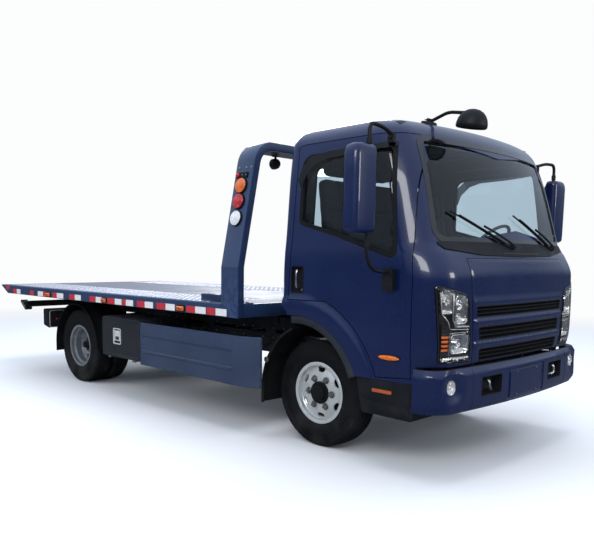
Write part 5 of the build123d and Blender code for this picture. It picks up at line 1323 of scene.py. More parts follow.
def makeDoor(name, side):
    def place(u, v, out=0.0):
        return cab.place(side * u, v, out * (1 if side > 0 else 1))

    def put(u, v, out=0.0):
        point = cab.place(u, v, out)
        return Vector((point.x, side * point.y, point.z))

    body = "door_" + name
    loop = tidied(viewed(grown(doorLoop, doorShape["gap"] * -1), cab.fromSide))
    window = tidied(viewed(outlines["sideWindow"], cab.fromSide))
    handle = tidied(viewed(handleHole, cab.fromSide, 0.01))
    points, faces = filled(loop, [window, handle], 0.026)
    makePanel(
        "doorSheet_" + name, points, faces, lambda u, v: put(u, v), body, "cab_blue", ("cabPaint", "cabinTrim"),
        (body,), thick=doorShape["sheet"], inner=1,
    )
    # Black seal round the pane, and the pane
    outer = tidied(viewed(outlines["sideWindow"], cab.fromSide))
    inner = tidied(viewed(grown(outlines["sideWindow"], -doorShape["seal"]), cab.fromSide))
    points, faces = filled(outer, [inner], 0.02)
    makePanel(
        "windowSeal_" + name, points, faces, lambda u, v: put(u, v, 0.0015), body, "trim_black", ("rubber",),
        thick=0.022, edge=0.002,
    )
    points, faces = filled(tidied(viewed(grown(outlines["sideWindow"], -0.010), cab.fromSide)), (), 0.05)
    makePanel(
        "sideGlass_" + name, points, faces, lambda u, v: put(u, v, -doorShape["glassInset"]), body, "window_glass",
        ("windowGlass",), ("door_glass_" + name,), thick=0.004, edge=0.0,
    )
    # Smoked visor over the pane's top and rear
    top = [(-0.098, 1.86), (-0.060, 1.95), (0.02, 2.015), (0.16, 2.035), (0.40, 2.037), (0.672, 2.043)]
    low = [(0.672, 2.012), (0.40, 1.992), (0.16, 1.985), (0.06, 1.958), (-0.02, 1.89), (-0.058, 1.80)]
    visor = rounded(top + low, 0.01, 3)
    points, faces = filled(tidied(viewed(visor, cab.fromSide)), (), 0.03)
    makePanel(
        "visor_" + name, points, faces, lambda u, v: put(u, v, 0.016), body, "trim_black", ("smokeVisor",),
        thick=0.003, edge=0.0008,
    )
    # Handle dish and its upright bar
    form = Form()
    rims = [
        [put(*cab.fromSide(*p), 0.0022) for p in grown(handleHole, 0.004)],
        [put(*cab.fromSide(*p), 0.0028) for p in grown(handleHole, 0.0)],
        [put(*cab.fromSide(*p), 0.0015) for p in grown(handleHole, -0.005)],
        [put(*cab.fromSide(*p), -0.020) for p in grown(handleHole, -0.009)],
        [put(*cab.fromSide(*p), -0.026) for p in grown(handleHole, -0.016)],
    ]
    form.rings([[point - Vector((0, side * 0.012, 0)) for point in rims[0]]] + rims, 0, False)
    form.add(rims[-1], [tuple(range(len(rims[-1])))], 0)
    y = abs(put(*cab.fromSide(-0.08, 1.2)).y)
    grip = [(ahead(-0.082), side * (y - 0.018), 1.132), (ahead(-0.082), side * (y + 0.004), 1.146),
            (ahead(-0.082), side * (y + 0.007), 1.2), (ahead(-0.082), side * (y + 0.004), 1.254),
            (ahead(-0.082), side * (y - 0.018), 1.268)]
    form.tube(grip, 0.0085, 1, 14, 0.02)
    form.rod((ahead(-0.045), side * (y - 0.026), 1.125), (ahead(-0.045), side * (y - 0.010), 1.125), 0.009, 1, 20,
             0.001)
    form.save("doorHandle_" + name, body, "trim_black", ("trimBlack", "chromePlate"), outward=True)
    # Amber side lamp in a black socket
    form = Form()
    middle, size = (0.704, 0.7375), (0.079, 0.0155)
    loops = []
    for grow, out in ((0.006, 0.0005), (0.006, 0.003), (0.001, 0.0045), (-0.001, 0.002)):
        loops.append([
            put(*cab.fromSide(middle[0] + (size[0] + grow) * cos(2 * pi * i / 40),
                              middle[1] + (size[1] + grow) * sin(2 * pi * i / 40)), out)
            for i in range(40)
        ])
    form.rings(loops, 0, True)
    loops = []
    for share, out in ((1.0, 0.001), (0.99, 0.005), (0.93, 0.009), (0.75, 0.0125), (0.4, 0.0145), (0.05, 0.015)):
        loops.append([
            put(*cab.fromSide(middle[0] + size[0] * share * cos(2 * pi * i / 40),
                              middle[1] + size[1] * share * sin(2 * pi * i / 40)), out)
            for i in range(40)
        ])
    form.rings(loops, 1, True)
    form.save("sideLamp_" + name, body, "arch_lamp", ("trimBlack", "amberGlow"), sharp=30)
    # Inner card with an armrest and a speaker
    form = Form()
    card = [(0.00 - 0.13, 1.10), (0.12, 1.13), (0.40, 1.02), (0.56, 0.80), (0.64, 0.68), (0.80, 0.66), (0.80, 1.24),
            (0.76, 1.31), (0.20, 1.47), (-0.13, 1.54)]
    card = rounded(card, 0.03, 4)
    low, high = sorted((side * 0.945, side * 0.962))
    form.plate(aheadAll(card), low, high - low, 0, 0.004)
    rest = rounded([(0.02, 1.22), (0.5, 1.16), (0.6, 1.20), (0.5, 1.25), (0.02, 1.30)], 0.02, 4)
    low, high = sorted((side * 0.895, side * 0.948))
    form.plate(aheadAll(rest), low, high - low, 1, 0.008)
    form.revolve([(0, 0.085), (0.006, 0.085), (0.010, 0.078), (0.004, 0.07), (0.006, 0.03), (0.010, 0.002)],
                 (ahead(0.66), side * 0.945, 0.88), (0, -side, 0), 1, 40)
    form.rod((ahead(0.35), side * 0.945, 1.34), (ahead(0.35), side * 0.928, 1.34), 0.012, 1, 20, 0.002)
    form.tube([(ahead(0.35), side * 0.93, 1.34), (ahead(0.35), side * 0.918, 1.34), (ahead(0.42), side * 0.915, 1.31)],
              0.007, 1, 10, 0.01)
    form.save("doorCard_" + name, body, "cabin_trim", ("cabinTrim", "cabinDark"))


for name, side in rightAndLeft:
    makeDoor(name, side)
print("stage: doors")


# Windscreen and rear window with their rubber surrounds
def makeScreens():
    loop = tidied(viewed(grown(outlines["screen"], 0.004), cab.fromFront))
    inner = tidied(viewed(grown(outlines["screen"], -0.034), cab.fromFront))
    points, faces = filled(loop, [inner], 0.025)
    makePanel("screenSurround", points, faces, lambda u, v: cab.place(u, v, 0.0025), "cab", "trim_black",
              ("glossBlack",), thick=0.014, edge=0.002)
    points, faces = filled(tidied(viewed(grown(outlines["screen"], -0.006), cab.fromFront)), (), 0.05)
    makePanel("windscreen", points, faces, lambda u, v: cab.place(u, v, -0.006), "cab", "window_glass",
              ("screenGlass",), ("cab_glass",), thick=0.005, edge=0.0)
    for name, grow, out, thick, material, step in (
        ("rearSeal", 0.004, 0.003, 0.016, "rubber", 0.03), ("rearGlass", -0.006, -0.005, 0.004, "screenGlass", 0.06),
    ):
        outline = grown(outlines["rearWindow"], grow)

        def wide(points, step=0.03):
            out = []
            for y, z in dense(points, step):
                u, v = cab.fromRear(abs(y), z)
                out.append((girthEnd - u if y > 0 else u - girthEnd, v))
            return out

        holes = [tidied(wide(grown(outlines["rearWindow"], -0.022)))] if name == "rearSeal" else []
        points, faces = filled(tidied(wide(outline)), holes, step)

        def behind(a, v, out=out):
            point = cab.place(girthEnd - abs(a), v, out)
            return Vector((point.x, abs(point.y) * (1 if a > 0 else -1), point.z))

        makePanel(name, points, faces, behind, "cab", "window_glass" if name == "rearGlass" else "trim_black",
                  (material,), thick=thick, edge=0.0015 if name == "rearSeal" else 0.0)
    # Cowl under the screen, its slots, and the wipers
    cowl = [(-0.875, 1.452), (-0.82, 1.405), (-0.5, 1.372), (0.0, 1.362), (0.5, 1.372), (0.82, 1.405), (0.875, 1.452)]
    points, faces = filled(tidied(viewed(rounded(cowl, 0.02, 3), cab.fromFront)), (), 0.025)
    makePanel("cowl", points, faces, lambda u, v: cab.place(u, v, 0.006), "cab", "trim_black", ("trimBlack",),
              thick=0.010, edge=0.002)
    form = Form()
    for i in range(-11, 12):
        a = cab.fromFront(i * 0.022, 1.383)
        rows = []
        for da, dv in ((-0.006, -0.004), (0.006, -0.004), (0.006, 0.004), (-0.006, 0.004)):
            rows.append((a[0] + da, a[1] + dv))
        form.rings([[cab.place(u, v, out) for u, v in rows] for out in (0.004, 0.0085)], 0)
    for pivot, angle in ((-0.12, 157), (0.56, 157)):
        base = cab.fromFront(pivot, 1.425)
        foot = cab.place(*base, 0.004)
        normal = cab.normal(*base)
        form.revolve([(0, 0.022), (0.012, 0.020), (0.022, 0.017), (0.028, 0.010), (0.029, 0.001)], foot, normal, 1, 24)

        def reach(along, lift, sideways=0.0, pivot=pivot, angle=angle):
            a = radians(angle)
            y = pivot + along * cos(a)
            z = 1.425 + along * sin(a) * 0.93
            y, z = y - sideways * sin(a), z + sideways * cos(a)
            return cab.place(*cab.fromFront(y, z), lift)

        form.tube([reach(0.0, 0.028), reach(0.07, 0.034), reach(0.2, 0.036), reach(0.33, 0.030)], 0.0075, 1, 10, 0.03)
        # The blade crosses the arm's end
        for low, high, lift, thick in ((0.03, 0.62, 0.012, 0.0055), (0.10, 0.55, 0.022, 0.006)):
            points = [reach(low + (high - low) * i / 12, lift, 0.02) for i in range(13)]
            form.tube(points, thick, 1, 8)
        for along in (0.12, 0.22, 0.33, 0.44, 0.53):
            form.tube([reach(along, 0.012, 0.02), reach(along, 0.024, 0.02)], 0.007, 1, 8)
    form.save("wipers", "cab", "trim_black", ("glossBlack", "trimBlack"))


makeScreens()
print("stage: glass")


# Mask between the lamps: grille slots with bars, raised ribs, and the dark trapezoid at its foot
grilleRows = ((0.987, 1.059, 0.596, 0.604), (0.844, 0.929, 0.560, 0.572), (0.712, 0.792, 0.540, 0.556))


def slotLoop(row, grow=0.0, corner=0.014):
    low, high, narrow, wide = row
    loop = [(-narrow, low), (narrow, low), (wide, high), (-wide, high)]
    return rounded(grown(loop, grow), corner, 4)


def rib(form, skin, reach, rows, kind=0, steps=48):
    # A bar that follows the skin across the front, its ends pulled in to nothing
    loops = []
    for i in range(steps + 1):
        y = -reach + 2 * reach * i / steps
        taper = min(1.0, (1 - abs(y) / reach) * 9)
        loops.append([
            skin.place(*skin.fromFront(y, z), out * taper if out > 0 else out) for out, z in rows
        ])
    form.rings(loops, kind)


def makeMask():
    gap = 0.0045
    outline = tidied(viewed(grown(outlines["mask"], -gap), cab.fromFront))
    holes = [tidied(viewed(slotLoop(row), cab.fromFront, 0.012)) for row in grilleRows]
    rows = []
    for z in (0.704, 0.800, 0.812, 0.824, 0.836, 0.938, 0.950, 0.965, 0.978, 1.066, 1.08, 1.10, 1.13, 1.30, 1.33,
              1.342):
        for i in range(-26, 27):
            rows.append(cab.fromFront(i * 0.0245, z))
    relief = smoothTable((
        (0.60, 0.0, 0), (0.700, 0.0, 0), (0.706, 0.004, 0), (0.796, 0.005, 0), (0.803, 0.013, 0), (0.828, 0.0135, 0),
        (0.838, 0.005, 0), (0.932, 0.005, 0), (0.940, 0.013, 0), (0.968, 0.0145, 0), (0.980, 0.006, 0),
        (1.062, 0.006, 0), (1.074, 0.0125, 0), (1.092, 0.010, 0), (1.13, 0.0055, 0), (1.30, 0.0065, 0),
        (1.336, 0.009, 0), (1.350, 0.006, 0), (1.40, 0.0, 0),
    ))

    def place(u, v):
        flat = cab.flat(u, v)
        edge = min(1.0, max(0.0, (maskFoot + (v - 0.7) * maskSpread - gap - abs(flat.y)) / 0.03))
        return cab.place(u, v, relief(v)[0] * edge**0.5)

    points, faces = filled(outline, holes, 0.017, rows)
    makePanel("mask", points, faces, place, "cab", "cab_blue", ("cabPaint", "trimBlack"), ("front_panel",),
              thick=0.012, inner=1, sharp=50)
    form = Form()
    for row in grilleRows:
        base = dense(slotLoop(row), 0.03)
        form.rings([
            [cab.place(*cab.fromFront(*p), out) for p in grown(base, grow)]
            for grow, out in ((0.003, 0.004), (-0.001, 0.0065), (-0.006, 0.004), (-0.008, -0.028))
        ], 0, False)
        low, high, narrow = row[:3]
        levels = 2
        for i in range(1, levels + 1):
            z = low + (high - low) * i / (levels + 1)
            rows = [(-0.006, z - 0.0035), (-0.001, z - 0.002), (0.0, z), (-0.001, z + 0.002), (-0.006, z + 0.0035),
                    (-0.022, z + 0.003), (-0.022, z - 0.003)]
            rib(form, cab, narrow - 0.006, rows, 0, 30)
        count = int(2 * narrow / 0.036)
        for i in range(1, count):
            y = -narrow + 2 * narrow * i / count
            loops = []
            for z in (low - 0.002, (low + high) / 2, high + 0.002):
                loops.append([
                    cab.place(*cab.fromFront(y + dy, z), out)
                    for dy, out in ((-0.0035, -0.024), (-0.0035, -0.009), (0.0, -0.004), (0.0035, -0.009),
                                    (0.0035, -0.024))
                ])
            form.rings(loops, 0)
        backing, faces = filled(tidied(dense(slotLoop(row, 0.012), 0.03)), (), 0.03)
        form.add([cab.place(*cab.fromFront(*p), -0.030) for p in backing], faces, 0)
    form.save("grilleBars", "cab", "trim_black", ("trimBlack",), ("grilles",), sharp=40)


makeMask()


# Headlamps: a deep black dish, chrome pods and strips, amber bars, and a clear crowned lens
def makeHeadlamp(name, side):
    base = outlines["lamp"]
    body, slot = "cab", "lamp_glass"

    def put(y, z, out):
        point = cab.place(*cab.fromFront(y, z), out)
        return Vector((point.x, side * point.y, point.z))

    dark = Form()
    loop = dense(base, 0.012)
    rows = []
    for grow, out in ((-0.003, -0.012), (-0.003, 0.0015), (-0.0075, 0.0035), (-0.0125, 0.001), (-0.016, -0.046)):
        rows.append([put(*p, out) for p in grown(loop, grow)])
    dark.rings(rows, 0, False)
    points, faces = filled(tidied(grown(loop, -0.016)), (), 0.03)
    dark.add([put(*p, -0.046) for p in points], faces, 0)

    def dish(y0, y1, z0, z1, near, deep, kind, rim=0.006, corner=0.02):
        # An open reflector: a rounded rim and a bowl behind it
        shape = dense(rounded([(y0, z0), (y1, z0), (y1, z1), (y0, z1)], corner, 6), 0.01)
        rows = []
        for grow, out in ((0.0, near - 0.02), (0.0, near), (-rim * 0.5, near + 0.002), (-rim, near),
                          (-rim - 0.004, near - (near - deep) * 0.4), (-rim - 0.011, near - (near - deep) * 0.8),
                          (-rim - 0.020, deep)):
            rows.append([put(*p, out) for p in grown(shape, grow)])
        dark.rings(rows, kind, False)
        points, faces = filled(tidied(grown(shape, -rim - 0.020)), (), 0.02)
        dark.add([put(*p, deep) for p in points], faces, kind)

    dish(0.690, 0.812, 0.955, 1.130, -0.006, -0.036, 1, 0.007, 0.03)
    dish(0.836, 0.905, 1.020, 1.160, -0.014, -0.036, 1, 0.004, 0.014)
    dish(0.660, 0.838, 0.776, 0.896, -0.010, -0.040, 1, 0.006, 0.026)
    # Round lamps in the bowls
    for y, z, size, deep in ((0.752, 1.070, 0.030, -0.034), (0.752, 1.000, 0.019, -0.034), (0.87, 1.09, 0.016, -0.034),
                             (0.748, 0.836, 0.026, -0.038)):
        middle, axis = put(y, z, deep), put(y, z, deep + 0.01) - put(y, z, deep)
        dark.revolve([(0.0, size), (0.012, size * 1.02), (0.014, size * 0.92), (0.006, size * 0.55),
                      (0.012, size * 0.3), (0.020, size * 0.26), (0.022, 0.001)], middle, axis, 1, 28)
    # Chrome hook round the pod, and the fine bright line round the lamp
    for path, radius in (
        ([(0.826, 1.15), (0.828, 0.985), (0.800, 0.942), (0.668, 0.938)], 0.0065),
        ([(0.916, 1.150), (0.905, 1.02), (0.868, 0.978), (0.850, 0.93), (0.668, 0.920)], 0.004),
        ([(0.652, 0.774), (0.652, 0.905), (0.848, 0.905), (0.850, 0.774)], 0.003),
    ):
        dark.tube([put(y, z, -0.007) for y, z in opened(path, 0.02)], radius, 1, 10)
    # Amber bars at the outer lower side
    for i in range(4):
        z = 0.804 + i * 0.026
        rows = []
        for y in (0.862, 0.875, 0.888, 0.901, 0.914):
            rows.append([put(y, z + dz, out) for dz, out in (
                (-0.007, -0.020), (-0.007, -0.006), (0.007, -0.004), (0.007, -0.020))])
        dark.rings(rows, 2)
    # Clear strip of small lamps along the foot
    for i in range(13):
        y = 0.662 + i * 0.0195
        middle, axis = put(y, 0.748, -0.024), put(y, 0.748, -0.01) - put(y, 0.748, -0.024)
        dark.revolve([(0.0, 0.0085), (0.012, 0.0088), (0.0125, 0.0075), (0.004, 0.003), (0.0045, 0.0005)], middle, axis,
                     1, 14)
    rows = []
    for i in range(25):
        y = 0.650 + 0.262 * i / 24
        rows.append([put(y, z, out) for z, out in ((0.732, -0.03), (0.732, -0.008), (0.735, -0.006), (0.738, -0.03))])
    dark.rings(rows, 1)
    rows = []
    for i in range(9):
        y = 0.690 + 0.105 * i / 8
        rows.append([put(y, z, out) for z, out in ((0.945, -0.03), (0.945, -0.010), (0.951, -0.010), (0.951, -0.03))])
    dark.rings(rows, 1)
    dark.save("lampHousing_" + name, body, slot, ("glossBlack", "chromePlate", "amberGlow"),
              ("headlamps",) if side < 0 else (), sharp=38)
    points, faces = filled(tidied(grown(loop, -0.0085)), (), 0.02)
    points2 = points

    def crown(u, v):
        edge = min(far2((u, v), loop) / 0.05, 1.0)
        return put(u, v, 0.0005 + 0.006 * edge**0.6)

    makePanel("lampLens_" + name, points2, faces, crown, body, slot, ("lampLens",), thick=0.003, edge=0.0)


def far2(point, outline):
    best = 1.0
    x, y = point
    for (ax, ay), (bx, by) in zip(outline, outline[1:] + outline[:1]):
        dx, dy = bx - ax, by - ay
        size = dx * dx + dy * dy or 1e-12
        share = min(1, max(0, ((x - ax) * dx + (y - ay) * dy) / size))
        best = min(best, hypot(x - ax - dx * share, y - ay - dy * share))
    return best


for name, side in rightAndLeft:
    makeHeadlamp(name, side)
print("stage: mask and lamps")


# Bumper: a deep skin with dished round lamps, hook windows, a bare plate recess and a seam each side
bumperSizes = {"hook": (0.458, 0.561, 0.110, 0.058), "fog": (0.860, 0.582), "seam": 0.665}


def makeBumper():
    hookY, hookZ, hookHalf, hookRise = bumperSizes["hook"]
    fogY, fogZ = bumperSizes["fog"]
    dishMiddle = bumper.fromFront(fogY, fogZ)

    def dent(u, v):
        away = hypot((abs(u) - dishMiddle[0]), (v - dishMiddle[1]) * 1.05)
        return -0.026 * max(0.0, 1 - (away / 0.125) ** 2) ** 1.5

    crease = smoothTable((
        (0.38, -0.004, 0), (0.425, -0.001, 0), (0.450, 0.0, 0), (0.500, 0.0, 0), (0.640, -0.0005, 0),
        (0.655, -0.002, 0), (0.668, -0.0085, 0), (0.700, -0.012, 0), (0.8, -0.012, 0),
    ))

    def place(u, v):
        flat = bumper.flat(u, v)
        plate = 1.0 if abs(flat.y) < 0.262 and 0.432 < v < 0.640 else 0.0
        return bumper.place(u, v, crease(v)[0] + dent(u, v) - 0.006 * plate)

    corner = bumper.fromSide(0.895, 0.55)[0]
    outline = dense([(-corner, 0.418), (corner, 0.418), (corner, 0.693), (-corner, 0.693)], 0.02)
    holes = []
    for side in (-1, 1):
        shape = [(side * (hookY - hookHalf), hookZ - hookRise), (side * (hookY + hookHalf), hookZ - hookRise),
                 (side * (hookY + hookHalf), hookZ + hookRise), (side * (hookY - hookHalf), hookZ + hookRise)]
        holes.append(tidied(viewed(rounded(shape, 0.008, 3), bumper.fromFront, 0.015)))
        ring = [(dishMiddle[0] + 0.047 * cos(2 * pi * i / 32), dishMiddle[1] + 0.047 * sin(2 * pi * i / 32))
                for i in range(32)]
        holes.append([(side * u, v) for u, v in ring])
    extra = []
    for side in (-1, 1):
        for reach in (0.06, 0.075, 0.09, 0.105, 0.118, 0.13):
            for i in range(36):
                angle = 2 * pi * i / 36
                extra.append((side * (dishMiddle[0] + reach * cos(angle)), dishMiddle[1] + reach * sin(angle)))
        for z in [0.425 + 0.012 * i for i in range(19)]:
            for dy in (-0.264, -0.260):
                extra.append(bumper.fromFront(side * -dy, z))
    for i in range(-42, 43):
        for z in (0.430, 0.434, 0.638, 0.642, 0.655, 0.662, 0.668, 0.680):
            extra.append(bumper.fromFront(i * 0.0125 * (1 if abs(i) < 43 else 1), z) if abs(i * 0.0125) < 0.5 else
                         (i * 0.024, z))
    points, faces = filled(tidied(outline), holes, 0.024, extra)
    makePanel("bumperSkin", points, faces, place, "chassis", "cab_blue", ("cabPaint", "trimBlack"), ("front_bumper",),
              thick=0.008, inner=1, sharp=28)
    form = Form()
    for side in (-1, 1):
        # Black box behind each hook window, with its bright hook
        y0, y1 = sorted((side * (hookY - hookHalf), side * (hookY + hookHalf)))
        shape = rounded([(y0, hookZ - hookRise), (y1, hookZ - hookRise), (y1, hookZ + hookRise),
                         (y0, hookZ + hookRise)],
                        0.008, 3)
        rows = []
        for grow, out in ((0.006, 0.0005), (0.004, 0.003), (-0.001, 0.002), (-0.003, -0.075)):
            rows.append([bumper.place(*bumper.fromFront(*p), out) for p in grown(shape, grow)])
        form.rings(rows, 0, False)
        form.add(rows[-1], [tuple(range(len(rows[-1])))], 0)
        x = ahead(1.100)
        y = side * (hookY + 0.012)
        form.tube([(x - 0.07, y, hookZ + 0.03), (x - 0.012, y, hookZ + 0.03), (x - 0.004, y, hookZ - 0.028),
                   (x - 0.018, y - side * 0.045, hookZ - 0.036), (x - 0.07, y - side * 0.05, hookZ - 0.03)],
                  0.0105, 1, 16, 0.02)
        form.box((x - 0.075, y - 0.045, hookZ - 0.05), (x - 0.062, y + 0.03, hookZ + 0.05), 0, 0.003)
        # Seam beside the hook window
        rows = []
        for i in range(24):
            z = 0.421 + 0.268 * i / 23
            rows.append([
                bumper.place(*bumper.fromFront(side * (bumperSizes["seam"] + dx), z), crease(z)[0] + out)
                for dx, out in ((-0.0022, -0.004), (-0.0022, 0.0006), (0.0022, 0.0006), (0.0022, -0.004))
            ])
        form.rings(rows, 2)
    # Bare plate with two screws
    rows = []
    for grow, out in ((0.0, -0.006), (0.0, 0.0), (-0.002, 0.0015), (-0.006, 0.0015), (-0.008, -0.0005)):
        loop = dense(rounded([(-0.232, 0.446), (0.232, 0.446), (0.232, 0.626), (-0.232, 0.626)], 0.01, 4), 0.03)
        rows.append([bumper.place(*bumper.fromFront(*p), out - 0.001) for p in grown(loop, grow)])
    form.rings(rows, 3, False)
    points, faces = filled(tidied(grown(loop, -0.008)), (), 0.05)
    form.add([bumper.place(*bumper.fromFront(*p), -0.0015) for p in points], faces, 3)
    for y in (-0.14, 0.14):
        for z in (0.458, 0.612):
            spot = bumper.place(*bumper.fromFront(y, z), 0.0)
            form.revolve([(0, 0.007), (0.003, 0.0065), (0.004, 0.004), (0.0035, 0.0005)], spot, (1, 0, 0), 1, 18)
    # Inner beam and brackets to the frame
    form.box((ahead(1.02), -0.74, 0.485), (ahead(1.055), 0.74, 0.640), 0, 0.008)
    for side in (-1, 1):
        low, high = sorted((side * 0.315, side * 0.344))
        form.box((ahead(0.875), low, 0.53), (ahead(1.03), high, 0.60), 0, 0.004)
    # Black strip between bumper and cab
    rows = []
    for i in range(61):
        u = -corner + 2 * corner * i / 60
        rows.append([bumper.place(u, v, out) for v, out in (
            (0.690, -0.03), (0.6905, -0.016), (0.699, -0.02), (0.699, -0.05))])
    form.rings(rows, 0)
    form.save("bumperFittings", "chassis", "trim_black",
              ("trimBlack", "bareSteel", "glossBlack", "cabPaint"), sharp=38)


def makeFogLamps():
    fogY, fogZ = bumperSizes["fog"]
    form = Form()
    for side in (-1, 1):
        u, v = bumper.fromFront(fogY, fogZ)
        middle, axis = bumper.place(u, v, -0.028), bumper.normal(u, v)
        middle, axis = Vector((middle.x, side * middle.y, middle.z)), Vector((axis.x, side * axis.y, axis.z))
        form.revolve([(-0.03, 0.050), (-0.004, 0.050), (0.004, 0.049), (0.007, 0.046), (0.004, 0.043), (-0.006, 0.042)],
                     middle, axis, 0, 40)
        form.revolve([(0.006, 0.042), (-0.004, 0.038), (-0.016, 0.026), (-0.022, 0.012), (-0.010, 0.009),
                      (-0.006, 0.001)],
                     middle, axis, 1, 40)
        form.revolve([(0.003, 0.043), (0.007, 0.040), (0.012, 0.030), (0.0155, 0.016), (0.0165, 0.001)], middle, axis,
                     2, 40)
        form.revolve([(-0.046, 0.001), (-0.046, 0.048), (-0.03, 0.050)], middle, axis, 0, 40)
    form.save("fogLampUnits", "chassis", "lamp_glass", ("chromePlate", "lampBowl", "lampLens"), ("fog_lamps",))


makeBumper()
makeFogLamps()
print("stage: bumper")


# Mirrors: painted heads on bent arms, with their glass to the rear
def makeMirror(name, side):
    body = "door_" + name
    form = Form()
    headY = 1.292
    inner = side * (headY - 0.062)
    form.tube(
        [(ahead(0.655), side * 0.962, 2.086), (ahead(0.672), side * 1.09, 2.118), (ahead(0.684), inner, 2.122),
         (ahead(0.684), inner, 1.352), (ahead(0.684), side * (headY - 0.12), 1.276),
         (ahead(0.706), side * 1.036, 1.262)], 0.0118, 0, 18, 0.05,
    )
    low, high = sorted((side * 1.0125, side * 1.05))
    form.box((ahead(0.669), low, 1.152), (ahead(0.743), high, 1.283), 0, 0.012)
    for z in (1.172, 1.262):
        form.revolve([(0, 0.009), (0.004, 0.009), (0.006, 0.006), (0.005, 0.001)], (ahead(0.706), side * 1.05, z),
                     (0, side, 0), 0, 18)
    low, high = sorted((side * 0.960, side * 0.988))
    form.box((ahead(0.632), low, 2.042), (ahead(0.671), high, 2.099), 0, 0.007)
    form.rod((ahead(0.652), side * 0.985, 2.075), (ahead(0.652), side * 0.996, 2.078), 0.014, 0, 20, 0.002)
    for z in (2.02, 1.43):
        form.rod((ahead(0.684), inner, z - 0.02), (ahead(0.684), inner, z + 0.02), 0.0165, 0, 22, 0.003)

    def section(z, grow, shift=0.0):
        # height, half depth along the truck, half width, centre
        rows = ((1.492, 0.026, 0.080), (1.500, 0.040, 0.094), (1.512, 0.0455, 0.1015), (1.56, 0.047, 0.103),
                (1.93, 0.048, 0.104), (1.965, 0.046, 0.100), (1.985, 0.040, 0.090), (1.994, 0.028, 0.076))
        half = smoothTable(rows)(z)
        middle = headY - max(0.0, z - 1.94) * 0.24
        loop = rounded([(-half[0], -half[1]), (half[0], -half[1]), (half[0], half[1]), (-half[0], half[1])],
                       [0.018, min(0.038, half[0]), min(0.038, half[0]), 0.018], 5)
        return [(ahead(0.679 + shift) + a, side * (middle + b), z) for a, b in grown(loop, grow)]

    levels = (1.492, 1.495, 1.500, 1.508, 1.52, 1.56, 1.70, 1.85, 1.93, 1.95, 1.965, 1.977, 1.986, 1.992, 1.994)
    form.rings([section(z, 0.0) for z in levels], 1)
    # Glass set into the rear, with a black rim
    x = ahead(0.679 - 0.0485)
    shape = rounded([(headY - 0.088, 1.535), (headY + 0.088, 1.535), (headY + 0.088, 1.93), (headY + 0.072, 1.958),
                     (headY - 0.088, 1.958)], [0.02, 0.02, 0.02, 0.02, 0.02], 5)
    rows = []
    for grow, out in ((0.008, 0.006), (0.006, -0.004), (0.0, -0.006), (-0.004, -0.003)):
        rows.append([(x + out, side * y, z) for y, z in grown(shape, grow)])
    form.rings(rows, 0, False)
    glass = [(x - 0.002, side * y, z) for y, z in grown(shape, -0.004)]
    form.add(glass, [tuple(range(len(glass)))], 2)
    if side > 0:
        # Small round-cornered wide-angle mirror below, on the far side
        form.tube([(ahead(0.684), inner, 1.44), (ahead(0.684), side * (headY + 0.03), 1.43)], 0.008, 0, 12)
        small = rounded([(headY - 0.055, 1.335), (headY + 0.075, 1.335), (headY + 0.075, 1.47), (headY - 0.055, 1.47)],
                        0.025, 5)
        rows = []
        for grow, out in ((-0.02, 0.045), (-0.006, 0.036), (0.0, 0.015), (0.0, -0.008), (-0.006, -0.012),
                          (-0.008, -0.008)):
            rows.append([(ahead(0.665) + out, side * y, z) for y, z in grown(small, grow)])
        form.rings(rows, 0, True)
    form.save("mirrorUnit_" + name, body, "mirror_blue", ("trimBlack", "cabPaint", "mirrorGlass"), ("mirror_" + name,),
              sharp=42)


for name, side in rightAndLeft:
    makeMirror(name, side)


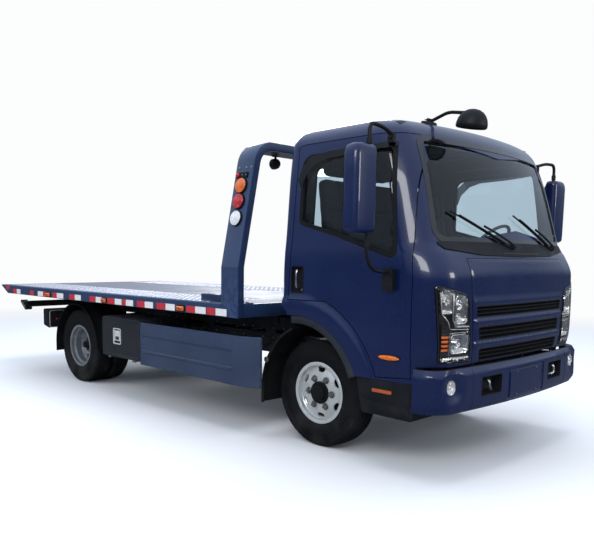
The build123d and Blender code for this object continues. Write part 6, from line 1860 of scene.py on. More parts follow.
def makeRoofMirror():
    form = Form()
    y = -0.5
    loops = []
    for share, lift in ((1.0, -0.004), (1.0, 0.010), (0.9, 0.016), (0.5, 0.019)):
        shape = rounded([(0.556, -0.040), (0.644, -0.040), (0.644, 0.040), (0.556, 0.040)], 0.02, 5)
        loop = []
        for a, b in shape:
            a, b = 0.6 + (a - 0.6) * share, b * share
            best = min((abs(cab.flat(*cab.fromFront(y + b, 2.20 + 0.13 * i / 60)).x - ahead(a)), 2.20 + 0.13 * i / 60)
                       for i in range(61))[1]
            point = cab.flat(*cab.fromFront(y + b, best))
            loop.append((ahead(a), y + b, point.z + lift))
        loops.append(loop)
    form.rings(loops, 0)
    top = max(point[2] for point in loops[-1])
    form.tube([(ahead(0.60), y, top - 0.012), (ahead(0.742), y, 2.290 - 0.012), (ahead(0.885), y, 2.252)], 0.0108, 0,
              16, 0.035)
    form.rod((ahead(0.60), y, top - 0.006), (ahead(0.606), y, top + 0.012), 0.02, 0, 22, 0.003)
    for x in (0.575, 0.628):
        form.revolve([(0, 0.008), (0.004, 0.008), (0.006, 0.005), (0.0055, 0.0005)],
                     (ahead(x), y, top + 0.002 - (x - 0.6) * 0.2), (0, 0, 1), 1, 16)
    # Domed head: a deep bowl whose rim faces down and back, with its glass under it
    middle = Vector((ahead(0.905), y, 2.160))
    axis = Vector((0.16, 0, 1)).normalized()
    first = axis.orthogonal().normalized()
    second = axis.cross(first)

    def ring(along, size, steps=40):
        # The head is a little longer than it is wide
        turns = [2 * pi * i / steps for i in range(steps)]
        return [
            middle + axis * along + first * cos(turn) * size * 1.12 + second * sin(turn) * size * 0.98
            for turn in turns
        ]

    form.rings([ring(*row) for row in (
        (-0.004, 0.080), (0.004, 0.0865), (0.02, 0.087), (0.05, 0.081), (0.075, 0.069), (0.094, 0.052),
        (0.106, 0.032), (0.111, 0.012), (0.1115, 0.002),
    )], 0, False)
    rows = [ring(*row) for row in ((-0.004, 0.080), (-0.002, 0.076), (0.004, 0.074))]
    form.rings(rows, 0, False)
    form.add(rows[-1], [tuple(range(40))], 2)
    form.rod(middle + axis * 0.085, middle + axis * 0.108, 0.018, 0, 20, 0.003)
    form.save("roofMirrorUnit", "cab", "trim_black", ("trimBlack", "bareSteel", "mirrorGlass"), ("roof_mirror",),
              sharp=42)


makeRoofMirror()
print("stage: mirrors")


# Tyres: lathed carcass with shoulder ribs, and tread blocks and grooves set round it
def tyreProfile(outer=0.388, half=0.098):
    # along the axle, radius; from one bead over the tread to the other
    side = [(0.075, 0.2035), (0.0765, 0.212), (0.079, 0.224), (0.082, 0.2275), (0.0835, 0.2268), (0.086, 0.232),
            (0.0925, 0.246), (0.0965, 0.268), (0.0975, 0.290), (0.0972, 0.2915), (0.0985, 0.2925), (0.0985, 0.2965),
            (0.0972, 0.2975), (0.0965, 0.315), (0.0945, 0.335), (0.0925, 0.348), (0.0935, 0.350), (0.0910, 0.364),
            (0.0865, 0.3755), (0.0810, 0.3800)]
    side = [(min(a, half - 0.0002), r * outer / 0.388 if r > 0.3 else r) for a, r in side]
    ribs = []
    for edge, dip in ((0.0755, 0), (0.0500, 0), (0.0485, 1), (0.0425, 1), (0.0410, 0), (0.0160, 0), (0.0145, 1),
                      (0.0085, 1), (0.0070, 0)):
        ribs.append((edge, outer - (edge / half) ** 2 * 0.0055 - (0.0105 if dip else 0.0)))
    right = side + ribs
    return right + [(-a, r) for a, r in reversed(right)]


def makeTyre(form, middle, out, steps=96, turned=0.0):
    profile = tyreProfile()
    axis = Vector((0, out, 0))
    form.revolve(profile, middle, axis, 0, steps)
    # Zigzag shoulder lugs with slots between them
    middle = Vector(middle)
    count = 52
    for i in range(count):
        base = turned + 2 * pi * i / count
        for way in (-1, 1):
            points = [(way * along, radius) for along, radius in
                      ((0.0775, 0.3795), (0.0935, 0.3525), (0.0940, 0.3590), (0.0885, 0.3745), (0.0800, 0.3835))]
            loops = []
            for swing in (-0.036, 0.036):
                loops.append([
                    middle + Vector((
                        cos(base + swing + way * 0.02) * radius,
                        along,
                        sin(base + swing + way * 0.02) * radius,
                    ))
                    for along, radius in points
                ])
            form.rings(loops, 0)


def spun(middle, radius, angle, along):
    return Vector((middle[0] + radius * cos(angle), middle[1] + along, middle[2] + radius * sin(angle)))


def makeSidewall(form, middle, out):
    # Raised blank bars on the sidewall
    for start, sweepBy, radius in ((0.35, 0.9, 0.322), (2.1, 0.5, 0.322), (3.5, 0.9, 0.322), (5.3, 0.5, 0.322)):
        count = max(3, int(sweepBy / 0.05))
        loops = []
        for i in range(count + 1):
            angle = start + sweepBy * i / count
            loops.append([
                spun(middle, radius + dr, angle, out * along)
                for dr, along in ((-0.010, 0.0955), (-0.009, 0.0974), (0.009, 0.0962), (0.010, 0.0935))
            ])
        form.rings(loops, 0)


def rimForm(form, middle, out, kind):
    profile = [(0.0855, 0.2075), (0.0855, 0.2205), (0.0835, 0.2232), (0.0805, 0.2225), (0.0775, 0.2170),
               (0.0755, 0.2045),
               (0.046, 0.2025), (0.040, 0.1985), (0.032, 0.1872), (-0.032, 0.1872), (-0.046, 0.2025), (-0.0755, 0.2045),
               (-0.0805, 0.2225), (-0.0855, 0.2205), (-0.0855, 0.1990), (-0.052, 0.1960), (-0.036, 0.1795),
               (0.036, 0.1795), (0.052, 0.1960), (0.0815, 0.1985), (0.0840, 0.2010), (0.0855, 0.2075)]
    form.revolve(profile, middle, (0, out, 0), kind, 72)


def ventedDisc(form, middle, out, rows, ventRadius, long, wide, thick, kind, start=0.0):
    # A spun disc with six oval openings cut through it; rows are (radius, distance out)
    profile = sorted(rows)

    def lift(radius):
        for (r0, a0), (r1, a1) in zip(profile, profile[1:]):
            if radius <= r1:
                share = max(0.0, (radius - r0) / (r1 - r0))
                share = share * share * (3 - 2 * share)
                return a0 + (a1 - a0) * share
        return profile[-1][1]

    outer = [(profile[-1][0] * cos(2 * pi * i / 96), profile[-1][0] * sin(2 * pi * i / 96)) for i in range(96)]
    inner = [(profile[0][0] * cos(2 * pi * i / 60), profile[0][0] * sin(2 * pi * i / 60)) for i in range(60)]
    holes = [inner]
    for k in range(6):
        angle = start + 2 * pi * k / 6
        ring = []
        for i in range(28):
            a, b = long / 2 * cos(2 * pi * i / 28), wide / 2 * sin(2 * pi * i / 28)
            r, t = ventRadius + b, a
            ring.append((r * cos(angle) - t * sin(angle), r * sin(angle) + t * cos(angle)))
        holes.append(ring)
    extra = []
    radius = profile[0][0] + 0.006
    while radius < profile[-1][0] - 0.003:
        count = max(24, int(2 * pi * radius / 0.0085))
        extra += [(radius * cos(2 * pi * i / count), radius * sin(2 * pi * i / count)) for i in range(count)]
        radius += 0.0062
    points, faces = filled(outer, holes, 0.5, extra)
    middle = Vector(middle)
    front = [middle + Vector((a, out * lift(hypot(a, b)), b)) for a, b in points]
    back = [middle + Vector((a, out * (lift(hypot(a, b)) - thick), b)) for a, b in points]
    made = form.add(front, faces, kind)[0]
    edges = {}
    for face in faces:
        for a, b in zip(face, face[1:] + face[:1]):
            key = (min(a, b), max(a, b))
            edges[key] = edges.get(key, 0) + 1
    backMade = [form.net.verts.new(point) for point in back]
    for face in faces:
        part = form.net.faces.new([backMade[i] for i in face[::-1]])
        part.material_index = kind
    for (a, b), times in edges.items():
        if times == 1:
            part = form.net.faces.new([made[a], made[b], backMade[b], backMade[a]])
            part.material_index = kind


wheelSizes = {"stud": 0.108, "nut": 0.0155, "vent": (0.166, 0.066, 0.039)}


def makeFrontWheel(name, side):
    middle = (frontAxleX, side * 0.775, axleHeight)
    body = "front_wheel_" + name
    form = Form()
    rimForm(form, middle, side, 0)
    ventRadius, long, wide = wheelSizes["vent"]
    ventedDisc(form, middle, side,
               [(0.070, 0.0665), (0.1290, 0.0665), (0.138, 0.0645), (0.152, 0.0575), (0.168, 0.0500),
                                    (0.184, 0.0460), (0.1995, 0.0455)], ventRadius, long, wide, 0.010, 0, start=pi / 6)
    drum = [(0.058, 0.03), (0.0, 0.062), (-0.004, 0.156), (-0.060, 0.158), (-0.060, 0.150), (-0.012, 0.148),
            (-0.012, 0.05), (-0.050, 0.04), (-0.050, 0.028)]
    form.revolve(drum, middle, (0, side, 0), 2, 48)
    # Black hub with its stepped cap
    hub = [(0.050, 0.0815), (0.072, 0.0815), (0.078, 0.0785), (0.080, 0.071), (0.080, 0.060), (0.089, 0.0585),
           (0.0945, 0.055), (0.0965, 0.047), (0.0970, 0.020), (0.0960, 0.012), (0.0960, 0.001)]
    form.revolve(hub, middle, (0, side, 0), 1, 48)
    for k in range(8):
        angle = 2 * pi * k / 8
        form.nut(spun(middle, 0.0695, angle, side * 0.079), (0, side, 0), 0.0065, 0.006, 1)
    for k in range(6):
        angle = pi / 6 + 2 * pi * k / 6 + pi / 6
        spot = spun(middle, wheelSizes["stud"], angle, side * 0.066)
        # A flat black ring round each nut is painted shade for the recess round it
        form.revolve([(0.0, 0.0245), (0.0012, 0.0245), (0.0016, 0.0215)], spot, (0, side, 0), 1, 24)
        form.revolve([(0.0, 0.0215), (0.003, 0.0215), (0.0045, 0.0200), (0.0045, 0.015)], spot, (0, side, 0), 3, 24)
        form.nut(spun(middle, wheelSizes["stud"], angle, side * 0.0695), (0, side, 0), wheelSizes["nut"], 0.0175, 3)
        form.revolve([(0.0, 0.0092), (0.008, 0.0092), (0.0095, 0.008), (0.0095, 0.001)],
                     spun(middle, wheelSizes["stud"], angle, side * 0.086), (0, side, 0), 3, 16)
    angle = pi / 2
    form.tube([spun(middle, 0.196, angle, side * 0.055), spun(middle, 0.190, angle, side * 0.072),
               spun(middle, 0.178, angle, side * 0.083)], 0.004, 1, 10, 0.01)
    form.save("frontWheelRim_" + name, body, "wheel_silver", ("wheelSilver", "hubBlack", "castBlack", "nutZinc"),
              ("front_wheel_" + name,), sharp=34)
    form = Form()
    makeTyre(form, middle, side)
    makeSidewall(form, middle, side)
    form.save("frontTyre_" + name, body, "tyre_rubber", ("tyreRubber",), ("front_tyre_" + name,), sharp=38)


def makeRearWheels(name, side):
    body = "rear_wheels_" + name
    outer, inner = 0.850, 0.638
    mating = (outer + inner) / 2
    form = Form()
    for way, y in ((1, outer), (-1, inner)):
        middle = (rearAxleX, side * y, axleHeight)
        rimForm(form, middle, side * way, 0)
        base = (rearAxleX, side * mating, axleHeight)
        ventedDisc(form, base, side * way, [(0.070, 0.010), (0.126, 0.010), (0.142, 0.026), (0.160, 0.060),
                                            (0.1797, 0.082)], 0.151, 0.050, 0.028, 0.009, 0)
    base = (rearAxleX, side * mating, axleHeight)
    form.revolve([(-0.110, 0.06), (-0.032, 0.062), (-0.032, 0.150), (-0.110, 0.152), (-0.110, 0.158), (-0.024, 0.158),
                  (-0.020, 0.080), (0.012, 0.079), (0.050, 0.078), (0.084, 0.077), (0.0895, 0.072), (0.0905, 0.052),
                  (0.092, 0.050), (0.092, 0.001)], base, (0, side, 0), 2, 48)
    for k in range(8):
        angle = 2 * pi * k / 8
        form.nut(spun(base, 0.062, angle, side * 0.089), (0, side, 0), 0.0068, 0.006, 3)
    for k in range(6):
        angle = pi / 6 + 2 * pi * k / 6
        spot = spun(base, wheelSizes["stud"], angle, side * 0.010)
        form.revolve([(0.0, 0.022), (0.003, 0.022), (0.0045, 0.020), (0.0045, 0.015)], spot, (0, side, 0), 3, 20)
        form.nut(spun(base, wheelSizes["stud"], angle, side * 0.0135), (0, side, 0), wheelSizes["nut"], 0.019, 3)
        form.revolve([(0.0, 0.009), (0.010, 0.009), (0.011, 0.008), (0.011, 0.001)],
                     spun(base, wheelSizes["stud"], angle, side * 0.032), (0, side, 0), 3, 14)
    form.save("rearWheelRims_" + name, body, "wheel_silver", ("wheelGrey", "castBlack", "castBlack", "nutZinc"),
              ("rear_wheels_" + name,), sharp=34)
    form = Form()
    for y in (outer, inner):
        middle = (rearAxleX, side * y, axleHeight)
        makeTyre(form, middle, side, 88, 0.03)
    makeSidewall(form, (rearAxleX, side * outer, axleHeight), side)
    form.save("rearTyres_" + name, body, "tyre_rubber", ("tyreRubber",), ("rear_tyres_" + name,), sharp=38)


for name, side in rightAndLeft:
    makeFrontWheel(name, side)
    makeRearWheels(name, side)
print("stage: wheels")


# Black mudguards, steps and arch liners
guardRadius = 0.449


def makeMudguards():
    form = Form()
    for side in (-1, 1):
        # Rear guard: a rolled sheet with beaded edges
        loops = []
        for i in range(49):
            angle = radians(2 + 190 * i / 48)
            if angle > pi:
                point = (rearAxleX - guardRadius, axleHeight - (angle - pi) * 0.45)
                ray = (-1, 0)
            else:
                point = (rearAxleX + guardRadius * cos(angle), axleHeight + guardRadius * sin(angle))
                ray = (cos(angle), sin(angle))
            section = []
            for along, out in ((0.562, -0.003), (0.562, 0.003), (0.70, 0.003), (0.705, 0.006), (0.745, 0.006),
                               (0.75, 0.003), (0.82, 0.003), (0.825, 0.006), (0.865, 0.006), (0.87, 0.003),
                               (0.970, 0.003),
                               (0.976, 0.007), (0.984, 0.006), (0.985, -0.004), (0.978, -0.006), (0.966, -0.003)):
                section.append((point[0] + ray[0] * out, side * along, point[1] + ray[1] * out))
            loops.append(section)
        form.rings(loops, 0)
        for along in (-0.33, 0.29):
            low, high = sorted((side * 0.376, side * 0.59))
            form.box((rearAxleX + along, low, 0.675), (rearAxleX + along + 0.04, high, 0.699), 1, 0.003)
            low, high = sorted((side * 0.557, side * 0.589))
            form.box((rearAxleX + along, low, 0.676), (rearAxleX + along + 0.04, high, 0.73), 1, 0.003)
            form.nut((rearAxleX + along + 0.02, side * 0.54, 0.699), (0, 0, 1), 0.009, 0.007, 2)
        # Front flap behind the wheel: a moulded sheet with a return and ribs
        path = [(-0.150, 0.850), (-0.225, 0.812), (-0.290, 0.762), (-0.345, 0.700), (-0.392, 0.628), (-0.425, 0.552),
                (-0.446, 0.470), (-0.4525, 0.400), (-0.4535, 0.330), (-0.4535, 0.266)]
        loops = []
        for index, (x, z) in enumerate(path):
            before, after = path[max(index - 1, 0)], path[min(index + 1, len(path) - 1)]
            dx, dz = after[0] - before[0], after[1] - before[1]
            size = hypot(dx, dz)
            nx, nz = dz / size, -dx / size  # to the rear and up
            section = []
            for along, out in ((0.692, 0.0), (0.692, 0.005), (0.75, 0.005), (0.755, 0.009), (0.79, 0.009),
                               (0.795, 0.005),
                               (0.88, 0.005), (0.885, 0.009), (0.92, 0.009), (0.925, 0.005), (0.976, 0.005),
                               (0.986, 0.004), (0.989, -0.004), (0.988, -0.026), (0.984, -0.026), (0.983, -0.001),
                               (0.970, 0.0)):
                section.append((ahead(x - abs(nx) * out), side * along, z + abs(nz) * out * 0.4))
            loops.append(section)
        form.rings(loops, 0)
        form.rod((ahead(-0.416), side * 0.376, 0.60), (ahead(-0.416), side * 0.71, 0.60), 0.014, 1, 20)
        for y in (0.76, 0.92):
            form.revolve([(0, 0.012), (0.003, 0.012), (0.005, 0.008), (0.005, 0.001)], (ahead(-0.448), side * y, 0.50),
                         (-1, 0, 0.1), 2, 16)
        # Bright washer behind the flap, as the photo shows
        form.revolve([(0, 0.022), (0.004, 0.021), (0.006, 0.012), (0.005, 0.001)], (ahead(-0.405), side * 0.989, 0.595),
                     (0, side, 0), 2, 20)
    form.save("mudguardSheets", "chassis", "trim_black", ("rubber", "chassisPaint", "zincPlate"), ("mudguards",),
              sharp=40)
    form = Form()
    for side in (-1, 1):
        # Step box: tapered moulding with a tread well and a lamp
        low, high = 0.772, 1.003
        shape = [(0.449, 0.589), (0.497, 0.361), (0.885, 0.361), (0.885, 0.589)]
        lower = aheadAll(rounded(shape, [0.012, 0.03, 0.02, 0.01], 4))
        form.plate(lower, min(side * low, side * high), high - low, 0, 0.007)
        panel = aheadAll(rounded([(0.492, 0.562), (0.512, 0.468), (0.866, 0.448), (0.866, 0.572)], 0.012, 4))
        form.plate(panel, min(side * 1.0, side * 1.0065), 0.0065, 0, 0.003)
        panel = aheadAll(rounded([(0.515, 0.448), (0.530, 0.384), (0.866, 0.384), (0.866, 0.430)], 0.010, 4))
        form.plate(panel, min(side * 1.0, side * 1.0055), 0.0055, 0, 0.0025)
        lamp = aheadAll(rounded([(0.584, 0.508), (0.737, 0.508), (0.737, 0.534), (0.584, 0.534)], 0.006, 3))
        form.plate(lamp, min(side * 1.003, side * 1.0115), 0.0085, 1, 0.002)
        for i in range(6):
            x = ahead(0.575 + i * 0.048)
            low, high = sorted((side * 0.865, side * 1.0))
            form.box((x, low, 0.588), (x + 0.016, high, 0.5925), 0, 0.002)
        for x in (0.60, 0.78):
            form.rod((ahead(x), side * 0.376, 0.57), (ahead(x), side * 0.79, 0.57), 0.019, 2, 20)
    form.save("stepBoxes", "chassis", "trim_black", ("trimBlack", "amberReflector", "chassisPaint"), ("cab_steps",),
              sharp=40)


makeMudguards()


def makeLiners():
    form = Form()
    for side in (-1, 1):
        def strip(rows, angles, kind):
            loops = []
            for angle in angles:
                section = []
                for y, reach in rows:
                    section.append((ahead(archMiddle[0] + reach * cos(angle)), side * y,
                                    archMiddle[1] + reach * sin(angle)))
                loops.append(section)
            form.rings(loops, kind)

        # Outer band behind the painted lip, then the tub inboard of it
        first, last = radians(96), radians(20.5)
        angles = [first + (last - first) * i / 56 for i in range(57)]
        strip([(0.905, 0.5565), (1.006, 0.5565), (1.0085, 0.552), (1.0085, 0.506), (1.004, 0.500), (0.992, 0.4975),
               (0.905, 0.4975)], angles, 0)
        strip([(0.640, 0.5575), (0.905, 0.5575), (0.905, 0.551), (0.640, 0.551)], angles, 0)
        for i in range(5):
            angle = first + (last - first) * (i + 0.5) / 5
            spot = (ahead(archMiddle[0] + 0.53 * cos(angle)), side * 1.0085, archMiddle[1] + 0.53 * sin(angle))
            form.revolve([(0, 0.009), (0.002, 0.009), (0.004, 0.005), (0.004, 0.0005)], spot, (0, side, 0), 0, 14)
    form.save("archLinings", "cab", "trim_black", ("archPlastic",), ("arch_liners",), sharp=40)


makeLiners()
print("stage: guards and steps")


# Side guards: ribbed panels with a rolled front end, and brackets
def makeGuards():
    form = Form()
    face, sheet = 1.112, 0.018
    plan = [(-1.910, face)]
    plan += [(-0.640 - 0.0, face), (-0.600, face - 0.0025), (-0.560, face - 0.0085), (-0.520, face - 0.017),
             (-0.480, face - 0.029), (-0.440, face - 0.045), (-0.414, face - 0.057), (-0.406, face - 0.063)]
    for side in (-1, 1):
        xs = [-1.910, -1.905, -1.880, -1.872, -1.7, -1.5, -1.3, -1.1, -0.9, -0.7, -0.664, -0.656, -0.650, -0.640,
              -0.600, -0.560, -0.520, -0.480, -0.440, -0.414, -0.406]

        def faceAt(x):
            for (x0, y0), (x1, y1) in zip(plan, plan[1:]):
                if x <= x1:
                    return y0 + (y1 - y0) * (x - x0) / (x1 - x0)
            return plan[-1][1]

        rows = [(0.380, 0.0), (0.384, 1.0), (0.490, 1.0), (0.497, 2.0), (0.5125, 2.0), (0.519, 1.0), (0.631, 1.0),
                (0.6345, 3.0), (0.6455, 3.0), (0.649, 1.0), (0.756, 1.0), (0.760, 0.0)]
        offsets = {0.0: -0.004, 1.0: 0.0, 2.0: 0.0075, 3.0: -0.0065}
        loops = []
        for x in xs:
            panel = -1.876 <= x <= -0.660
            y = faceAt(x)
            section = []
            for z, kind in rows:
                out = offsets[kind] if (panel or kind < 2) else 0.0
                section.append((ahead(x), side * (y + out), z))
            section += [(ahead(x), side * (y - sheet), 0.760), (ahead(x), side * (y - sheet), 0.380)]
            loops.append(section)
        form.rings(loops, 0)
        for x in (-1.89, -0.62):
            low, high = sorted((side * 0.376, side * (face - 0.014)))
            form.box((ahead(x), low, 0.650), (ahead(x + 0.036), high, 0.690), 1, 0.004)
        # Row of small screws under the top edge, as seen along the photo's guard
        for i in range(22):
            x = -1.86 + i * 0.058
            form.revolve([(0, 0.0045), (0.0015, 0.0045), (0.003, 0.002), (0.003, 0.0003)],
                         (ahead(x), side * face, 0.748), (0, side, 0), 0, 10)
    form.save("guardPanels", "chassis", "guard_blue", ("guardPaint", "chassisPaint", "zincPlate"), ("side_guards",),
              sharp=32)


makeGuards()


# Toolboxes keep their solid boxes; the drop-down doors get pressed frames, hinges and a bright latch
def makeToolDoor(name, side):
    form = Form()
    x0, x1, z0, z1 = ahead(-2.580), ahead(-1.930), 0.400, 0.775
    latch = (ahead(-2.255 - 0.060), 0.598)

    def face(grow, y):
        shape = rounded([(x0, z0), (x1, z0), (x1, z1), (x0, z1)], 0.012, 4)
        return [(a, side * y, b) for a, b in grown(shape, grow)]

    outline = rounded([(x0, z0), (x1, z0), (x1, z1), (x0, z1)], 0.012, 4)
    hole = rounded([(latch[0] - 0.062, 0.528), (latch[0] + 0.062, 0.528), (latch[0] + 0.062, 0.668),
                    (latch[0] - 0.062, 0.668)], 0.01, 4)
    rows = []
    for grow, y in ((0.0, 1.084), (0.0, 1.104), (-0.003, 1.1078), (-0.022, 1.1078), (-0.028, 1.1045)):
        rows.append([(a, side * y, b) for a, b in grown(outline, grow)])
    form.rings(rows, 0, False)
    points, faces = filled(grown(outline, -0.028), [hole], 0.06)
    form.add([(a, side * 1.1045, b) for a, b in points], faces, 0)
    points, faces = filled(outline, (), 0.2)
    form.add([(a, side * 1.084, b) for a, b in points], faces, 0)
    rows = []
    for grow, y in ((0.0, 1.1045), (0.0, 1.090)):
        rows.append([(a, side * y, b) for a, b in grown(hole, grow)])
    form.rings(rows, 0, False)
    form.add(rows[-1], [tuple(range(len(rows[-1])))], 0)
    # The latch's rim, plate and lock take the pale grey with its painted sheen
    rows = []
    for grow, y in ((0.006, 1.1045), (0.005, 1.1085), (-0.003, 1.1085), (-0.006, 1.098)):
        rows.append([(a, side * y, b) for a, b in grown(hole, grow)])
    form.rings(rows, 1, False)
    low, high = sorted((side * 1.091, side * 1.105))
    form.box((latch[0] - 0.046, low, 0.556), (latch[0] + 0.046, high, 0.652), 1, 0.008)
    low, high = sorted((side * 1.104, side * 1.1065))
    form.box((latch[0] - 0.030, low, 0.566), (latch[0] + 0.030, high, 0.596), 0, 0.004)
    form.revolve([(0, 0.011), (0.002, 0.011), (0.003, 0.006), (0.001, 0.0045), (0.001, 0.0005)],
                 (latch[0], side * 1.105, 0.626), (0, side, 0), 1, 20)
    for along in (0.09, 0.52):
        x = x0 + along + 0.021
        low, high = sorted((side * 1.0965, side * 1.1))
        form.rod((x, side * 1.096, 0.389), (x + 0.024, side * 1.096, 0.389), 0.008, 2, 20, 0.001)
        low, high = sorted((side * 1.092, side * 1.101))
        form.box((x, low, 0.39), (x + 0.024, high, 0.402), 2, 0.001)
    form.save("toolDoor_" + name, "toolbox_door_" + name, "toolbox_grey", ("boxGrey", "latchMetal", "zincPlate"),
              ("toolbox_door_" + name,), sharp=38)


for name, side in rightAndLeft:
    makeToolDoor(name, side)


# Rear lamp boxes: black housings with a pale rim round a dark face and small lamps in it
def makeRearLamps():
    form = Form()
    for side in (-1, 1):
        shape = rounded([(ahead(-4.090), 0.560), (ahead(-3.950), 0.530), (ahead(-3.950), 0.740),
                         (ahead(-4.090), 0.748)],
                        0.022, 6)
        rows = []
        for grow, y in ((-0.010, 0.720), (-0.002, 0.724), (0.0, 0.732), (0.0, 0.990), (-0.003, 0.9975),
                        (-0.010, 1.000)):
            rows.append([(a, side * y, b) for a, b in grown(shape, grow)])
        form.rings(rows, 0)
        # Pale rim and two small lamps on the face that looks forward
        x = ahead(-3.950)
        outline = rounded([(0.730, 0.538), (0.992, 0.538), (0.992, 0.732), (0.730, 0.732)], 0.032, 6)
        # The rim takes the latch's pale grey, a painted sheen
        rows = []
        for grow, out in ((0.0, -0.002), (0.0, 0.003), (-0.0025, 0.0050), (-0.0055, 0.003), (-0.0055, -0.002)):
            rows.append([(x + out, side * y, z) for y, z in grown(outline, grow)])
        form.rings(rows, 1, False)
        for y, z, size, kind in ((0.905, 0.634, 0.013, 2), (0.868, 0.632, 0.010, 3), (0.828, 0.630, 0.013, 4)):
            form.revolve([(-0.002, size), (0.004, size), (0.008, size * 0.75), (0.0095, size * 0.3), (0.0098, 0.0004)],
                         (x, side * y, z), (1, 0, 0), kind, 20)
        # Lens cluster on the box's rear face: stop, turn and reversing lamps
        x = ahead(-4.090)
        for y0, y1, kind in ((0.735, 0.805, 4), (0.812, 0.885, 3), (0.892, 0.985, 2)):
            shape = rounded([(y0, 0.575), (y1, 0.575), (y1, 0.735), (y0, 0.735)], 0.012, 4)
            rows = []
            for grow, out in ((0.0, 0.006), (0.0, -0.004), (-0.004, -0.0075), (-0.010, -0.009)):
                rows.append([(x + out, side * y, z) for y, z in grown(shape, grow)])
            form.rings(rows, kind, False)
            form.add(rows[-1], [tuple(range(len(rows[-1])))], kind)
        low, high = sorted((side * 0.40, side * 0.724))
        form.box((ahead(-4.038), low, 0.612), (ahead(-3.992), high, 0.668), 5, 0.004)
        for z in (0.625, 0.655):
            form.nut((ahead(-4.015), side * 0.70, z), (1, 0, 0), 0.008, 0.03, 1)
    form.save("rearLampUnits", "chassis", "lamp_glass",
              ("trimBlack", "latchMetal", "redLamp", "amberGlow", "whiteLamp", "chassisPaint"), ("rear_lamp_boxes",),
              sharp=38)


makeRearLamps()
print("stage: guards, boxes and rear lamps")


# Bed: welded frame, rails with their tape, chequered deck, arch and lamps
bedSizes = {
    "top": 0.998, "half": 1.150, "wedge": -4.7025, "tail": -4.8775, "front": -0.548, "archRear": -0.743,
    "deckFront": -0.960, "railLow": 0.898, "sillLow": 0.930, "smoothHalf": 0.545,
}
# Reflective tape and amber markers on each rail: kind, rear and front end from the front axle
tapeRows = (
    ("white", -0.8035, -0.6725), ("red", -0.9115, -0.8095), ("white", -1.0575, -0.9235), ("red", -1.1735, -1.0575),
    ("amber", -1.2995, -1.1915), ("white", -1.4615, -1.3305), ("red", -1.5965, -1.4695), ("white", -1.7745, -1.6465),
    ("red", -1.8985, -1.7745), ("white", -2.0805, -1.9585), ("red", -2.1465, -2.0845), ("white", -2.2725, -2.1535),
    ("red", -2.4045, -2.2825), ("amber", -2.5075, -2.4155), ("white", -2.6225, -2.5075), ("red", -2.7405, -2.6335),
    ("white", -3.0415, -2.9155), ("red", -3.1595, -3.0415), ("white", -3.4345, -3.2895), ("red", -3.5335, -3.4345),
    ("amber", -3.6815, -3.5765), ("red", -3.7625, -3.6955), ("white", -3.8905, -3.7625), ("red", -4.0895, -3.9935),
    ("white", -4.4450, -4.3450), ("red", -4.5450, -4.4550), ("red", -4.7500, -4.6450),
)


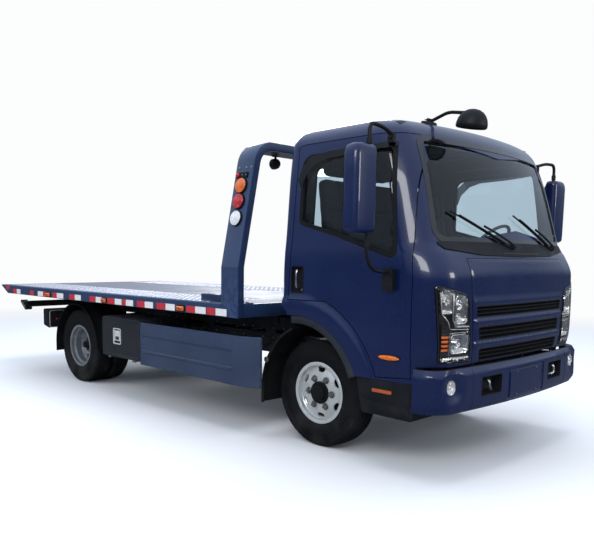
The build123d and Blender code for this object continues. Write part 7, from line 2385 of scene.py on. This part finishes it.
def makeBedFrame():
    s = bedSizes
    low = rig.box("bed_frame")[0].z
    form = Form()
    for side in (-1, 1):
        def across(first, second):
            return sorted((side * first, side * second))

        # Sill flanges, web and cross members take the darker under-deck copy of the bed paint, painted shade
        y0, y1 = across(0.305, 0.375)
        for z0, z1 in ((low, low + 0.009), (s["sillLow"] - 0.009, s["sillLow"])):
            form.box((ahead(s["wedge"]), y0, z0), (ahead(s["front"] - 0.06), y1, z1), 1, 0.0015)
        y0, y1 = across(0.336, 0.344)
        form.box((ahead(s["wedge"]), y0, low), (ahead(s["front"] - 0.06), y1, s["sillLow"]), 1)
        # Rail: a folded channel with rounded outer corners
        section = rounded([(s["half"] - 0.050, s["railLow"]), (s["half"], s["railLow"]), (s["half"], s["top"]),
                           (s["half"] - 0.050, s["top"])], [0.003, 0.007, 0.009, 0.003], 4)
        loops = []
        for x in (s["wedge"], s["wedge"] + 0.001, s["archRear"] - 0.001, s["archRear"]):
            loops.append([(ahead(x), side * y, z) for y, z in section])
        form.rings(loops, 0)
    pitch = (s["front"] - 0.26 - s["wedge"] - 0.16) / 8
    for i in range(9):
        x = s["wedge"] + 0.16 + i * pitch
        shape = [(x - 0.025, 0.930), (x + 0.025, 0.930), (x + 0.025, 0.936), (x - 0.019, 0.936), (x - 0.019, 0.984),
                 (x + 0.025, 0.984), (x + 0.025, 0.990), (x - 0.025, 0.990)]
        form.plate(aheadAll(shape), -1.101, 2.202, 1)
    # Front beam with the tunnel over the slide cylinder
    notch, roof = 0.055, 0.931
    shape = [(-1.080, 0.898), (-notch, 0.898), (-notch, roof), (notch, roof), (notch, 0.898), (1.080, 0.898),
             (1.080, 0.998), (-1.080, 0.998)]
    form.slab(rounded(shape, [0.004, 0.003, 0.02, 0.02, 0.003, 0.004, 0.008, 0.008], 4), ahead(s["front"] - 0.06),
              0.06, 0, 0.003)
    form.box((ahead(s["deckFront"] + 0.0003), -1.079, 0.990), (ahead(s["front"] - 0.059), 1.079, 0.998), 2)
    shape = rounded([(ahead(s["wedge"]), 0.998), (ahead(s["tail"]), 0.996), (ahead(s["tail"]), 0.984),
                     (ahead(s["wedge"]), 0.898)], [0, 0.005, 0.005, 0], 4)
    form.plate(shape, -s["half"], 2 * s["half"], 0, 0.003)
    # Small box on the deck beside the arch's right foot
    form.plate(rounded([(ahead(-1.090), 0.998), (ahead(-0.840), 0.998), (ahead(-0.840), 1.056), (ahead(-1.090), 1.056)],
                       [0, 0, 0.012, 0.012], 4), -1.066, 0.075, 0, 0.003)
    for x in (-1.04, -0.89):
        form.nut((ahead(x), -1.028, 1.056), (0, 0, 1), 0.009, 0.006, 3)
    form.save("bedFrame", "bed", "bed_blue", ("bedPaint", "bedUnder", "deckPlate", "zincPlate"), ("bed_frame",),
              sharp=34)

    form = Form()
    kinds = {"white": 0, "red": 1}
    for side in (-1, 1):
        for kind, rear, front in tapeRows:
            if kind == "amber":
                middle, half = (rear + front) / 2, (front - rear) / 2
                shape = rounded([(middle - half, 0.904), (middle + half, 0.904), (middle + half, 0.956),
                                 (middle - half, 0.956)], 0.014, 4)
                base = []
                for grow, out in ((0.0, -0.002), (0.0, 0.006), (-0.003, 0.009), (-0.007, 0.009)):
                    base.append([(ahead(a), side * (s["half"] + out), b) for a, b in grown(shape, grow)])
                form.rings(base, 2, False)
                dome = []
                for grow, out in ((-0.007, 0.006), (-0.0075, 0.013), (-0.010, 0.018), (-0.016, 0.0215),
                                  (-0.021, 0.0225)):
                    dome.append([(ahead(a), side * (s["half"] + out), b) for a, b in grown(shape, grow)])
                form.rings(dome, 3, False)
                form.add(dome[-1], [tuple(range(len(dome[-1])))], 3)
                continue
            z0, z1 = (0.945, 0.984) if rear < s["wedge"] else (0.9035, 0.957)
            shape = rounded([(rear + 0.0006, z0), (front - 0.0006, z0), (front - 0.0006, z1), (rear + 0.0006, z1)],
                            0.0015, 2)
            loops = []
            for grow, out in ((0.0, -0.0003), (0.0, 0.0007), (-0.0005, 0.0011)):
                loops.append([(ahead(a), side * (s["half"] + out), b) for a, b in grown(shape, grow)])
            form.rings(loops, kinds[kind], False)
            form.add(loops[-1], [tuple(range(len(loops[-1])))], kinds[kind])
    form.save("railTape", "bed", "bed_blue", ("whiteTape", "redTape", "rubber", "amberGlow"), sharp=40)


def makeDeck():
    s = bedSizes
    net = bmesh.new()
    half = s["half"] - 0.050
    points = [
        (ahead(x), y, z)
        for x in (s["wedge"], s["deckFront"]) for y in (-half, half) for z in (s["top"] - 0.008, s["top"])
    ]
    made = [net.verts.new(point) for point in points]
    for face in ((0, 1, 3, 2), (4, 6, 7, 5), (0, 4, 5, 1), (2, 3, 7, 6), (0, 2, 6, 4), (1, 5, 7, 3)):
        net.faces.new([made[i] for i in face])
    bmesh.ops.recalc_face_normals(net, faces=net.faces[:])
    base = bpy.data.meshes.new("deckBase")
    net.to_mesh(base)
    net.free()

    # One raised lozenge, then Geometry Nodes set it in rows, every second one turned the other way
    long, wide, tall = 0.0200, 0.0066, 0.0026
    shape = [(-long, 0), (-long * 0.45, -wide * 0.85), (long * 0.45, -wide * 0.85), (long, 0),
             (long * 0.45, wide * 0.85), (-long * 0.45, wide * 0.85)]
    lozenge = bpy.data.meshes.new("lozenge")
    lozenge.from_pydata(
        [(x, y, -0.0003) for x, y in shape] + [(-long * 0.55, 0, tall), (long * 0.55, 0, tall)], [],
        [(0, 1, 6), (1, 2, 7, 6), (2, 3, 7), (3, 4, 7), (4, 5, 6, 7), (5, 0, 6)],
    )
    stud = bpy.data.objects.new("lozenge", lozenge)
    holder = bpy.data.objects.new("deckHolder", bpy.data.meshes.new("deckHolder"))
    scene.collection.objects.link(holder)
    tree = bpy.data.node_groups.new("deckTread", "GeometryNodeTree")
    for label, kind in (("Geometry", "NodeSocketGeometry"), ("Stud", "NodeSocketObject"), ("Pitch", "NodeSocketFloat"),
                        ("Length", "NodeSocketFloat"), ("Width", "NodeSocketFloat"), ("Smooth Half", "NodeSocketFloat"),
                        ("Finish", "NodeSocketMaterial")):
        tree.interface.new_socket(label, in_out="INPUT", socket_type=kind)
    tree.interface.new_socket("Geometry", in_out="OUTPUT", socket_type="NodeSocketGeometry")
    given = tree.nodes.new("NodeGroupInput").outputs
    result = tree.nodes.new("NodeGroupOutput").inputs

    def node(kind, **settings):
        made = tree.nodes.new(kind)
        for label, value in settings.items():
            setattr(made, label, value)
        return made

    def link(source, target):
        tree.links.new(source, target)

    def math(operation, first, second):
        made = node("ShaderNodeMath", operation=operation)
        for socket, value in zip(made.inputs, (first, second)):
            if isinstance(value, bpy.types.NodeSocket):
                link(value, socket)
            else:
                socket.default_value = value
        return made.outputs[0]

    grid = node("GeometryNodeMeshGrid")
    link(given["Length"], grid.inputs["Size X"])
    link(given["Width"], grid.inputs["Size Y"])
    link(math("ADD", math("ROUND", math("DIVIDE", given["Length"], given["Pitch"]), 0.0), 1.0),
         grid.inputs["Vertices X"])
    link(math("ADD", math("ROUND", math("DIVIDE", given["Width"], given["Pitch"]), 0.0), 1.0),
         grid.inputs["Vertices Y"])
    place = node("GeometryNodeInputPosition")
    split = node("ShaderNodeSeparateXYZ")
    link(place.outputs[0], split.inputs[0])
    middle = math("LESS_THAN", math("ABSOLUTE", split.outputs["Y"], 0.0), given["Smooth Half"])
    keep = node("GeometryNodeDeleteGeometry", domain="POINT")
    link(grid.outputs["Mesh"], keep.inputs["Geometry"])
    link(middle, keep.inputs["Selection"])
    column = math("ROUND", math("DIVIDE", split.outputs["X"], given["Pitch"]), 0.0)
    row = math("ROUND", math("DIVIDE", split.outputs["Y"], given["Pitch"]), 0.0)
    odd = math("ABSOLUTE", math("MODULO", math("ADD", column, row), 2.0), 0.0)
    spin = node("ShaderNodeCombineXYZ")
    link(math("MULTIPLY", math("SUBTRACT", odd, 0.5), pi / 2), spin.inputs["Z"])
    stamp = node("GeometryNodeInstanceOnPoints")
    source = node("GeometryNodeObjectInfo")
    link(given["Stud"], source.inputs["Object"])
    link(keep.outputs[0], stamp.inputs["Points"])
    link(source.outputs["Geometry"], stamp.inputs["Instance"])
    link(spin.outputs[0], stamp.inputs["Rotation"])
    real = node("GeometryNodeRealizeInstances")
    link(stamp.outputs[0], real.inputs[0])
    coat = node("GeometryNodeSetMaterial")
    link(real.outputs[0], coat.inputs["Geometry"])
    link(given["Finish"], coat.inputs["Material"])
    link(coat.outputs[0], result[0])
    modifier = holder.modifiers.new("tread", "NODES")
    modifier.node_group = tree
    length = s["deckFront"] - s["wedge"] - 0.03
    values = {"Stud": stud, "Pitch": 0.0370, "Length": length, "Width": 2 * half - 0.03, "Smooth Half": s["smoothHalf"],
              "Finish": finish["deckStud"]}
    for item in tree.interface.items_tree:
        if item.in_out == "INPUT" and item.name in values:
            modifier[item.identifier] = values[item.name]
    bpy.context.view_layer.update()
    evaluated = holder.evaluated_get(bpy.context.evaluated_depsgraph_get())
    tread = bpy.data.meshes.new_from_object(evaluated)
    tread.transform(Matrix.Translation((ahead((s["wedge"] + s["deckFront"]) / 2), 0, s["top"])))
    bpy.data.objects.remove(holder)
    bpy.data.objects.remove(stud)
    net = bmesh.new()
    net.from_mesh(base)
    net.from_mesh(tread)
    plain = len(base.polygons)
    for index, face in enumerate(net.faces):
        face.material_index = int(index >= plain)
    mesh = bpy.data.meshes.new("deckSheet")
    net.to_mesh(mesh)
    net.free()
    finishPiece("deckSheet", mesh, "bed", "deck_plate", ("deckPlate", "deckStud"), ("deck",), sharp=20)
    # Weld seams where the smooth sheets meet the chequered ones, and two seams across the deck
    form = Form()
    for y in (-s["smoothHalf"] + 0.014, s["smoothHalf"] - 0.014):
        form.rod((ahead(s["wedge"] + 0.004), y, s["top"]), (ahead(s["deckFront"] - 0.004), y, s["top"]), 0.0022, 0, 8)
    for x in (-3.45, -2.2):
        form.rod((ahead(x), -half + 0.004, s["top"]), (ahead(x), half - 0.004, s["top"]), 0.0018, 0, 8)
    form.save("deckSeams", "bed", "deck_plate", ("deckPlate",))


def makeArch():
    s = bedSizes
    shrink = 0.066
    lean = 0.150 / 0.738
    apex = 1.000 - lean * 0.195

    def face(z):
        # The legs lean inward as they rise
        return 1.000 + lean * (2.010 - z)

    def path(inset, corner):
        top = 2.205 - inset
        low, high = s["half"] - inset, apex - inset + lean * inset
        bend = 0.045
        return rounded([(-low, 0.898), (-low, 1.272), (-high, top), (high, top), (low, 1.272), (low, 0.898)],
                       [0, bend, corner, corner, bend, 0], 12)

    outer, inner = path(0.0, 0.190), path(shrink, 0.124)
    x0, x1, edge = ahead(s["archRear"]), ahead(s["front"]), 0.009
    loops = []
    for (ya, za), (yb, zb) in zip(outer, inner):
        out = Vector((0, ya - yb, za - zb)).normalized()
        far, near = Vector((0, ya, za)), Vector((0, yb, zb))
        section = []
        for x, base in ((x0, far), (x1, far), (x1, near), (x0, near)):
            # Each corner of the box section is rounded in three steps
            inward = 1 if x == x0 else -1
            down = -1 if base is far else 1
            steps = ((0.0, 1.0), (0.29, 0.29), (1.0, 0.0))
            if x == x1 or base is near:
                steps = steps[::-1]
            for a, b in steps:
                section.append(Vector((x + inward * edge * a, 0, 0)) + base + out * down * edge * b)
        loops.append(section)
    form = Form()
    form.rings(loops, 0)
    for side in (-1, 1):
        axis = Vector((0, side, lean)).normalized()
        for dx in (0.040, 0.118, 0.172):
            z = 2.008
            y = face(z)
            form.revolve([(-0.001, 0.0085), (0.003, 0.0085), (0.0055, 0.005), (0.006, 0.0005)],
                         (x0 + dx, side * y, z), axis, 1, 14)
        # Foot plate and gusset inside the leg
        low, high = sorted((side * 0.985, side * 1.083))
        form.box((x0 + 0.006, low, 0.998), (x1 - 0.006, high, 1.006), 0, 0.002)
        for dx in (0.03, 0.165):
            form.nut((x0 + dx, side * 1.025, 1.006), (0, 0, 1), 0.012, 0.009, 1)
        gusset = [(side * 1.0845, 1.006), (side * 1.0, 1.006), (side * 1.0, 1.016), (side * 1.074, 1.10),
                  (side * 1.0845, 1.10)]
        form.slab(gusset, x0 + 0.093, 0.008, 0, 0.001)
    form.save("archFrame", "bed", "bed_blue", ("bedPaint", "zincPlate"), ("bed_arch",), sharp=36)

    form = Form()
    middle = (x0 + x1) / 2
    for z, kind in ((1.873, 2), (1.757, 3), (1.632, 4)):
        for side in (-1, 1):
            axis = Vector((0, side, lean)).normalized()
            spot = (middle, side * face(z), z)
            form.revolve([(0.0003, 0.0600), (0.013, 0.0600), (0.0165, 0.0585), (0.0175, 0.0560), (0.0165, 0.0530)],
                         spot, axis, 0, 40)
            dome = [(0.012, 0.0555), (0.0195, 0.0545)]
            for i in range(7):
                r = 0.052 - i * 0.0074
                a = 0.0195 + 0.0255 * (1 - (r / 0.055) ** 2)
                dome += [(a, r), (a + 0.0006, r - 0.0052)]
            dome += [(0.0452, 0.0006)]
            form.revolve(dome, spot, axis, kind, 40)
    # Small red marker on a black bracket over the domed lamps
    for side in (-1, 1):
        axis = Vector((0, side, lean)).normalized()
        z = 1.951
        y = side * face(z)
        turned = Matrix.Translation((0, y, z)) @ Vector((0, side, 0)).rotation_difference(axis).to_matrix().to_4x4()
        low, high = sorted((side * -0.001, side * 0.012))
        form.box((x0 + 0.030, low, -0.020), (x0 + 0.150, high, 0.020), 0, 0.004, turned)
        form.revolve([(0.010, 0.0175), (0.020, 0.0170), (0.026, 0.0125), (0.0285, 0.006), (0.029, 0.0005)],
                     (x0 + 0.048, y, z), axis, 3, 24)
        for dx in (0.095, 0.135):
            form.revolve([(0.010, 0.005), (0.0135, 0.005), (0.0145, 0.003), (0.0145, 0.0004)], (x0 + dx, y, z), axis,
                         1, 12)
        # Round work lamp under the crossbar
        y = side * 0.626
        start = x0 + 0.010
        form.revolve([(0.060, 0.0005), (0.060, 0.018), (0.057, 0.030), (0.046, 0.038), (0.030, 0.0415), (0.004, 0.042),
                      (0.0, 0.040), (0.0, 0.0365), (0.004, 0.0355)], (start, y, 2.078), (1, 0, 0), 0, 32)
        form.revolve([(0.004, 0.0357), (0.0025, 0.030), (0.0015, 0.018), (0.001, 0.0005)], (start, y, 2.078),
                     (1, 0, 0), 4, 32)
        form.rod((start + 0.030, y, 2.108), (start + 0.030, y, 2.139), 0.009, 0, 16)
        form.box((start + 0.012, y - 0.022, 2.132), (start + 0.048, y + 0.022, 2.139), 0, 0.002)
    form.save("archLamps", "bed", "arch_lamp", ("trimBlack", "zincPlate", "amberGlow", "redLamp", "whiteLamp"),
              ("bed_arch_lamps",), sharp=26)


def makeWinch():
    x, z, half = ahead(-0.820), 1.090, 0.150
    form = Form()
    for y in (-half - 0.024, half + 0.006):
        shape = rounded([(x - 0.080, 0.998), (x + 0.080, 0.998), (x + 0.080, 1.105), (x + 0.048, 1.152),
                         (x - 0.048, 1.152), (x - 0.080, 1.105)], [0.004, 0.004, 0.02, 0.02, 0.02, 0.02], 4)
        form.plate(shape, y, 0.018, 0, 0.002)
    for base in (x - 0.076, x + 0.060):
        form.box((base, -half - 0.024, 0.998), (base + 0.016, half + 0.024, 1.016), 0, 0.002)
    for dx, dz in ((-0.055, 0.046), (0.055, 0.046)):
        form.rod((x + dx, -half - 0.03, z + dz), (x + dx, half + 0.03, z + dz), 0.008, 1, 16, 0.001)
        for y, way in ((-half - 0.024, -1), (half + 0.024, 1)):
            form.nut((x + dx, y, z + dz), (0, way, 0), 0.013, 0.009, 1)
    motor = [(-half - 0.020, 0.055), (-half - 0.030, 0.055), (-half - 0.034, 0.050)]
    for i in range(7):
        a = -half - 0.040 - i * 0.011
        motor += [(a, 0.050), (a - 0.001, 0.0545), (a - 0.006, 0.0545), (a - 0.007, 0.050)]
    motor += [(-half - 0.118, 0.050), (-half - 0.122, 0.054), (-half - 0.128, 0.052), (-half - 0.130, 0.044),
              (-half - 0.130, 0.0006)]
    form.revolve(motor, (x, 0, z), (0, 1, 0), 2, 36)
    form.revolve([(half + 0.020, 0.062), (half + 0.066, 0.062), (half + 0.070, 0.058), (half + 0.072, 0.046),
                  (half + 0.086, 0.044), (half + 0.090, 0.040), (half + 0.090, 0.0006)], (x, 0, z), (0, 1, 0), 2, 36)
    for i in range(6):
        angle = 2 * pi * i / 6
        form.nut((x + 0.053 * cos(angle), half + 0.071, z + 0.053 * sin(angle)), (0, 1, 0), 0.006, 0.004, 1)
    form.rod((x, -half - 0.01, z), (x, half + 0.01, z), 0.020, 1, 24)
    # Free-spool lever
    form.rod((x + 0.02, half + 0.058, z + 0.055), (x + 0.02, half + 0.064, z + 0.112), 0.005, 1, 12)
    form.ball((x + 0.02, half + 0.0645, z + 0.118), 0.011, 3, 14)
    form.save("winchBody", "bed", "chassis_black", ("castBlack", "zincPlate", "castBlack", "redLamp"), ("winch",),
              sharp=36)

    form = Form()
    form.revolve([(-half + 0.006, 0.0216), (-half + 0.006, 0.052), (half - 0.006, 0.052), (half - 0.006, 0.0216),
                  (-half + 0.006, 0.0216)], (x, 0, z), (0, 1, 0), 0, 40)
    for y in (-half, half - 0.008):
        form.revolve([(y, 0.0216), (y, 0.064), (y + 0.001, 0.066), (y + 0.007, 0.066), (y + 0.008, 0.064),
                      (y + 0.008, 0.0216), (y, 0.0216)], (x, 0, z), (0, 1, 0), 0, 40)
    turns = 23
    for i in range(turns):
        y = -half + 0.0145 + (2 * half - 0.029) * i / (turns - 1)
        ring = [(y + 0.0056 * cos(2 * pi * k / 10), 0.0572 + 0.0056 * sin(2 * pi * k / 10)) for k in range(11)]
        form.revolve(ring, (x, 0, z), (0, 1, 0), 1, 36)
    form.save("winchDrum", "winch_drum", "chassis_black", ("castBlack", "wireRope"), ("winch_drum",), sharp=36,
              join=0.00001)


makeBedFrame()
makeDeck()
makeArch()
makeWinch()
print("stage: bed")


# Bright ends on the underlift's crossbar, and bolt heads along the rails, none behind the rear axle
boltRow = {"rear": -3.90, "pitch": 0.128, "count": 27, "heights": (0.66, 0.742), "face": 0.3759, "last": -3.3}


def makeUnderDetails():
    form = Form()
    for side in (-1, 1):
        outline = rounded([(ahead(-4.812), 0.801), (ahead(-4.825), 0.783), (ahead(-4.707), 0.696),
                           (ahead(-4.680), 0.708), (ahead(-4.698), 0.740)], 0.006, 3)
        form.plate(outline, min(side * 0.9445, side * 0.9475), 0.003, 0, 0.0008)
        low, high = sorted((side * 0.862, side * 0.944))
        form.box((ahead(-4.728), low, 0.7925), (ahead(-4.700), high, 0.7945), 0, 0.0008)
    form.save("crossbarEnds", "underlift_bar", "chassis_black", ("zincPlate",), sharp=38)
    form = Form()
    for side in (-1, 1):
        for i in range(boltRow["count"]):
            x = boltRow["rear"] + i * boltRow["pitch"]
            for z in boltRow["heights"]:
                if (i + int(z * 100)) % 3 and x > boltRow["last"]:
                    form.nut((ahead(x), side * boltRow["face"], z), (0, side, 0), 0.0085, 0.007, 0)
    form.save("frameBolts", "chassis", "chassis_black", ("zincPlate",), sharp=38)


makeUnderDetails()


# Interior: padded seats, dashboard and steering wheel
def swollen(name, mesh, voxel, cap):
    # Swells a closed shape with Cloth pressure, no further than the cap
    piece = bpy.data.objects.new(name, mesh)
    scene.collection.objects.link(piece)
    remesh = piece.modifiers.new("even", "REMESH")
    remesh.mode, remesh.voxel_size = "VOXEL", voxel
    bpy.context.view_layer.update()
    even = bpy.data.meshes.new_from_object(piece.evaluated_get(bpy.context.evaluated_depsgraph_get()))
    piece.modifiers.clear()
    piece.data = even
    before = np.zeros(len(even.vertices) * 3, np.float32)
    even.vertices.foreach_get("co", before)
    before = before.reshape(-1, 3)
    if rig.quick():
        return piece
    cloth = piece.modifiers.new("cloth", "CLOTH")
    cloth.settings.use_pressure = True
    cloth.settings.uniform_pressure_force = 4
    cloth.settings.effector_weights.gravity = 0
    cloth.settings.quality = 4
    for index in range(1, 21):
        scene.frame_set(index)
    puffed = bpy.data.meshes.new_from_object(piece.evaluated_get(bpy.context.evaluated_depsgraph_get()))
    piece.modifiers.clear()
    scene.frame_set(1)
    after = np.zeros(len(puffed.vertices) * 3, np.float32)
    puffed.vertices.foreach_get("co", after)
    after = after.reshape(-1, 3)
    move = after - before
    size = np.linalg.norm(move, axis=1, keepdims=True)
    after = before + move * np.minimum(1.0, cap / np.maximum(size, 1e-9))
    puffed.vertices.foreach_set("co", after.ravel())
    piece.data = puffed
    return piece


def channelled(piece, across, up, out, lines, rows, depth, width=0.009):
    # Presses sewn channels into the side that faces out: lines run along up, rows along across
    mesh = piece.data
    count = len(mesh.vertices)
    co, normals = np.zeros(count * 3, np.float32), np.zeros(count * 3, np.float32)
    mesh.vertices.foreach_get("co", co)
    mesh.vertices.foreach_get("normal", normals)
    co, normals = co.reshape(-1, 3), normals.reshape(-1, 3)
    across, up, out = np.array(across), np.array(up), np.array(out)
    facing = np.clip(normals @ out, 0, 1) ** 0.5
    a, b = co @ across, co @ up
    press = np.zeros(count)
    for place in lines:
        press = np.maximum(press, np.exp(-((a - place) / width) ** 2))
    for place in rows:
        press = np.maximum(press, np.exp(-((b - place) / width) ** 2))
    co = co - normals * (press * facing * depth)[:, None]
    mesh.vertices.foreach_set("co", co.ravel().astype(np.float32))


def cushionShape(low, high, radius, turned=None):
    form = Form()
    form.box(low, high, 0, 0.0)
    bmesh.ops.subdivide_edges(form.net, edges=form.net.edges[:], cuts=5, use_grid_fill=True)
    bmesh.ops.bevel(form.net, geom=[e for e in form.net.edges if e.calc_face_angle(0) > 0.5], offset=radius, segments=4,
                    affect="EDGES", profile=0.5)
    if turned is not None:
        for vert in form.net.verts:
            vert.co = turned @ vert.co
    mesh = bpy.data.meshes.new("cushion")
    form.net.to_mesh(mesh)
    form.net.free()
    return mesh


def makeSeats():
    backLean = atan2(0.08, 0.75)
    rows = (("driver", 0.250, 0.790, (0.385, 0.655)), ("double", -0.800, 0.190, (-0.665, -0.305, 0.055)))
    first = True
    for name, y0, y1, lines in rows:
        inset = 0.012
        cushion = cushionShape((ahead(-0.048), y0 + inset, 1.130), (ahead(0.408), y1 - inset, 1.228), 0.035)
        turned = Matrix.Translation((ahead(-0.050), 0, 1.245)) @ Matrix.Rotation(-backLean, 4, "Y")
        back = cushionShape((-0.010, y0 + inset, 0.0), (0.082, y1 - inset, 0.665), 0.036, turned)
        for part, mesh, axes in (
            ("Cushion", cushion, ((0, 1, 0), (1, 0, 0), (0, 0, 1), (ahead(0.12), ahead(0.30)))),
            ("Back", back, ((0, 1, 0), (0, 0, 1), (cos(backLean), 0, sin(backLean)), (1.46, 1.68))),
        ):
            piece = swollen(name + part, mesh, 0.0125, 0.014)
            across, up, out, seams = axes
            channelled(piece, across, up, out, lines, seams, 0.012)
            smooth = piece.modifiers.new("smooth", "SUBSURF")
            smooth.levels = smooth.render_levels = 1
            for face in piece.data.polygons:
                face.use_smooth = True
            piece.data.materials.clear()
            piece.data.materials.append(finish["seatCloth"])
            piece.name = name + "Seat" + part
            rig.ride(piece, "cab")
            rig.slot(piece, "seat_fabric")
            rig.padded(piece, fill=0.6)
            if first:
                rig.replaces(piece, "seats")
                first = False
        for y in ((y0 + y1) / 2,) if name == "driver" else (-0.56, -0.09):
            turned = Matrix.Translation((ahead(-0.128), y, 1.945)) @ Matrix.Rotation(-backLean, 4, "Y")
            piece = swollen("rest", cushionShape((-0.035, -0.125, -0.010), (0.050, 0.125, 0.150), 0.034, turned),
                            0.0125, 0.01)
            smooth = piece.modifiers.new("smooth", "SUBSURF")
            smooth.levels = smooth.render_levels = 1
            for face in piece.data.polygons:
                face.use_smooth = True
            piece.data.materials.append(finish["seatCloth"])
            piece.name = f"{name}Headrest{int(y > -0.3)}"
            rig.ride(piece, "cab")
            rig.slot(piece, "seat_fabric")
            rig.padded(piece, fill=0.7)
        form = Form()
        form.box((ahead(-0.040), y0 + 0.02, 1.041), (ahead(0.400), y1 - 0.02, 1.134), 0, 0.012)
        if name == "driver":
            for x in (0.02, 0.32):
                form.rod((ahead(x), y0 - 0.004, 1.09), (ahead(x), y0 + 0.03, 1.09), 0.018, 1, 16, 0.003)
        form.save(name + "SeatBase", "cab", "cabin_trim", ("cabinDark", "zincPlate"), sharp=40)


def makeDashboard():
    form = Form()
    shape = [(0.690, 1.180), (0.670, 1.330), (0.760, 1.410), (0.885, 1.395), (0.935, 1.330), (0.935, 0.900),
             (0.900, 0.900), (0.840, 1.150)]
    shape = rounded(aheadAll(shape), [0.03, 0.035, 0.045, 0.03, 0.01, 0, 0, 0.04], 6)
    form.plate(shape, -0.760, 1.520, 0, 0.006)
    form.box((ahead(0.900), -0.560, 0.851), (ahead(0.925), 0.560, 1.000), 0, 0.01)
    # Hood over the driver's dials, a centre stack and vents
    hood = rounded([(0.700, 1.350), (0.690, 1.425), (0.745, 1.462), (0.850, 1.440), (0.860, 1.380)],
                   [0.01, 0.02, 0.02, 0.02, 0.01], 5)
    form.plate(aheadAll(hood), 0.300, 0.400, 1, 0.012)
    tilt = Matrix.Translation((ahead(0.681), 0, 1.255)) @ Matrix.Rotation(radians(7.6), 4, "Y")
    form.box((-0.016, -0.135, -0.060), (0.012, 0.175, 0.062), 1, 0.006, tilt)
    form.box((-0.020, -0.115, -0.028), (-0.012, 0.065, 0.050), 2, 0.003, tilt)
    for i in range(3):
        form.revolve([(0.0, 0.013), (0.014, 0.0125), (0.016, 0.010), (0.016, 0.0005)],
                     tilt @ Vector((-0.018, 0.092 + 0.030 * i, -0.035)), (-1, 0, 0), 1, 20)
    for y in (-0.660, -0.330, 0.250, 0.660):
        form.box((-0.014, y - 0.055, 0.020), (0.010, y + 0.055, 0.060), 1, 0.005, tilt)
        for i in range(4):
            form.box((-0.0175, y - 0.047, 0.025 + i * 0.009), (-0.012, y + 0.047, 0.028 + i * 0.009), 3, 0.001, tilt)
    form.box((-0.004, -0.690, -0.062), (0.012, -0.300, -0.006), 0, 0.004, tilt)
    form.box((-0.009, -0.530, -0.022), (-0.002, -0.460, -0.012), 1, 0.002, tilt)
    form.save("dashboardTop", "cab", "cabin_trim", ("cabinDark", "cabinDark", "screenBlack", "trimBlack"),
              ("dashboard",), sharp=34)


def makeSteeringWheel():
    hub = Vector((ahead(0.520), 0.500, 1.452))
    out = Vector((cos(radians(42)), 0, -sin(radians(42))))
    up = Vector((0, 1, 0)).cross(out).normalized()
    if up.z < 0:
        up = -up
    side = Vector((0, 1, 0))
    form = Form()
    loops = []
    for i in range(73):
        angle = 2 * pi * i / 72
        ray = side * cos(angle) + up * sin(angle)
        ring = []
        for k in range(14):
            a = 2 * pi * k / 14
            grip = 0.0128 + (0.0014 * (1 if abs(cos(angle)) > 0.55 else 0))
            ring.append(hub + out * 0.001 + ray * (0.1985 + grip * cos(a)) + out * (grip * sin(a) * 0.86))
        loops.append(ring)
    form.rings(loops, 0, False)
    bmesh.ops.remove_doubles(form.net, verts=form.net.verts[:], dist=0.00001)
    for angle in (radians(8), radians(172), radians(270)):
        ray = side * cos(angle) + up * sin(angle)
        wide = out.cross(ray).normalized()
        loops = []
        for r, w, d in ((0.040, 0.026, 0.0), (0.090, 0.019, -0.002), (0.150, 0.014, -0.001), (0.192, 0.017, 0.0)):
            middle = hub + ray * r + out * d
            loops.append([
                middle + wide * w * cos(2 * pi * k / 12) + out * 0.0075 * sin(2 * pi * k / 12) for k in range(12)
            ])
        form.rings(loops, 1)
    form.revolve([(-0.017, 0.0006), (-0.0165, 0.030), (-0.013, 0.048), (-0.006, 0.056), (0.008, 0.058), (0.014, 0.050),
                  (0.020, 0.034), (0.060, 0.030), (0.066, 0.0195), (0.330, 0.0195), (0.330, 0.0006)], hub, out, 1, 40)
    form.save("steeringWheelRim", "steering_wheel", "trim_black", ("seatVinyl", "cabinDark"), ("steering_wheel",),
              sharp=34)


makeSeats()
makeDashboard()
makeSteeringWheel()
print("stage: interior")

# Finishes of the solids that stay as they are
solidFinishes = {
    "chassis_frame": "chassisPaint", "front_axle": "castBlack", "rear_axle": "castBlack", "leaf_springs": "castBlack",
    "engine": "castGrey", "driveline": "castBlack", "exhaust": "exhaustSteel", "fuel_tank": "boxGrey",
    "toolboxes": "boxGrey", "knuckle_right": "castBlack", "knuckle_left": "castBlack", "track_rod": "chassisPaint",
    "tilt_frame": "chassisPaint", "slide_cylinder": "glossBlack", "tilt_barrels": "glossBlack",
    "tilt_rods": "chromePlate",
    "underlift_boom": "chassisPaint", "underlift_bar": "castBlack", "slide_rod": "chromePlate",
}
for name, material in solidFinishes.items():
    for holder in nodes[name].material_slots:
        holder.material = finish[material]
shown = [name for name, solid in nodes.items() if not solid.hide_render and name not in solidFinishes]
print("stage: solids; without a finish:", shown)


dressed = [list(corner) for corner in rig.bounds()]
with open("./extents.json", "w") as file:
    json.dump({"cad": cadBox, "visual": dressed}, file)
print("stage: sizes", cadBox, dressed)
